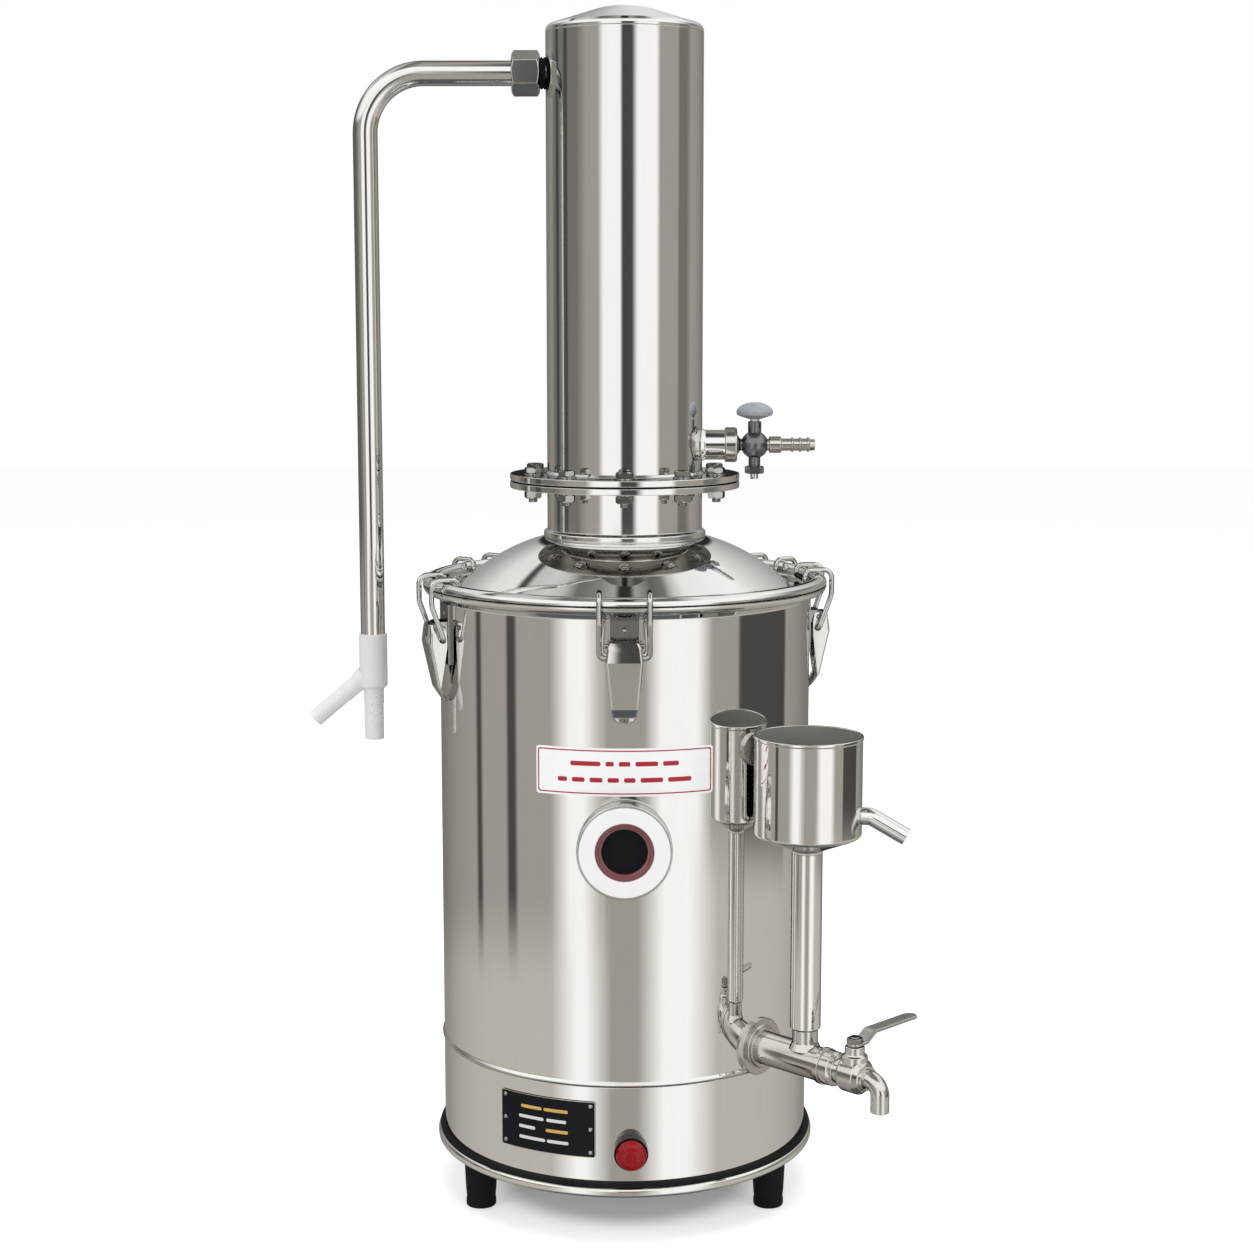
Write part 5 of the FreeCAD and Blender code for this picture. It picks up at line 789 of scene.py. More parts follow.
# ---- base ---------------------------------------------------------------------------
@dataclass
class Base:
    """Feet, base plate with its rolled edge, trim ring, skirt, name plate and lamp."""

    foot_circle: float = 110.0
    foot_azimuths: tuple[float, ...] = (60.0, 180.0, 300.0)
    foot_top: float = 11.0
    foot_low: float = 9.5
    foot_lip: float = 9.9
    foot_lip_height: float = 4.6
    foot_recess_r: float = 5.2
    foot_recess: float = 18.0
    foot_bore: float = 2.5
    plate_r: float = 127.1
    bead_height: float = 6.6
    bead_width: float = 5.0
    trim_height: float = 2.4
    trim_width: float = 3.4
    skirt_wall: float = 1.2
    name_start: float = -39.8
    name_end: float = -8.6
    name_low: float = 57.3
    name_high: float = 94.1
    name_thickness: float = 0.7
    name_edge: float = 0.45
    rule_height: float = 2.1
    rules: tuple[tuple[str, float, tuple[Pair, ...]], ...] = (
        ("gold", 10.2, ((-10.0, 15.0), (7.2, 16.5))), ("white", 3.4, ((-10.2, 18.0), (7.6, 13.5))),
        ("white", -3.4, ((-13.2, 12.0),)), ("gold", -3.4, ((8.0, 15.0),)),
        ("white", -10.4, ((-9.6, 19.0), (8.6, 14.5))))
    rivet_inset: float = 3.2
    lamp_azimuth: float = 1.8
    lamp_z: float = 63.0
    lamp_reach: float = 9.0
    lamp_r: float = 10.8
    lens_r: float = 9.7
    lens_rise: float = 6.2
    lens_rings: int = 37
    lens_spokes: int = 144
    spoke_facets: Pair = (12.0, 0.16)
    ring_facets: Pair = (4.5, 0.14)

    def build(self, frame: dict) -> None:
        """Builds every piece of the base."""
        self.feet()
        self.plate()
        self.skirt()
        self.name_plate()
        self.lamp()
        dress(frame, ZINC, "foot_screws")
        dress(frame, BLACK_PLASTIC, "cable_gland")

    def feet(self) -> None:
        """Turned rubber feet: a cone that widens upwards over a lip, its recess open below."""
        recess, bore, lip = self.foot_recess_r, self.foot_bore, self.foot_lip_height
        profile = rounded([(recess, 0, 0.3), (self.foot_lip, 0, 1.2), (self.foot_lip, lip, 0.5),
                           (self.foot_low, lip + 1.0, 0.4), (self.foot_low + 0.6, 12.0, 4.0),
                           (self.foot_top, FOOT_HEIGHT, 0.2), (bore, FOOT_HEIGHT, 0.1),
                           (bore, self.foot_recess, 0.1), (recess, self.foot_recess, 0.2)])
        shape = Shape()
        for azimuth in self.foot_azimuths:
            shape.revolve(profile, standing(azimuth, self.foot_circle, 0), 64)
        place_piece(shape.build("rubber_feet"), BLACK_RUBBER, "feet")

    def plate(self) -> None:
        """The bright base plate's rolled edge and the dark trim ring that lies on it."""
        top = FOOT_HEIGHT + self.bead_height
        edge = self.bead_width / 2
        profile = rounded([
            (0.0, FOOT_HEIGHT, 0), (self.plate_r, FOOT_HEIGHT, edge), (self.plate_r, top, edge),
            (BODY_R, top, 0), (BODY_R, PLATE_TOP, 0), (0.0, PLATE_TOP, 0)], closed=False)
        plate = Shape().revolve(profile, Place(), BODY_SEGMENTS, False).build("base_plate_steel")
        place_piece(plate, POLISHED, "base_plate")
        outer = BODY_R + self.trim_width
        ring = rounded([(BODY_R, top, 0), (outer, top, 0.3), (outer, top + self.trim_height, 1.1),
                        (BODY_R, top + self.trim_height, 0)])
        trim = Shape().revolve(ring, Place(), BODY_SEGMENTS).build("trim_ring_rubber")
        place_piece(trim, BLACK_RUBBER, "base_trim_ring")

    def skirt(self) -> None:
        """The skirt's sheet, its top edge turned slightly inwards."""
        inner = BODY_R - self.skirt_wall
        profile = rounded([(inner, PLATE_TOP, 0), (BODY_R, PLATE_TOP, 0), (BODY_R, SKIRT_TOP, 0.5),
                           (inner, SKIRT_TOP, 0.4)])
        skirt = Shape().revolve(profile, Place(), BODY_SEGMENTS).build("skirt_sheet")
        place_piece(skirt, POLISHED, "base_skirt")

    def name_plate(self) -> None:
        """A black plate with a light edge line, rows of blank bars and six domed rivets.

        Each row of rules has its ink, its height over the middle, and its bars as pairs of a
        shift to the right and a length.
        """
        low, high = math.radians(self.name_start) * BODY_R, math.radians(self.name_end) * BODY_R
        middle = ((low + high) / 2, (self.name_low + self.name_high) / 2)
        width, height = high - low, self.name_high - self.name_low
        face = BODY_R + self.name_thickness
        shape = Shape()
        wrapped_pad(shape, round_rectangle(middle, width, height, 1.2), BODY_R, face)
        place_piece(shape.build("name_plate_panel"), BLACK_PLATE, "name_plate")
        edge = Shape()
        both = 2 * self.name_edge
        inner = round_rectangle(middle, width - both, height - both, 0.9)
        wrapped_frame(edge, round_rectangle(middle, width, height, 1.2), inner, BODY_R, face + 0.06)
        place_piece(edge.build("name_plate_edge"), SATIN)
        inks = {"gold": Shape(), "white": Shape()}
        for ink, rise, bars in self.rules:
            for shift, length in bars:
                spot = (middle[0] + shift, middle[1] + rise)
                bar = round_rectangle(spot, length, self.rule_height, 0.8, 80)
                wrapped_pad(inks[ink], bar, face - PRINT_SINK, face + PRINT_SINK)
        place_piece(inks["gold"].build("name_plate_gold_rule"), GOLD_INK)
        place_piece(inks["white"].build("name_plate_white_rules"), WHITE_INK)
        rivets = Shape()
        dome = rounded(
            [(0.0, 0.75, 0), (0.9, 0.7, 0.5), (1.5, 0.12, 0.2), (1.5, -0.6, 0)], closed=False)
        inset = self.rivet_inset
        turned = math.degrees(inset / BODY_R)
        for azimuth in (self.name_start + turned, self.name_end - turned):
            for z in (self.name_low + inset, middle[1], self.name_high - inset):
                rivets.revolve(dome, facing(azimuth, face, z), 24, False)
        place_piece(rivets.build("name_plate_rivets"), ZINC, "plate_rivets")

    def lamp(self) -> None:
        """A black collar with a red lens that is faceted in rings and spokes.

        The facets are half waves, each set with how many there are and how deep they go.
        """
        place = facing(self.lamp_azimuth, BODY_R, self.lamp_z)
        bore, foot, reach = self.lens_r - 0.8, self.lamp_r + 0.2, self.lamp_reach
        collar = rounded([(bore, 2.0, 0), (bore, reach - 1.2, 0.2), (self.lens_r + 0.2, reach, 0.3),
                          (self.lamp_r, reach - 0.6, 0.6), (foot, 0.4, 0.3), (foot, -1.5, 0),
                          (bore, -1.5, 0)])
        bezel = Shape().revolve(collar, place, 72)
        place_piece(bezel.build("lamp_collar"), BLACK_GLOSS, "indicator_bezel")
        t = np.linspace(0, 1, self.lens_rings)[:, None]
        spin = full_turn(self.lens_spokes)[None]
        radius = (self.lens_r - 0.1) * np.sin(t * math.pi / 2) + 0 * spin
        dome = 2.2 + (self.lens_rise - 2.4) * np.cos(t * math.pi / 2) ** 0.9
        (spokes, spoke_depth), (rings, ring_depth) = self.spoke_facets, self.ring_facets
        facets = spoke_depth * np.abs(np.sin(spin * spokes)) * t
        facets = facets + ring_depth * np.abs(np.sin(t * math.pi * rings))
        lift = reach - 0.6 + dome - facets * (1 - t ** 6)
        local = np.stack([radius * np.cos(spin), radius * np.sin(spin), lift], -1)
        skirt = local[-1:].copy()
        skirt[..., 2] = reach - 3.0
        lens = Shape().grid(place.world(np.vstack([local, skirt])), False, True)
        place_piece(lens.build("lamp_lens"), RED_LENS, "indicator_lens")


# ---- boiler -------------------------------------------------------------------------
@dataclass
class Boiler:
    """The boiler's shell with its rolled rim, the water-level label and the sight port."""

    wall: float = 1.2
    seam_bead: float = 1.3
    seam_height: float = 1.7
    rim_half: float = 5.2
    rim_flare: float = 3.3
    label_half_angle: float = 26.5
    label_low: float = 290.7
    label_high: float = 320.9
    label_thickness: float = 0.25
    border_gap: Pair = (2.2, 2.6)
    border_width: float = 0.8
    dash_rows: tuple[tuple[float, tuple[float, ...]], ...] = (
        (5.3, (19.0, 5.0, 7.0, 14.0, 10.0)), (-4.9, (6.0, 8.0, 8.0, 7.0, 7.0, 14.0, 15.0)))
    dash_gap: float = 3.2
    dash_height: float = 2.9
    sight_z: float = 258.8
    sight_neck_r: float = 24.5
    sight_seat: float = 129.5
    sight_face: float = 139.1
    ring_r: float = 29.75
    ring_step: float = 1.5
    ring_bore: float = 18.3
    ring_depth: float = 14.0
    gasket_bore: float = 14.3

    def build(self, frame: dict) -> None:
        """Builds the shell, the label and the sight port, and dresses what lies inside."""
        self.shell()
        self.label()
        self.sight_port()
        dress(frame, DARK_GLASS, "sight_glass_window")
        dress(frame, SATIN, "boiler_floor")
        dress(frame, WIRE, "heater_element")
        dress(frame, CERAMIC, "terminal_block")
        dress(frame, BLACK_PLASTIC, "thermal_cutout")

    def shell(self) -> None:
        """The wall from its seam bead up to the rim that is rolled over outwards."""
        low_rim = SHELL_TOP - self.rim_half
        flare = low_rim - self.rim_flare
        inner = BODY_R - self.wall
        bead = BODY_R + self.seam_bead
        seam = SHELL_BOTTOM + self.seam_height
        profile = rounded([(inner, SHELL_BOTTOM, 0), (bead - 0.5, SHELL_BOTTOM, 0.3),
                           (bead, SHELL_BOTTOM + 1.0, 0.8), (bead - 0.3, seam, 0.8),
                           (BODY_R, seam + self.seam_bead, 0.8), (BODY_R, flare, 2.0),
                           (RIM_INNER_R + 0.6, low_rim, 0.8), (RIM_OUTER_R, low_rim, 5.0),
                           (RIM_OUTER_R, SHELL_TOP, 0.3), (RIM_INNER_R, SHELL_TOP, 0),
                           (RIM_INNER_R, low_rim + 1.4, 0), (inner, flare + 0.6, 0)])
        shape = Shape().revolve(profile, Place(), BODY_SEGMENTS)
        outer_r, bore, seat = self.sight_neck_r, self.gasket_bore, self.sight_seat - BODY_R
        neck = np.array([(outer_r - 2, -6), (outer_r, -6), (outer_r, seat), (bore, seat),
                         (bore, seat - 2), (outer_r - 2, seat - 2)])
        shape.revolve(neck, facing(0, BODY_R, self.sight_z), 72)
        place_piece(shape.build("boiler_wall"), POLISHED, "boiler_shell")

    def label(self) -> None:
        """A white label with a thin red border and two rows of blank dashes."""
        half = math.radians(self.label_half_angle) * BODY_R
        middle = (0.0, (self.label_low + self.label_high) / 2)
        height = self.label_high - self.label_low
        face = BODY_R + self.label_thickness
        sheet = Shape()
        wrapped_pad(sheet, round_rectangle(middle, 2 * half, height, 1.0), BODY_R, face)
        place_piece(sheet.build("level_label_sheet"), WHITE_LABEL, "level_label")
        ink, low, top = Shape(), face - PRINT_SINK, face + 0.04
        wide, high = 2 * half - self.border_gap[0], height - self.border_gap[1]
        outer = round_rectangle(middle, wide, high, 1.0)
        both = 2 * self.border_width
        inner = round_rectangle(middle, wide - both, high - both, 0.6)
        wrapped_frame(ink, outer, inner, low, top)
        for rise, lengths in self.dash_rows:
            start = -(sum(lengths) + self.dash_gap * (len(lengths) - 1)) / 2
            for length in lengths:
                spot = (start + length / 2, middle[1] + rise)
                wrapped_pad(ink, round_rectangle(spot, length, self.dash_height, 0.9, 60), low, top)
                start += length + self.dash_gap
        place_piece(ink.build("level_label_print"), RED_INK)

    def sight_port(self) -> None:
        """A steel clamp ring with a white face, and the brown gasket round the window."""
        depth = self.ring_depth
        place = facing(0, self.sight_face - depth, self.sight_z)
        face_r = self.ring_r - self.ring_step
        bore, back_r, back = self.ring_bore, self.ring_bore + 4.0, depth - 6.2
        ring = rounded([
            (back_r, 1.0, 0.3), (self.ring_r, 0.0, 0.6), (self.ring_r, depth - 1.0, 0.6),
            (face_r, depth - 1.0, 0.2), (face_r, depth, 0.5), (bore, depth, 0.8), (bore, back, 0),
            (back_r, back, 0)])
        clamp = Shape().revolve(ring, place, 128)
        piece = place_piece(clamp.build("sight_clamp_ring"), WHITE_PLASTIC, "sight_glass_ring")

        def outside(centre: Array, facing_way: Array) -> Array:
            """Whether a face lies beyond the white face's edge, by its distance from the axis."""
            return np.hypot(centre[:, 0], centre[:, 2] - self.sight_z) > face_r - 0.1

        refinish(piece, POLISHED, outside)
        recess, hole = depth - 1.6, self.gasket_bore
        seal = rounded([(hole, recess - 4.0, 0), (bore, recess - 4.0, 0), (bore, recess, 0.4),
                        (hole + 2.0, recess + 0.2, 0.6), (hole + 1.5, recess - 0.9, 0.4),
                        (hole, recess - 1.2, 0.5)])
        gasket = Shape().revolve(seal, place, 96)
        place_piece(gasket.build("sight_gasket"), BROWN_RUBBER, "sight_glass_gasket")


# ---- lid, neck and flanges ----------------------------------------------------------
@dataclass
class Lid:
    """Domed lid with a trough and a rolled rim, the neck, and the bolted flanges."""

    wall: float = 1.2
    spigot_gap: float = 0.4
    trough_z: float = 407.9
    dome_foot_r: float = 109.5
    bulge: float = 4.6
    bead: float = 2.4
    bead_height: float = 4.0
    flange_r: float = 75.5
    bolt_count: int = 10
    bolt_circle: float = 62.8
    washer_r: float = 6.2
    washer_height: float = 1.0
    flats: float = 10.0
    head_height: float = 4.0
    nut_height: float = 5.0
    nut_bore: float = 6.0
    hex_chamfer: float = 1.0
    thread_r: float = 2.62
    thread_depth: float = 0.7
    thread_turns: int = 9
    thread_start: float = -2.6
    thread_length: float = 7.5

    def build(self, frame: dict) -> None:
        """Builds the lid, the neck with both flanges, and the bolts."""
        self.dome()
        self.neck()
        self.upper_flange()
        self.bolts()
        dress(frame, BLACK_RUBBER, "lid_gasket", "flange_gasket")

    def dome(self) -> None:
        """A turned dome: an arc from the neck to the trough, then the wall and the rim."""
        wall_out = RIM_INNER_R - self.spigot_gap
        wall_in = wall_out - self.wall
        rise = DOME_TOP - self.trough_z
        foot_r, trough, under = self.dome_foot_r, self.trough_z, self.trough_z - self.wall
        chord = math.hypot(foot_r - NECK_R, rise)
        lean = np.array([rise / chord, (foot_r - NECK_R) / chord])
        middle = np.array([(NECK_R + foot_r) / 2, trough + rise / 2]) + self.bulge * lean
        arc = arc_three((NECK_R, DOME_TOP), middle, (foot_r, trough), 40)
        crown = (RIM_OUTER_R + wall_in) / 2
        rest = rounded([
            tuple(arc[-1]) + (0,), (foot_r + 0.6, trough, 0.5), (wall_in, trough, 1.2),
            (wall_in, LID_RIM_TOP, (crown - wall_in) * 0.8), (RIM_OUTER_R, LID_RIM_TOP, 4.9),
            (RIM_OUTER_R, LID_SEAT, 0.3), (wall_out, LID_SEAT, 0), (wall_out, under, 0.4),
            (foot_r, under, 0), (NECK_R, DOME_TOP - self.wall, 0)], closed=False)
        lid = Shape().revolve(np.vstack([arc, rest[1:]]), Place(), BODY_SEGMENTS)
        place_piece(lid.build("lid_dome_sheet"), POLISHED_DOME, "lid_dome")

    def neck(self) -> None:
        """The neck tube on its foot bead, with the lower flange welded round its top; the flange's
        underside is painted darker as shade.
        """
        inner = NECK_R - self.wall
        foot = DOME_TOP - 0.6
        top = FLANGE_BOTTOM + FLANGE_THICKNESS
        bead, over = NECK_R + self.bead, foot + self.bead_height
        profile = rounded([
            (inner, foot, 0), (bead, foot, 1.2), (bead, over, 1.6), (NECK_R, over + 1.2, 1.0),
            (NECK_R, FLANGE_BOTTOM, 1.6), (self.flange_r, FLANGE_BOTTOM, 0.5),
            (self.flange_r, top, 0.5), (inner, top, 0)])
        neck = Shape().revolve(profile, Place(), 160)
        piece = place_piece(neck.build("neck_and_lower_flange"), POLISHED, "neck_flange")

        def underneath(centre: Array, facing_way: Array) -> Array:
            """Whether a face is on the flange's underside: it looks down, outside the neck."""
            return (facing_way[:, 2] < -0.9) & (np.hypot(centre[:, 0], centre[:, 1]) > NECK_R + 1)

        # painted shade: the flange's downward faces take a darker steel
        refinish(piece, PAINTED_SHADE_UNDERSIDE, underneath)

    def upper_flange(self) -> None:
        """The upper flange: a turned disc with broken edges, a weld fillet at the tube."""
        low = FLANGE_TOP - FLANGE_THICKNESS
        profile = rounded([
            (NECK_R - 0.1, low, 0), (self.flange_r, low, 0.5), (self.flange_r, FLANGE_TOP, 0.5),
            (NECK_R + 1.8, FLANGE_TOP, 1.2), (NECK_R - 0.1, FLANGE_TOP + 1.8, 0)])
        flange = Shape().revolve(profile, Place(), 160)
        place_piece(flange.build("upper_flange_disc"), POLISHED, "upper_flange")

    def bolts(self) -> None:
        """Ten hex bolts with washers above, and washers, nuts and threaded ends below."""
        heads, nuts = Shape(), Shape()
        washer = rounded([(3.0, 0, 0), (self.washer_r, 0, 0.2),
                          (self.washer_r, self.washer_height, 0.3), (3.0, self.washer_height, 0)])
        z = np.linspace(0, 1, 45)[:, None]
        turn = full_turn(24)[None]
        for azimuth in np.arange(self.bolt_count) * 360.0 / self.bolt_count:
            top = standing(azimuth, self.bolt_circle, FLANGE_TOP)
            heads.revolve(washer, top, 40)
            seat = standing(azimuth, self.bolt_circle, FLANGE_TOP + self.washer_height)
            heads.hexagon(self.flats, self.head_height, 0.0, self.hex_chamfer, seat)
            below = FLANGE_BOTTOM - self.washer_height
            nuts.revolve(washer, standing(azimuth, self.bolt_circle, below), 40)
            bottom = standing(azimuth, self.bolt_circle, below - self.nut_height)
            nuts.hexagon(self.flats, self.nut_height, self.nut_bore, self.hex_chamfer, bottom)
            phase = (z * self.thread_turns + turn / (2 * math.pi)) % 1.0
            ridge = np.abs(phase - 0.5) * self.thread_depth
            radius = np.where(z > 0.02, self.thread_r + ridge, 2.2)
            height = self.thread_start + self.thread_length * z + 0 * turn
            local = np.stack([radius * np.cos(turn), radius * np.sin(turn), height], -1)
            end = np.zeros_like(local[:1])
            end[..., 2] = self.thread_start
            heads.grid(bottom.world(np.vstack([end, local])), False, True)
        place_piece(heads.build("flange_hex_bolts"), ZINC, "flange_bolts")
        place_piece(nuts.build("flange_hex_nuts"), ZINC, "flange_nuts_and_washers")


# ---- condenser and return pipe ------------------------------------------------------
@dataclass
class Condenser:
    """The tower's tube and domed cap, the return pipe with its seal and nut, and the wye."""

    wall: float = 1.2
    cap_edge: float = 4.4
    cap_knuckle: float = 4.1
    cap_slope: float = 18.0
    cap_crown: float = 22.0
    stub_r: float = 9.8
    stub_reach: float = 15.0
    boss_r: float = 8.9
    boss_bore: float = 8.06
    boss_reach: float = 8.0
    return_z: float = 738.9
    seal_r: float = 10.2
    seal_length: float = 3.6
    nut_flats: float = 25.6
    nut_length: float = 18.2
    nut_bore: float = 16.12
    nut_turn: float = 30.0
    pipe_r: float = 8.0
    pipe_wall: float = 1.0
    pipe_insert: float = 11.0
    leg_x: float = 167.6
    bend_r: float = 38.0
    pipe_bottom: float = 358.9
    sleeve_r: float = 9.3
    sleeve_top: float = 374.9
    sleeve_low: float = 338.9
    wye_leg_r: float = 6.4
    wye_leg_low: float = 303.9
    branch_r: float = 5.7
    branch_length: float = 51.5
    branch_tilt: float = 40.0
    branch_lift: float = 11.7
    grips: Pair = (24.0, 26.0)
    stop_step: float = 0.3
    wye_wall: float = 1.3

    def build(self, frame: dict) -> None:
        """Builds the tower and everything on its left side."""
        self.tower()
        self.cap()
        self.seal_and_nut()
        self.pipe()
        self.wye()
        dress(frame, SATIN, "steam_tube_bundle", "distillate_tray", "distillate_outlet")

    def tower(self) -> None:
        """The tube with the inlet stub and the return boss, each on a small weld fillet."""
        low = FLANGE_TOP - FLANGE_THICKNESS
        inner = NECK_R - self.wall
        profile = rounded([(inner, low, 0), (NECK_R, low, 0), (NECK_R, CONDENSER_TOP, 0.35),
                           (inner, CONDENSER_TOP, 0)])
        shape = Shape().revolve(profile, Place(), 160)
        r, reach = self.stub_r, self.stub_reach
        stub = rounded([(r - 2, -3, 0), (r + 1.4, -1.6, 0), (r + 0.5, 0.9, 0.8), (r, 1.8, 0.8),
                        (r, reach, 0.4), (r - 2, reach, 0)])
        shape.revolve(stub, pointing((NECK_R, 0, COCK_Z), (1, 0, 0)), 72)
        boss = np.array([(self.boss_bore, -3), (self.boss_r, -3), (self.boss_r, self.boss_reach),
                         (self.boss_bore, self.boss_reach)])
        shape.revolve(boss, pointing((-NECK_R, 0, self.return_z), (-1, 0, 0)), 48)
        place_piece(shape.build("condenser_tube"), POLISHED, "condenser_shell")

    def cap(self) -> None:
        """The cap: a knuckle flush with the tube, a low cone and a spherical crown.

        The crown meets the cone in one tangent, so its radius is crown / sin(slope).
        """
        slope = math.radians(self.cap_slope)
        edge = CONDENSER_TOP + self.cap_edge
        crown_z = edge + (NECK_R - self.cap_crown) * math.tan(slope)
        radius = self.cap_crown / math.sin(slope)
        t = np.linspace(0, slope, 20)
        height = crown_z + radius * (np.cos(t) - math.cos(slope))
        crown = np.column_stack([radius * np.sin(t), height])
        side = rounded([(self.cap_crown, crown_z, 0), (NECK_R, edge, self.cap_knuckle),
                        (NECK_R, CONDENSER_TOP + 0.15, 0.35), (NECK_R - 1.0, CONDENSER_TOP, 0),
                        (0.0, CONDENSER_TOP, 0)], closed=False, turn=4.0)
        cap = Shape().revolve(np.vstack([crown, side[1:]]), Place(), 160, False)
        place_piece(cap.build("condenser_cap_dome"), POLISHED_DOME, "condenser_cap")

    def seal_and_nut(self) -> None:
        """A rubber sleeve with two swellings, and the chamfered hex nut over it."""
        start = NECK_R - 0.6
        length = self.seal_length + 0.6
        place = pointing((-start, 0, self.return_z), (-1, 0, 0))
        z = np.linspace(0, 1, 33)
        swell = self.seal_r - 0.9 + 0.9 * np.abs(np.sin(z * 2 * math.pi))
        bore = [(self.boss_r, length), (self.boss_r, 0)]
        profile = np.vstack([np.column_stack([swell, z * length]), bore])
        seal = Shape().revolve(profile, place, 64)
        place_piece(seal.build("return_seal_rubber"), BLACK_RUBBER, "return_seal")
        seat = pointing((-(NECK_R + self.seal_length), 0, self.return_z), (-1, 0, 0))
        size = self.nut_flats, self.nut_length, self.nut_bore
        nut = Shape().hexagon(*size, 1.6, seat, self.nut_turn)
        place_piece(soften(nut.build("return_hex_nut"), 0.8), LATCH_STEEL, "return_nut")

    def pipe(self) -> None:
        """The bent pipe: a run out, a bend of 38 mm and a long drop."""
        start = -(NECK_R + self.seal_length + self.nut_length - self.pipe_insert)
        path = rounded([(start, 0, self.return_z, 0), (-self.leg_x, 0, self.return_z, self.bend_r),
                        (-self.leg_x, 0, self.pipe_bottom, 0)], closed=False, turn=4.0)
        pipe = Shape().sweep(path, self.pipe_r, self.pipe_r - self.pipe_wall, 64, 0.3)
        tube = pipe.build("return_pipe_tube")
        place_piece(tube, POLISHED_PIPE, "return_pipe", body="return_pipe")

    def wye(self) -> None:
        """A moulded wye: a sleeve that narrows to a straight leg, and a slanted branch."""
        bore = self.wye_leg_r - self.wye_wall
        leg_stop = self.wye_leg_low + self.grips[0]
        stout = self.wye_leg_r + self.stop_step
        hug, stop_z = self.pipe_r + 0.05, self.pipe_bottom - 1.5
        profile = rounded([
            (bore, self.wye_leg_low, 0.4), (self.wye_leg_r, self.wye_leg_low, 0.5),
            (self.wye_leg_r, leg_stop, 0.2), (stout, leg_stop + 0.3, 0.2),
            (stout, self.sleeve_low - 1, 1.5), (self.sleeve_r, self.sleeve_low + 1.2, 1.2),
            (self.sleeve_r, self.sleeve_top, 0.5), (hug, self.sleeve_top, 0.2), (hug, stop_z, 0),
            (bore, stop_z, 0)])
        body = Shape().revolve(profile, Place((-self.leg_x, 0, 0)), 96).build("wye_moulding")
        tilt = math.radians(self.branch_tilt)
        root = np.array([-self.leg_x, 0, self.sleeve_low + self.branch_lift])
        way = np.array([-math.cos(tilt), 0, -math.sin(tilt)])
        r, inner = self.branch_r, self.branch_r - self.wye_wall
        end = self.branch_length
        stop = end - self.grips[1]
        side = rounded([(inner, 6.0, 0), (r + 1.6, 7.0, 0), (r + self.stop_step, 14.0, 4.0),
                        (r + self.stop_step, stop, 0.2), (r, stop + 0.3, 0.2), (r, end, 0.5),
                        (inner, end, 0.4)])
        branch = Shape().revolve(side, pointing(root, way), 72).build("wye_branch")
        place_piece(body, CLEAR_WHITE, "wye", body="wye")
        place_piece(branch, CLEAR_WHITE, body="wye")


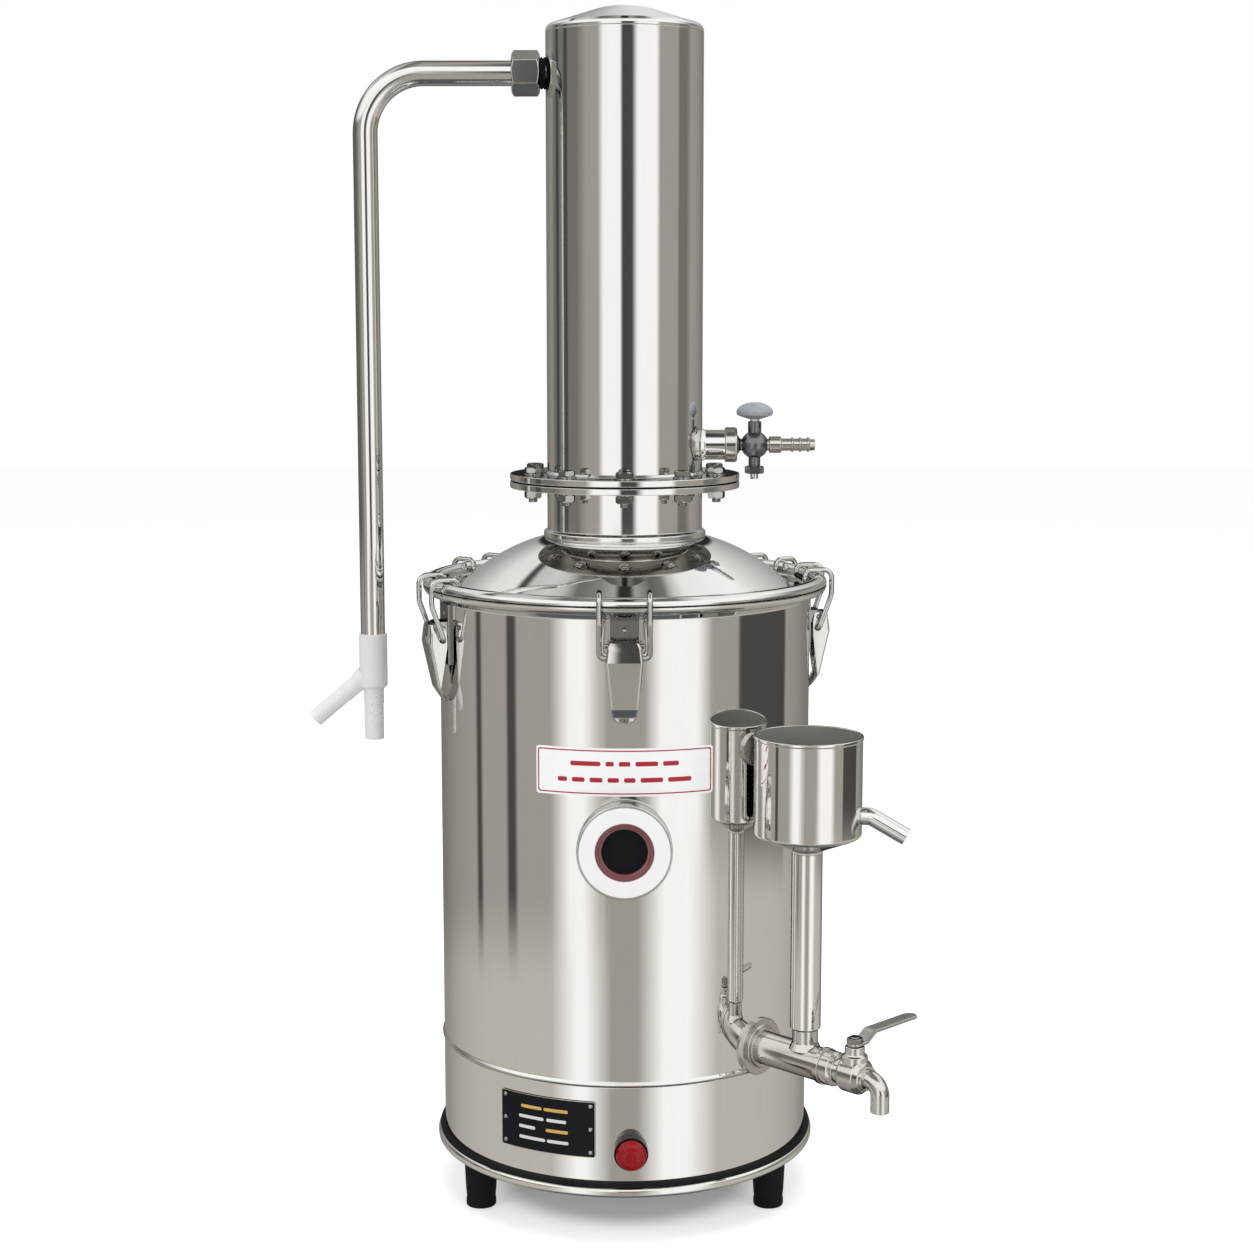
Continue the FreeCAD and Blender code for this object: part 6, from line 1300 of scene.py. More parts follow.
# ---- cooling-water cock -------------------------------------------------------------
@dataclass
class Cock:
    """Union nut, dark ball body, bright hose tail, mushroom knob and tail nut."""

    start_x: float = 66.0
    union_r: float = 11.4
    union_length: float = 7.8
    plug_x: float = 85.4
    ball: float = 18.2
    neck_r: float = 5.3
    waist_r: float = 3.9
    collar_r: float = 5.4
    collar_end: float = 102.6
    barb_r: float = 4.0
    barb_length: float = 22.4
    barb_ridges: int = 3
    barb_pitch: float = 5.2
    barb_rise: float = 0.8
    knob_r: float = 12.1
    knob_height: float = 11.2
    knob_rim: float = 0.42
    stem_rise: float = 22.3
    bore_r: float = 2.25
    stem_r: float = 3.05
    gland_r: float = 3.9
    gland_low: float = -13.7
    gland_high: float = 15.4

    def build(self, frame: dict) -> None:
        """Builds the cock from the union nut out to the hose tail."""
        axis = pointing((self.start_x, 0, COCK_Z), (1, 0, 0))
        union_nut = rounded([
            (self.neck_r, 0, 0), (self.union_r, 0, 0.5), (self.union_r, self.union_length, 1.4),
            (self.neck_r, self.union_length, 0.3)])
        nut = Shape().revolve(union_nut, axis, 96)
        place_piece(nut.build("inlet_union_ring"), TURNED, "inlet_union_nut")
        self.body()
        self.tail()
        self.knob()
        dress(frame, WIRE, "cock_plug")
        dress(frame, ZINC, "cock_tail_nut")

    def body(self) -> None:
        """The ball with its neck, and the gland above and below, each a turned form."""
        middle = Place((self.plug_x, 0, COCK_Z))
        shape = Shape()
        shape.sphere(self.ball, middle, 56)
        bore, stem, r = self.bore_r, self.stem_r, self.gland_r
        reach = self.plug_x - self.start_x - 5.0
        neck = rounded([(bore, 1.0, 0), (self.neck_r, 1.0, 0), (self.neck_r, 7.2, 0.6),
                        (self.neck_r + 0.8, 8.4, 0.5), (self.waist_r, 10.0, 0.6),
                        (self.waist_r, reach, 0), (bore, reach, 0)])
        shape.revolve(neck, pointing((self.start_x, 0, COCK_Z), (1, 0, 0)), 56)
        top = self.gland_high
        shape.revolve(rounded([(stem, 5.0, 0), (r + 0.5, 7.0, 0), (r + 0.5, top - 0.4, 0.6),
                               (r, top, 0.2), (stem, top, 0)]), middle, 56)
        low = self.gland_low
        shape.revolve(
            rounded([(stem, low, 0), (r, low, 0.5), (r, -5.0, 0), (stem, -5.0, 0)]), middle, 56)
        place_piece(shape.build("cock_ball_body"), DARK_CHROME, "cock_body")

    def tail(self) -> None:
        """The collar and the hose tail with its saw-tooth ridges, in bright metal."""
        shoulder = self.ball / 2 + 0.2
        collar = self.collar_end - self.plug_x
        r, tip = self.barb_r, self.barb_r + self.barb_rise
        corners = [(self.bore_r, 6.0, 0), (self.waist_r, 6.0, 0), (self.waist_r, shoulder, 0.2),
                   (self.collar_r, shoulder + 0.4, 0.4), (self.collar_r, collar, 0.7),
                   (r, collar + 0.6, 0.3)]
        end = collar + self.barb_length
        start = end - self.barb_ridges * self.barb_pitch
        for ridge in range(self.barb_ridges):
            low = start + ridge * self.barb_pitch
            corners += [
                (r, low, 0.2), (tip, low + 0.3, 0.3), (tip, low + 1.1, 0.4), (r, low + 1.7, 0.3)]
        corners += [(r - 0.4, end, 0.3), (self.bore_r, end, 0.1)]
        axis = pointing((self.plug_x, 0, COCK_Z), (1, 0, 0))
        tail = Shape().revolve(rounded(corners), axis, 64)
        place_piece(tail.build("cock_hose_tail"), TURNED)

    def knob(self) -> None:
        """A mushroom knob: a flat cone below, a soft rim and a low crown above."""
        base = self.stem_rise - self.knob_height / 2
        r, h = self.knob_r, self.knob_height
        t = np.linspace(0, math.pi / 2, 28)
        crown = np.column_stack([r * np.sin(t), self.knob_rim * h + 0.58 * h * np.cos(t) ** 1.1])
        below = rounded([(r, self.knob_rim * h, 0), (r * 0.97, 0.24 * h, 1.2), (4.4, 0.02 * h, 1.2),
                         (3.0, 0.0, 0)], closed=False)
        profile = np.vstack([crown, below[1:], [(3.0, 0.4 * h)]])
        shape = Shape().revolve(profile, Place((self.plug_x, 0, COCK_Z + base)), 96, False)
        knob = shape.build("cock_mushroom_knob", False)
        place_piece(knob, GREY_KNOB, "cock_knob", body="cock_plug")


# ---- latches ------------------------------------------------------------------------
@dataclass
class Latches:
    """Five over-centre latches: each a folded lever and a wire bail; the brackets stay solids."""

    azimuths: tuple[tuple[str, float], ...] = (
        ("front", 0.0), ("left", -70.0), ("rear_left", -127.0), ("rear_right", 127.0),
        ("right", 97.0))
    pin_r: float = 129.3
    pin_z: float = 385.6
    bail_r: float = 128.3
    bail_z: float = 377.8
    sheet: float = 1.2
    corner: float = 1.7
    wire_r: float = 1.7
    bail_half: float = 15.5
    bail_end: float = 10.1
    knee_drop: float = 8.5
    rim_gaps: Pair = (1.4, 0.6)
    wall_gap: float = 1.2
    hook: float = 6.6
    fold: tuple[Triple, ...] = (
        (6.2, 2.5, 0), (7.4, -9.6, 1.6), (1.4, -39.2, 1.6), (-4.4, -48.6, 0))
    half_widths: tuple[Pair, ...] = ((-2.5, 8.9), (-1.0, 10.3), (9.6, 11.6), (39.2, 8.8),
                                     (43.5, 8.1), (46.4, 6.9), (48.0, 5.2), (48.6, 3.6))
    flange_ends: tuple[Pair, ...] = (
        (-2.5, -2.3), (2.0, -3.9), (12.8, -3.9), (39.2, -0.3), (48.6, -5.7))

    def build(self, frame: dict) -> None:
        """Builds the five levers and bails."""
        for name, azimuth in self.azimuths:
            self.lever(name, azimuth)
            self.bail(name, azimuth)
        dress(frame, BRACKET_STEEL, "latch_brackets")

    def lever(self, name: str, azimuth: float) -> None:
        """A C-shaped section carried down the lever's folded front.

        Each station has a front radius, a height, a half width and a flange depth; its section
        runs up one flange, across the front and down the other, and back inside the sheet.
        Half widths and flange ends are pairs of a drop below the pin and a value there.
        """
        front = rounded(self.fold, closed=False, turn=4.0)
        run = np.interp(np.linspace(0, 1, 70), np.linspace(0, 1, len(front)), np.arange(len(front)))
        line = np.column_stack([np.interp(run, np.arange(len(front)), front[:, k]) for k in (0, 1)])
        drop = -line[:, 1]
        half = np.interp(drop, *zip(*self.half_widths))
        back = np.interp(drop, *zip(*self.flange_ends))
        depth = np.maximum(line[:, 0] - back, self.sheet + 0.3)
        turn = np.linspace(0, math.pi / 2, 7)
        corner, sheet = self.corner, self.sheet
        arc = np.column_stack([np.cos(turn), np.sin(turn)])
        side = corner - corner * arc
        tight = corner - 0.6
        bend = sheet + tight - tight * arc
        rows = []
        for outline, reach in ((side, 0.0), (bend, sheet)):
            x = np.r_[np.full(1, reach), outline[:, 0]]
            limit = np.minimum(np.r_[1e3, outline[:, 1]], depth[:, None])
            across = -half[:, None] + x
            rows.append((np.hstack([across, -across[:, ::-1]]), np.hstack([limit, limit[:, ::-1]])))
        across = np.hstack([rows[0][0], rows[1][0][:, ::-1]])
        inward = np.hstack([rows[0][1], rows[1][1][:, ::-1]])
        height = np.broadcast_to(line[:, 1:2], across.shape)
        local = np.stack([across, height, line[:, :1] - inward], -1)
        place = facing(azimuth, self.pin_r, self.pin_z)
        shape = Shape().grid(place.world(local), False, True)
        count = across.shape[1]
        pairs = count // 2
        for base in (0, (len(line) - 1) * count):
            end = base + count - 1
            strip = ([base + k, base + k + 1, end - 1 - k, end - k] for k in range(pairs - 1))
            shape.faces += strip
        node_name = f"latch_lever_{name}"
        place_piece(shape.build(f"latch_{name}_lever"), LATCH_STEEL, node_name, body=node_name)

    def bail(self, name: str, azimuth: float) -> None:
        """One round wire from a lever's side up round the rim, over it and back down.

        It clears the rim by one gap outside it and another above, and hooks in behind it as
        far out as the curved wall lets its two sides go: sqrt(wall^2 - half^2), less a gap.
        """
        half, wire = self.bail_half, self.wire_r
        wall_there = math.sqrt((RIM_INNER_R - 1.6) ** 2 - (half + wire) ** 2)
        inner_r = wall_there - self.wall_gap - wire
        outer_r = RIM_OUTER_R + self.rim_gaps[0] + wire
        top = LID_RIM_TOP + self.rim_gaps[1] + wire
        knee = SHELL_TOP - self.knee_drop
        right = [
            (self.bail_end, self.bail_z, self.bail_r, 0), (half, self.bail_z, self.bail_r, 3.4),
            (half, knee, outer_r, 12.0), (half, top, outer_r, 5.6), (half, top, inner_r, 4.2),
            (half, top - self.hook, inner_r, 2.2)]
        left = [(-x, z, r, turn) for x, z, r, turn in reversed(right)]
        path = rounded(right + left, closed=False, turn=8.0)
        bail = Shape().sweep(facing(azimuth, 0, 0).world(path), wire, 0.0, 20, 0.2)
        node_name = f"latch_bail_{name}"
        place_piece(bail.build(f"latch_{name}_bail"), WIRE, node_name, body=node_name)


# ---- feed cup, drain and tap --------------------------------------------------------
@dataclass
class Feed:
    """Drain tee with its escutcheon, the stand pipe, the feed cup and its saddle."""

    tee_r: float = 10.65
    tee_wall: float = 1.6
    collar_r: float = 11.7
    collar_length: float = 4.0
    socket_r: float = 8.1
    stand_bottom: float = 139.7
    stand_r: float = 9.7
    stand_taper: float = 1.2
    stand_length: float = 113.6
    cup_r: float = 33.8
    cup_wall: float = 1.2
    cup_bottom: float = 253.3
    cone_height: float = 11.5
    cup_height: float = 63.0
    lip: float = 0.5
    outlet_r: float = 7.7
    spill_lift: float = 13.0
    spill_r: float = 5.5
    spill_azimuth: float = 80.0
    spill_length: float = 25.0
    spill_tilt: float = 29.0
    spill_wall: float = 0.9
    spill_sides: int = 48
    escutcheon_r: float = 18.5
    escutcheon_plate: float = 2.2
    escutcheon_hub_r: float = 13.0
    escutcheon_hub: float = 5.2
    saddle_width: float = 36.0
    saddle_height: float = 21.0
    saddle_thickness: float = 2.0
    web_half: float = 6.0
    web_end: float = 32.8

    def build(self, frame: dict) -> None:
        """Builds the feed line from the boiler's wall to the cup."""
        self.tee()
        self.escutcheon()
        self.stand_pipe()
        self.cup()
        self.saddle()

    def tee(self) -> None:
        """The drain pipe, a collar at its end and the socket that is welded on its top."""
        start = BODY_R - 7
        place = facing(FEED_AZIMUTH, start, DRAIN_Z)
        end = DRAIN_END_R - start
        bore = self.tee_r - self.tee_wall
        step = end - self.collar_length
        run = rounded([(bore, 0, 0), (self.tee_r, 0, 0), (self.tee_r, step, 0.2),
                       (self.collar_r, step, 0.5), (self.collar_r, end, 0.5), (bore, end, 0.2)])
        shape = Shape().revolve(run, place, 80)
        rise = self.stand_bottom - DRAIN_Z
        r, inner = self.socket_r, self.socket_r - self.cup_wall
        socket = rounded([
            (inner, 6.0, 0), (r + 2.2, 7.6, 0), (r, 12.2, 2.5), (r, rise, 0.3), (inner, rise, 0)])
        shape.revolve(socket, standing(FEED_AZIMUTH, FEED_R, DRAIN_Z), 72)
        place_piece(shape.build("drain_tee_pipe"), SATIN_PIPE, "drain_tee")

    def escutcheon(self) -> None:
        """A flat disc with a hub round the pipe; its back edge follows the boiler's curve.

        At a point that stands a distance across from the middle, the boiler falls back by
        R - sqrt(R^2 - across^2), and the disc's rim reaches down to it.
        """
        place = facing(FEED_AZIMUTH, BODY_R, DRAIN_Z)
        r, hub = self.escutcheon_r, self.escutcheon_hub_r
        plate, rise = self.escutcheon_plate, self.escutcheon_hub
        angle = full_turn(112)
        profile = rounded([(self.tee_r, rise - 1.0, 0), (self.tee_r, rise, 0.2), (hub, rise, 0.7),
                           (hub, plate, 0.5), (r, plate, 0.7), (r, 0.6, 0), (r, 0.0, 0)])
        radius, height = profile[:, :1], profile[:, 1:2]
        across = radius * np.cos(angle)
        fall = np.where(height < 0.5, BODY_R - np.sqrt(BODY_R ** 2 - across ** 2), 0.0)
        local = np.stack([across, radius * np.sin(angle), height - fall], -1)
        disc = Shape().grid(place.world(local), True, True)
        place_piece(disc.build("drain_escutcheon_disc"), SATIN, "drain_escutcheon")

    def stand_pipe(self) -> None:
        """The stand pipe: it widens from the socket's size and runs up into the cup's neck."""
        wall = self.cup_wall
        profile = rounded([
            (self.socket_r - wall, 0, 0), (self.socket_r + 0.3, 0, 0.2),
            (self.stand_r, self.stand_taper, 0.8), (self.stand_r, self.stand_length, 0),
            (self.stand_r - wall, self.stand_length, 0),
            (self.stand_r - wall, self.stand_taper, 0)])
        pipe = Shape().revolve(profile, standing(FEED_AZIMUTH, FEED_R, self.stand_bottom), 80)
        place_piece(pipe.build("stand_pipe_tube"), POLISHED_PIPE, "stand_pipe")

    def cup(self) -> None:
        """The cup: a cone, a straight wall and a rolled lip, with the overflow spout."""
        r, cone, wall = self.cup_r, self.cone_height, self.cup_wall
        rim = cone + self.cup_height
        profile = rounded([
            (self.outlet_r, 0.0, 0), (self.stand_r, 0.0, 0.3), (self.stand_r + 0.4, 2.0, 1.0),
            (r, cone, 3.0), (r, rim - 2.4, 0.5), (r + self.lip, rim - 1.8, 0.4),
            (r + self.lip, rim, 0.6), (r - wall, rim, 0.4), (r - wall, cone + 1.0, 3.0),
            (self.outlet_r + 1, wall * 2, 1.0), (self.outlet_r, wall * 2, 0)])
        shape = Shape().revolve(profile, standing(FEED_AZIMUTH, FEED_R, self.cup_bottom), 144)
        shape.grid(*self.spout())
        piece = place_piece(shape.build("feed_cup_sheet"), POLISHED, "feed_cup")
        middle = polar(FEED_AZIMUTH, FEED_R, 0.0)
        low, high = self.cup_bottom + wall * 1.5, self.cup_bottom + rim - 0.3

        def inside(centre: Array, facing_way: Array) -> Array:
            """Whether a face is inside the cup: within its wall, and facing its axis or upwards."""
            away = (centre - middle)[:, :2]
            level = (centre[:, 2] > low) & (centre[:, 2] < high)
            within = np.hypot(away[:, 0], away[:, 1]) < r
            inwards = (facing_way[:, :2] * away).sum(1) < 0
            return level & within & (inwards | (facing_way[:, 2] > 0.3))

        refinish(piece, DULL_INSIDE, inside)

    def spout(self) -> tuple[Array, bool, bool]:
        """The overflow spout: a short stub out of the cup, then a slanted run, both hollow."""
        angle = math.radians(self.spill_azimuth)
        way = np.array([math.sin(angle), -math.cos(angle), 0])
        root = polar(FEED_AZIMUTH, FEED_R, self.cup_bottom + self.cone_height + self.spill_lift)
        tilt = math.radians(self.spill_tilt)
        corner = root + way * (self.cup_r + 5.5)
        end = corner + (way * math.cos(tilt) - np.array([0, 0, math.sin(tilt)])) * self.spill_length
        start = root + way * (self.cup_r - 3.2)
        path = rounded([(*start, 0), (*corner, 8.0), (*end, 0)], closed=False, turn=4.0)
        bore, sides = self.spill_r - self.spill_wall, self.spill_sides
        tube = Shape().sweep(path, self.spill_r, bore, sides, 0.2)
        return tube.points[0].reshape(-1, sides, 3), True, True

    def saddle(self) -> None:
        """A plate with round ends, wrapped on the boiler, and the web that carries the cup."""
        top = self.cup_bottom + self.cone_height + self.cup_height - 2.5
        middle = top - self.saddle_height / 2
        shift = math.radians(FEED_AZIMUTH) * BODY_R
        centre, height = (shift, middle), self.saddle_height
        outline = round_rectangle(centre, self.saddle_width, height, height / 2 - 0.01, 96)
        inset = (outline - centre) * 0.965 + centre
        face = BODY_R + self.saddle_thickness
        rows = [on_body(outline, BODY_R - 0.3), on_body(outline, face - 0.5), on_body(inset, face)]
        spine = np.column_stack([inset[:, 0], np.full(len(inset), middle)])
        rows += [on_body(t * inset + (1 - t) * spine, face) for t in (0.75, 0.5, 0.25, 0.0)]
        shape = Shape().grid(np.stack(rows), False, True)
        half, far = self.web_half, FEED_R - self.web_end
        web = np.array([(-half, BODY_R), (half, BODY_R), (half, far), (-half, far)])
        along_boiler, outwards = (tuple(polar(FEED_AZIMUTH + turn, 1, 0)) for turn in (90, 0))
        shape.prism(web, top - height, top, Place((0, 0, 0), along_boiler, outwards, (0, 0, 1)))
        spot = rounded([(0.0, 0.5, 0), (1.6, 0.35, 0.5), (2.2, -0.2, 0.2)], closed=False)
        for side in (-1, 1):
            azimuth = FEED_AZIMUTH + math.degrees(side * (self.saddle_width - height) / 2 / BODY_R)
            shape.revolve(spot, facing(azimuth, face, middle), 28, False)
        place_piece(soften(shape.build("cup_saddle"), 0.4), SATIN, "cup_bracket")


@dataclass
class Tap:
    """Drain tap: a turned body with its bonnet, the down-turned spout and the cranked lever."""

    sleeve_r: float = 11.0
    sleeve: float = 7.5
    waist_r: float = 7.8
    waist: float = 5.0
    body_r: float = 11.3
    body: float = 17.5
    collar_r: float = 7.8
    collar: float = 2.4
    bore_r: float = 4.0
    bonnet_r: float = 6.2
    bonnet_rise: float = 18.6
    boss_r: float = 8.2
    stem_r: float = 3.05
    spout_r: float = 5.8
    spout_bend: float = 9.0
    spout_reach: float = 9.2
    spout_drop: float = 19.0
    lever_azimuth: float = 135.0
    lever_half: float = 5.0
    lever_thickness: float = 2.0
    lever_length: float = 59.0
    lever_step: float = 5.2
    lever_root: float = 7.0
    lever_run: float = 8.0
    lever_sides: int = 36
    edge_power: float = 0.35

    def build(self, frame: dict) -> None:
        """Builds the tap's body and its lever, and dresses its stem and nut."""
        self.tap_body()
        self.lever()
        dress(frame, WIRE, "tap_stem")
        dress(frame, ZINC, "tap_nut")

    def tap_body(self) -> None:
        """One turned run, a bonnet with two steps, and a bent spout."""
        waist_end = self.sleeve + self.waist
        end = waist_end + self.body
        last = end + self.collar
        run = rounded([
            (self.bore_r, 0, 0), (self.sleeve_r, 0, 0.5), (self.sleeve_r, self.sleeve - 0.8, 0.5),
            (self.waist_r, self.sleeve + 1.0, 0.8), (self.waist_r, waist_end, 0.8),
            (self.body_r, waist_end + 3, 1.6), (self.body_r, end - 3, 1.6),
            (self.collar_r + 0.9, end, 0.6), (self.collar_r, end + 0.4, 0.2),
            (self.collar_r, last, 0.5), (self.bore_r, last, 0)])
        out = facing(FEED_AZIMUTH, DRAIN_END_R, DRAIN_Z)
        shape = Shape().revolve(run, out, 88)
        centre = waist_end + self.body / 2
        stand = standing(FEED_AZIMUTH, DRAIN_END_R + centre, DRAIN_Z)
        r, rise, boss, stem = self.bonnet_r, self.bonnet_rise, self.boss_r, self.stem_r
        bonnet = rounded([(stem, 7.5, 0), (boss, 8.0, 0), (boss, 12.5, 0.6), (r + 0.5, 13.2, 0.5),
                          (r, 14.0, 0.4), (r, rise, 0.6), (stem, rise, 0)])
        shape.revolve(bonnet, stand, 64)
        corner = last + self.spout_reach
        path = rounded([(0, 0, last - 1.2, 0), (0, 0, corner, self.spout_bend),
                        (0, -self.spout_drop, corner, 0)], closed=False, turn=5.0)
        shape.sweep(out.world(path), self.spout_r, self.spout_r - 1.2, 56, 0.25)
        place_piece(shape.build("tap_casting"), SATIN_PIPE, "tap_body")

    def lever(self) -> None:
        """A strap: a rounded section carried along the cranked side line, its ends round in plan.

        The half width at a distance d from an end's centre is sqrt(half^2 - d^2), and the section
        is a superellipse, so that its edges are soft.
        """
        low = self.bonnet_rise + 0.3 + self.lever_thickness / 2
        half, high = self.lever_half, low + self.lever_step
        line = rounded([(-half, low, 0), (self.lever_root, low, 2.5),
                        (self.lever_root + self.lever_run, high, 2.5),
                        (self.lever_length, high, 0)], closed=False, turn=5.0)
        run = along(line)
        total = run[-1]
        ease = (1 - np.cos(np.linspace(0, math.pi / 2, 14))) * half
        at = np.r_[ease, np.linspace(half, total - half, 60)[1:-1], total - ease[::-1]]
        path = np.column_stack([np.interp(at, run, line[:, 0]), np.interp(at, run, line[:, 1])])
        near = np.minimum(at, total - at)
        width = np.sqrt(np.maximum(half ** 2 - np.maximum(half - near, 0) ** 2, 1e-4))
        slope = np.gradient(path, at, axis=0)
        slope /= np.linalg.norm(slope, axis=1)[:, None]
        angle, power = full_turn(self.lever_sides), self.edge_power
        side = np.sign(np.cos(angle)) * np.abs(np.cos(angle)) ** power
        rise = np.sign(np.sin(angle)) * np.abs(np.sin(angle)) ** power * self.lever_thickness / 2
        out = path[:, :1] - slope[:, 1:] * rise
        up = path[:, 1:] + slope[:, :1] * rise
        local = np.stack([out, width[:, None] * side, up], -1)
        centre = DRAIN_END_R + self.sleeve + self.waist + self.body / 2
        way = polar(self.lever_azimuth, 1, 0)
        pivot = tuple(polar(FEED_AZIMUTH, centre, DRAIN_Z))
        place = Place(pivot, tuple(way), (-way[1], way[0], 0), (0, 0, 1))
        shape = Shape().grid(place.world(local), False, True)
        place_piece(shape.build("tap_lever_arm"), SATIN, "tap_lever", body="tap_stem")


# ---- studio -------------------------------------------------------------------------
class Level(Enum):
    """How bright a thing in the surroundings is: its tone and its warmth."""

    SOFT_BOX = (1.0, 0.03)
    BRIGHT_WALL = (0.52, 0.15)
    WALL = (0.36, 0.15)
    DIM_WALL = (0.18, 0.15)
    CARD = (0.07, 0.1)


@dataclass(frozen=True)
class Band:
    """A soft box, a card or a stretch of wall, going round from where the last one ends.

    Its own end is an azimuth in degrees, blurred by soft degrees to each side.
    """

    end: float
    level: Level
    soft: float = 1.0


@dataclass
class Studio:
    """The pale floor, the soft lamps, the surroundings that steel mirrors, and the camera."""

    camera_place: Triple = (0.0015, -1.4929, 0.58956)
    pitch: float = 8.02
    lens: float = 65.04
    floor_size: float = 14.0
    floor_lift: float = 0.48
    surround: float = 0.62
    foot_bands: tuple[Band, ...] = (
        Band(-168, Level.CARD), Band(-38, Level.BRIGHT_WALL, 8), Band(-16, Level.SOFT_BOX, 8),
        Band(16, Level.WALL, 8), Band(50, Level.SOFT_BOX, 10), Band(168, Level.BRIGHT_WALL),
        Band(180, Level.CARD))
    low_bands: tuple[Band, ...] = (
        Band(-168, Level.CARD), Band(-104, Level.WALL), Band(-99, Level.CARD),
        Band(-77, Level.WALL), Band(-70, Level.CARD), Band(-40, Level.WALL, 6),
        Band(-20, Level.SOFT_BOX, 5), Band(-12, Level.BRIGHT_WALL), Band(17, Level.WALL, 5),
        Band(50, Level.SOFT_BOX, 5), Band(74, Level.WALL), Band(117, Level.CARD),
        Band(168, Level.WALL), Band(180, Level.CARD))
    high_bands: tuple[Band, ...] = (
        Band(-168, Level.CARD), Band(-130, Level.WALL, 5), Band(-120, Level.DIM_WALL),
        Band(-112, Level.CARD), Band(-100, Level.DIM_WALL), Band(-92, Level.CARD),
        Band(-66, Level.DIM_WALL, 8), Band(-35, Level.WALL, 4), Band(-5, Level.SOFT_BOX, 2),
        Band(15, Level.CARD, 4), Band(50, Level.SOFT_BOX, 3), Band(85, Level.WALL, 2),
        Band(108, Level.DIM_WALL, 6), Band(168, Level.WALL), Band(180, Level.CARD))
    foot_blend: Pair = (-17.2, -14.5)
    right_lift: float = 2.2
    low_blend: Pair = (-7.4, -5.2)
    down_blend: Pair = (-42.0, -24.0)
    down_tones: Tones = ((-90, 0.10, -0.1), (-62, 0.10, -0.1), (-57, 0.36, 0.12), (-27, 0.40, 0.15),
                         (-25.5, 0.10, 0.1), (-23.5, 0.10, 0.1), (-22, 0.32, 0.15), (0, 0.32, 0.15))
    up_tones: Tones = ((0, 0.5, 0.1), (10, 0.5, 0.1), (17, 1.0, 0.03), (54, 1.05, 0.02),
                       (60, 0.42, 0.08), (78, 0.30, 0.1), (90, 0.34, 0.1))
    view: Triple = (0.0, 0.99, -0.139)
    flat_tones: Tones = ((-90, 0.30, 0.05), (-60, 0.42, 0.04), (-35, 0.58, 0.03), (-10, 0.82, 0.02),
                         (10, 0.95, 0.02), (40, 0.95, 0.02), (60, 0.80, 0.03), (90, 0.50, 0.05))
    dome_tones: Tones = (
        (-90, 0.40, 0.05), (-74, 0.52, 0.05), (-64, 0.70, 0.05), (-57, 0.86, 0.04),
        (-46, 0.86, 0.04), (-43.5, 0.08, 0.1), (-41.5, 0.08, 0.1), (-39, 0.58, 0.05),
        (-30, 0.66, 0.04), (-24, 0.55, 0.06), (-18, 0.16, 0.12), (-10, 0.24, 0.12), (-4, 0.40, 0.1),
        (-2, 0.03, 0.0), (2, 0.03, 0.0), (4, 0.38, 0.1), (10, 0.14, 0.12), (15, 0.18, 0.12),
        (18, 0.55, 0.08), (23, 0.88, 0.03), (46, 1.0, 0.02), (52, 0.84, 0.05), (62, 0.70, 0.05),
        (74, 0.58, 0.05), (90, 0.42, 0.05))
    crescent: float = 0.03
    side_card: float = 0.2
    crescent_sides: Pair = (50.0, 58.0)
    crescent_tilts: Pair = (20.0, 22.0)
    flat_tilts: Pair = (10.5, 11.5)
    card_sides: Pair = (35.0, 60.0)
    up_blend: Pair = (10.0, 16.0)
    upright_tilts: Pair = (48.0, 60.0)
    # the painted contact shadow on the floor: its reach in metres and its least share of the glow
    painted_shadow_reach: Pair = (0.072, 0.104)
    painted_shadow_least: float = 0.2
    lamp_table: tuple[tuple[str, Triple, float, float], ...] = (
        ("top", (0.1, -0.2, 2.4), 1.8, 26.0), ("left", (-1.7, -1.5, 1.3), 1.2, 13.0),
        ("right", (1.7, -1.4, 1.1), 1.2, 10.0))
    lamp_aim: Triple = (0.0, 0.0, 0.35)

    def build(self) -> None:
        """Makes the camera first, then the surroundings, the floor and the lamps."""
        self.camera()
        self.world()
        self.floor()
        self.lamps()
        bpy.context.scene.view_settings.view_transform = "Standard"

    def camera(self) -> None:
        """The camera, level in roll, looking slightly down along +Y."""
        data = bpy.data.cameras.new("camera")
        data.lens = self.lens
        data.sensor_width = 36.0
        data.clip_start, data.clip_end = 0.05, 50.0
        camera = bpy.data.objects.new("camera", data)
        camera.location = self.camera_place
        camera.rotation_euler = (math.radians(90 - self.pitch), 0, 0)
        bpy.context.scene.collection.objects.link(camera)
        bpy.context.scene.camera = camera

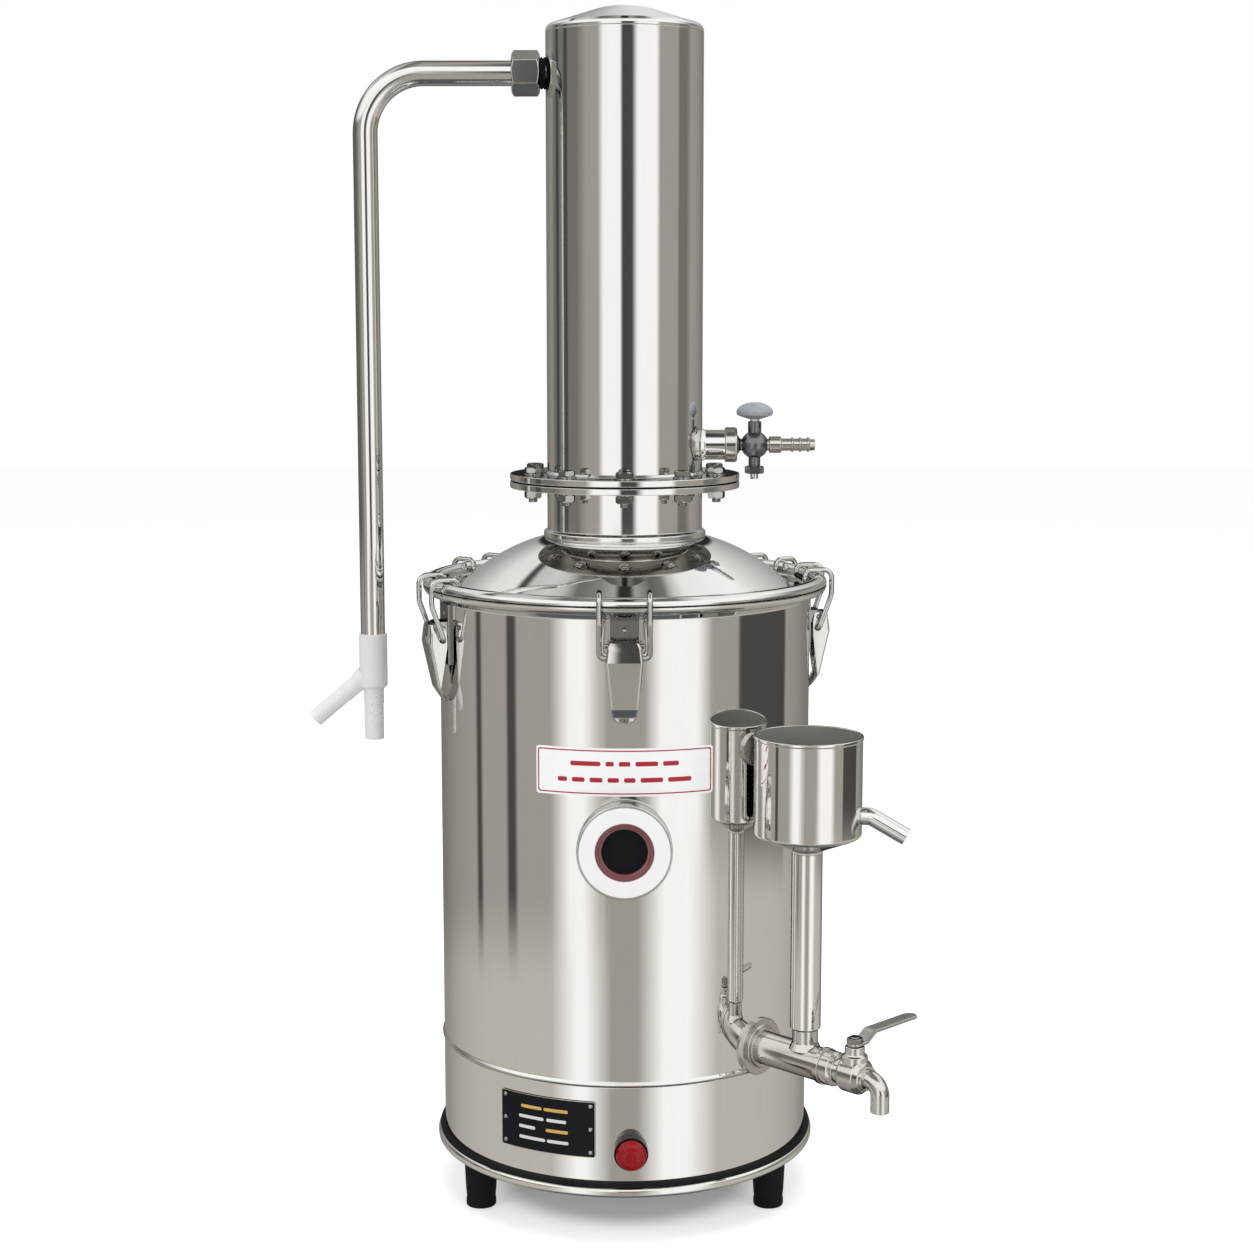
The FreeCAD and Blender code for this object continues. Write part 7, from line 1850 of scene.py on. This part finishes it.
    def world(self) -> None:
        """White where it is seen, a plain level where it lights, and bands where steel mirrors it.

        The bands run with the direction's azimuth, atan2(x, -y), one set for level directions
        above low_blend, one below it, and one for the foot. Steeper ones take their tone from
        the elevation, asin(z), as soft boxes and cards would show.
        """
        world = bpy.data.worlds.new("studio")
        bpy.context.scene.world = world
        world.use_nodes = True
        tree = world.node_tree
        tree.nodes.clear()
        way = node(tree, "ShaderNodeTexCoord").outputs["Generated"]
        azimuth, z = self.azimuth(tree, way)
        rise = maths(tree, "ARCSINE", z)
        foot, low, high = (self.around(tree, azimuth, bands)
                           for bands in (self.foot_bands, self.low_bands, self.high_bands))
        down = self.ramp(tree, rise, self.down_tones, -90.0, 0.0)
        up = self.ramp(tree, rise, self.up_tones, 0.0, 90.0)
        on_right = maths(tree, "GREATER_THAN", azimuth, 0.0)
        fall = maths(tree, "MULTIPLY_ADD", on_right, -math.radians(self.right_lift), rise)
        tone = self.between(tree, fall, foot, low, self.foot_blend)
        tone = self.between(tree, rise, tone, high, self.low_blend)
        tone = self.between(tree, rise, down, tone, self.down_blend)
        tone = self.lid_tones(tree, way, rise, tone, up)
        rays = node(tree, "ShaderNodeLightPath").outputs
        lit = mixed(tree, rays["Is Glossy Ray"], grey(self.surround), tone)
        direct = maths(tree, "MAXIMUM", rays["Is Camera Ray"], rays["Is Transmission Ray"])
        back = node(tree, "ShaderNodeBackground")
        tree.links.new(mixed(tree, direct, lit, grey(1.0)), back.inputs["Color"])
        tree.links.new(back.outputs[0], node(tree, "ShaderNodeOutputWorld").inputs["Surface"])

    def azimuth(self, tree: Tree, way: Socket) -> tuple[Socket, Socket]:
        """The azimuth atan2(x, -y) of a vector, and its z."""
        parts = node(tree, "ShaderNodeSeparateXYZ")
        tree.links.new(way, parts.inputs[0])
        flipped = maths(tree, "MULTIPLY", parts.outputs["Y"], -1.0)
        return maths(tree, "ARCTAN2", parts.outputs["X"], flipped), parts.outputs["Z"]

    def lid_tones(self, tree: Tree, way: Socket, rise: Socket, tone: Socket, up: Socket) -> Socket:
        """Adds what surfaces that lie back mirror: wedges on a dome, a soft sweep on flatter ones.

        The mirroring surface faces along way - view, whose tilt from upright is acos(z) and
        whose azimuth picks the wedge. Where it faces sideways it mirrors a dark card.

        Args:
            tree: the world's nodes.
            way: the mirrored direction.
            rise: its elevation.
            tone: the tone that upright surfaces mirror.
            up: the tone of what stands above.

        Returns:
            The tone for surfaces of every tilt.
        """
        half = vector_maths(tree, "SUBTRACT", way, self.view)[0]
        azimuth, z = self.azimuth(tree, vector_maths(tree, "NORMALIZE", half)[0])
        tilt = maths(tree, "ARCCOSINE", z)
        side = maths(tree, "ABSOLUTE", azimuth)
        wedges = self.ramp(tree, azimuth, self.dome_tones, -90.0, 90.0)
        foot = self.between(tree, side, wedges, grey(self.crescent), self.crescent_sides)
        dome = self.between(tree, tilt, foot, wedges, self.crescent_tilts)
        flat = self.ramp(tree, azimuth, self.flat_tones, -90.0, 90.0)
        back = self.between(tree, tilt, flat, dome, self.flat_tilts)
        over = self.between(tree, side, up, grey(self.side_card), self.card_sides)
        front = self.between(tree, rise, tone, over, self.up_blend)
        return self.between(tree, tilt, back, front, self.upright_tilts)

    def around(self, tree: Tree, azimuth: Socket, bands: Sequence[Band]) -> Socket:
        """The tones all the way round, from azimuth -180 to 180, as one ramp."""
        tones = [(-180.0, *bands[0].level.value)]
        for band, after in zip(bands, bands[1:]):
            tones.append((band.end - band.soft, *band.level.value))
            tones.append((band.end + band.soft, *after.level.value))
        return self.ramp(tree, azimuth, (*tones, (180.0, *bands[-1].level.value)), -180.0, 180.0)

    def between(self, tree: Tree, angle: Socket, below: Source, above: Source,
                ends: Pair) -> Socket:
        """One colour under the first angle, in degrees, and another over the second."""
        start, end = map(math.radians, ends)
        share = share_between(tree, angle, start, end, kind="SMOOTHSTEP")
        return mixed(tree, share, below, above)

    def ramp(self, tree: Tree, angle: Socket, tones: Tones, start: float, end: float) -> Socket:
        """A ramp from a start to an end angle in degrees, each stop a tone and its warmth."""
        made = node(tree, "ShaderNodeValToRGB")
        stops = made.color_ramp.elements
        stops.remove(stops[-1])
        for index, (at, tone, warmth) in enumerate(tones):
            position = (at - start) / (end - start)
            stop = stops[0] if index == 0 else stops.new(position)
            stop.position = position
            stop.color = opaque((tone, tone * (1 - 0.4 * warmth), tone * (1 - warmth)))
        share = share_between(tree, angle, math.radians(start), math.radians(end))
        tree.links.new(share, made.inputs["Fac"])
        return made.outputs["Color"]

    def floor(self) -> None:
        """A pale floor that keeps the soft shadow and lets mirrored rays through to the bands.

        Where the camera sees it, it glows, less so near its middle, by the distance from there: a
        painted contact shadow under the object.
        """
        half = self.floor_size / 2
        mesh = bpy.data.meshes.new("floor")
        mesh.from_pydata([(x * half, y * half, 0) for x, y in ((-1, -1), (1, -1), (1, 1), (-1, 1))],
                         [], [(0, 1, 2, 3)])
        floor = bpy.data.objects.new("floor", mesh)
        bpy.context.scene.collection.objects.link(floor)
        material = bpy.data.materials.new("pale_floor")
        material.use_nodes = True
        tree = material.node_tree
        tree.nodes.clear()
        matt = node(tree, "ShaderNodeBsdfDiffuse", in_Color=grey(0.8))
        glow = node(tree, "ShaderNodeEmission")
        rays = node(tree, "ShaderNodeLightPath").outputs
        level = maths(tree, "MULTIPLY", rays["Is Camera Ray"], self.floor_lift)
        place = node(tree, "ShaderNodeTexCoord").outputs["Object"]
        away = vector_maths(tree, "LENGTH", place)["Value"]
        # painted shadow: the glow drops towards the middle, darkening the floor under the base
        shade = share_between(tree, away, *self.painted_shadow_reach, self.painted_shadow_least, kind="SMOOTHSTEP")
        tree.links.new(maths(tree, "MULTIPLY", shade, level), glow.inputs["Strength"])
        both = node(tree, "ShaderNodeAddShader")
        feed(tree, both.inputs, (matt.outputs[0], glow.outputs[0]))
        clear = node(tree, "ShaderNodeBsdfTransparent")
        pick = node(tree, "ShaderNodeMixShader")
        feed(tree, pick.inputs, (rays["Is Glossy Ray"], both.outputs[0], clear.outputs[0]))
        tree.links.new(pick.outputs[0], node(tree, "ShaderNodeOutputMaterial").inputs["Surface"])
        mesh.materials.append(material)
        floor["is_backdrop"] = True

    def lamps(self) -> None:
        """Three large soft lamps: above, front left and front right; steel mirrors the bands."""
        for name, place, size, power in self.lamp_table:
            data = bpy.data.lights.new(f"lamp_{name}", "AREA")
            data.size, data.energy = size, power
            lamp = bpy.data.objects.new(f"lamp_{name}", data)
            lamp.location = place
            aim = np.array(self.lamp_aim) - np.array(place)
            lean = math.acos(-aim[2] / np.linalg.norm(aim))
            lamp.rotation_euler = (lean, 0, math.atan2(aim[1], aim[0]) - math.pi / 2)
            lamp.visible_glossy = False
            lamp.visible_camera = False
            bpy.context.scene.collection.objects.link(lamp)


def corners() -> list[list[float]]:
    """The box of what is shown, as its lowest and highest corner."""
    return [list(map(float, corner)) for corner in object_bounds()]


def main() -> None:
    """Loads the frame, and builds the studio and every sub-assembly."""
    logging.basicConfig(level=logging.INFO, format="%(message)s")
    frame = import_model()
    Studio().build()
    for assembly in (Base(), Boiler(), Lid(), Latches(), Condenser(), Cock(), Feed(), Tap()):
        LOG.info("%s", type(assembly).__name__)
        assembly.build(frame)


if __name__ == "__main__":
    main()
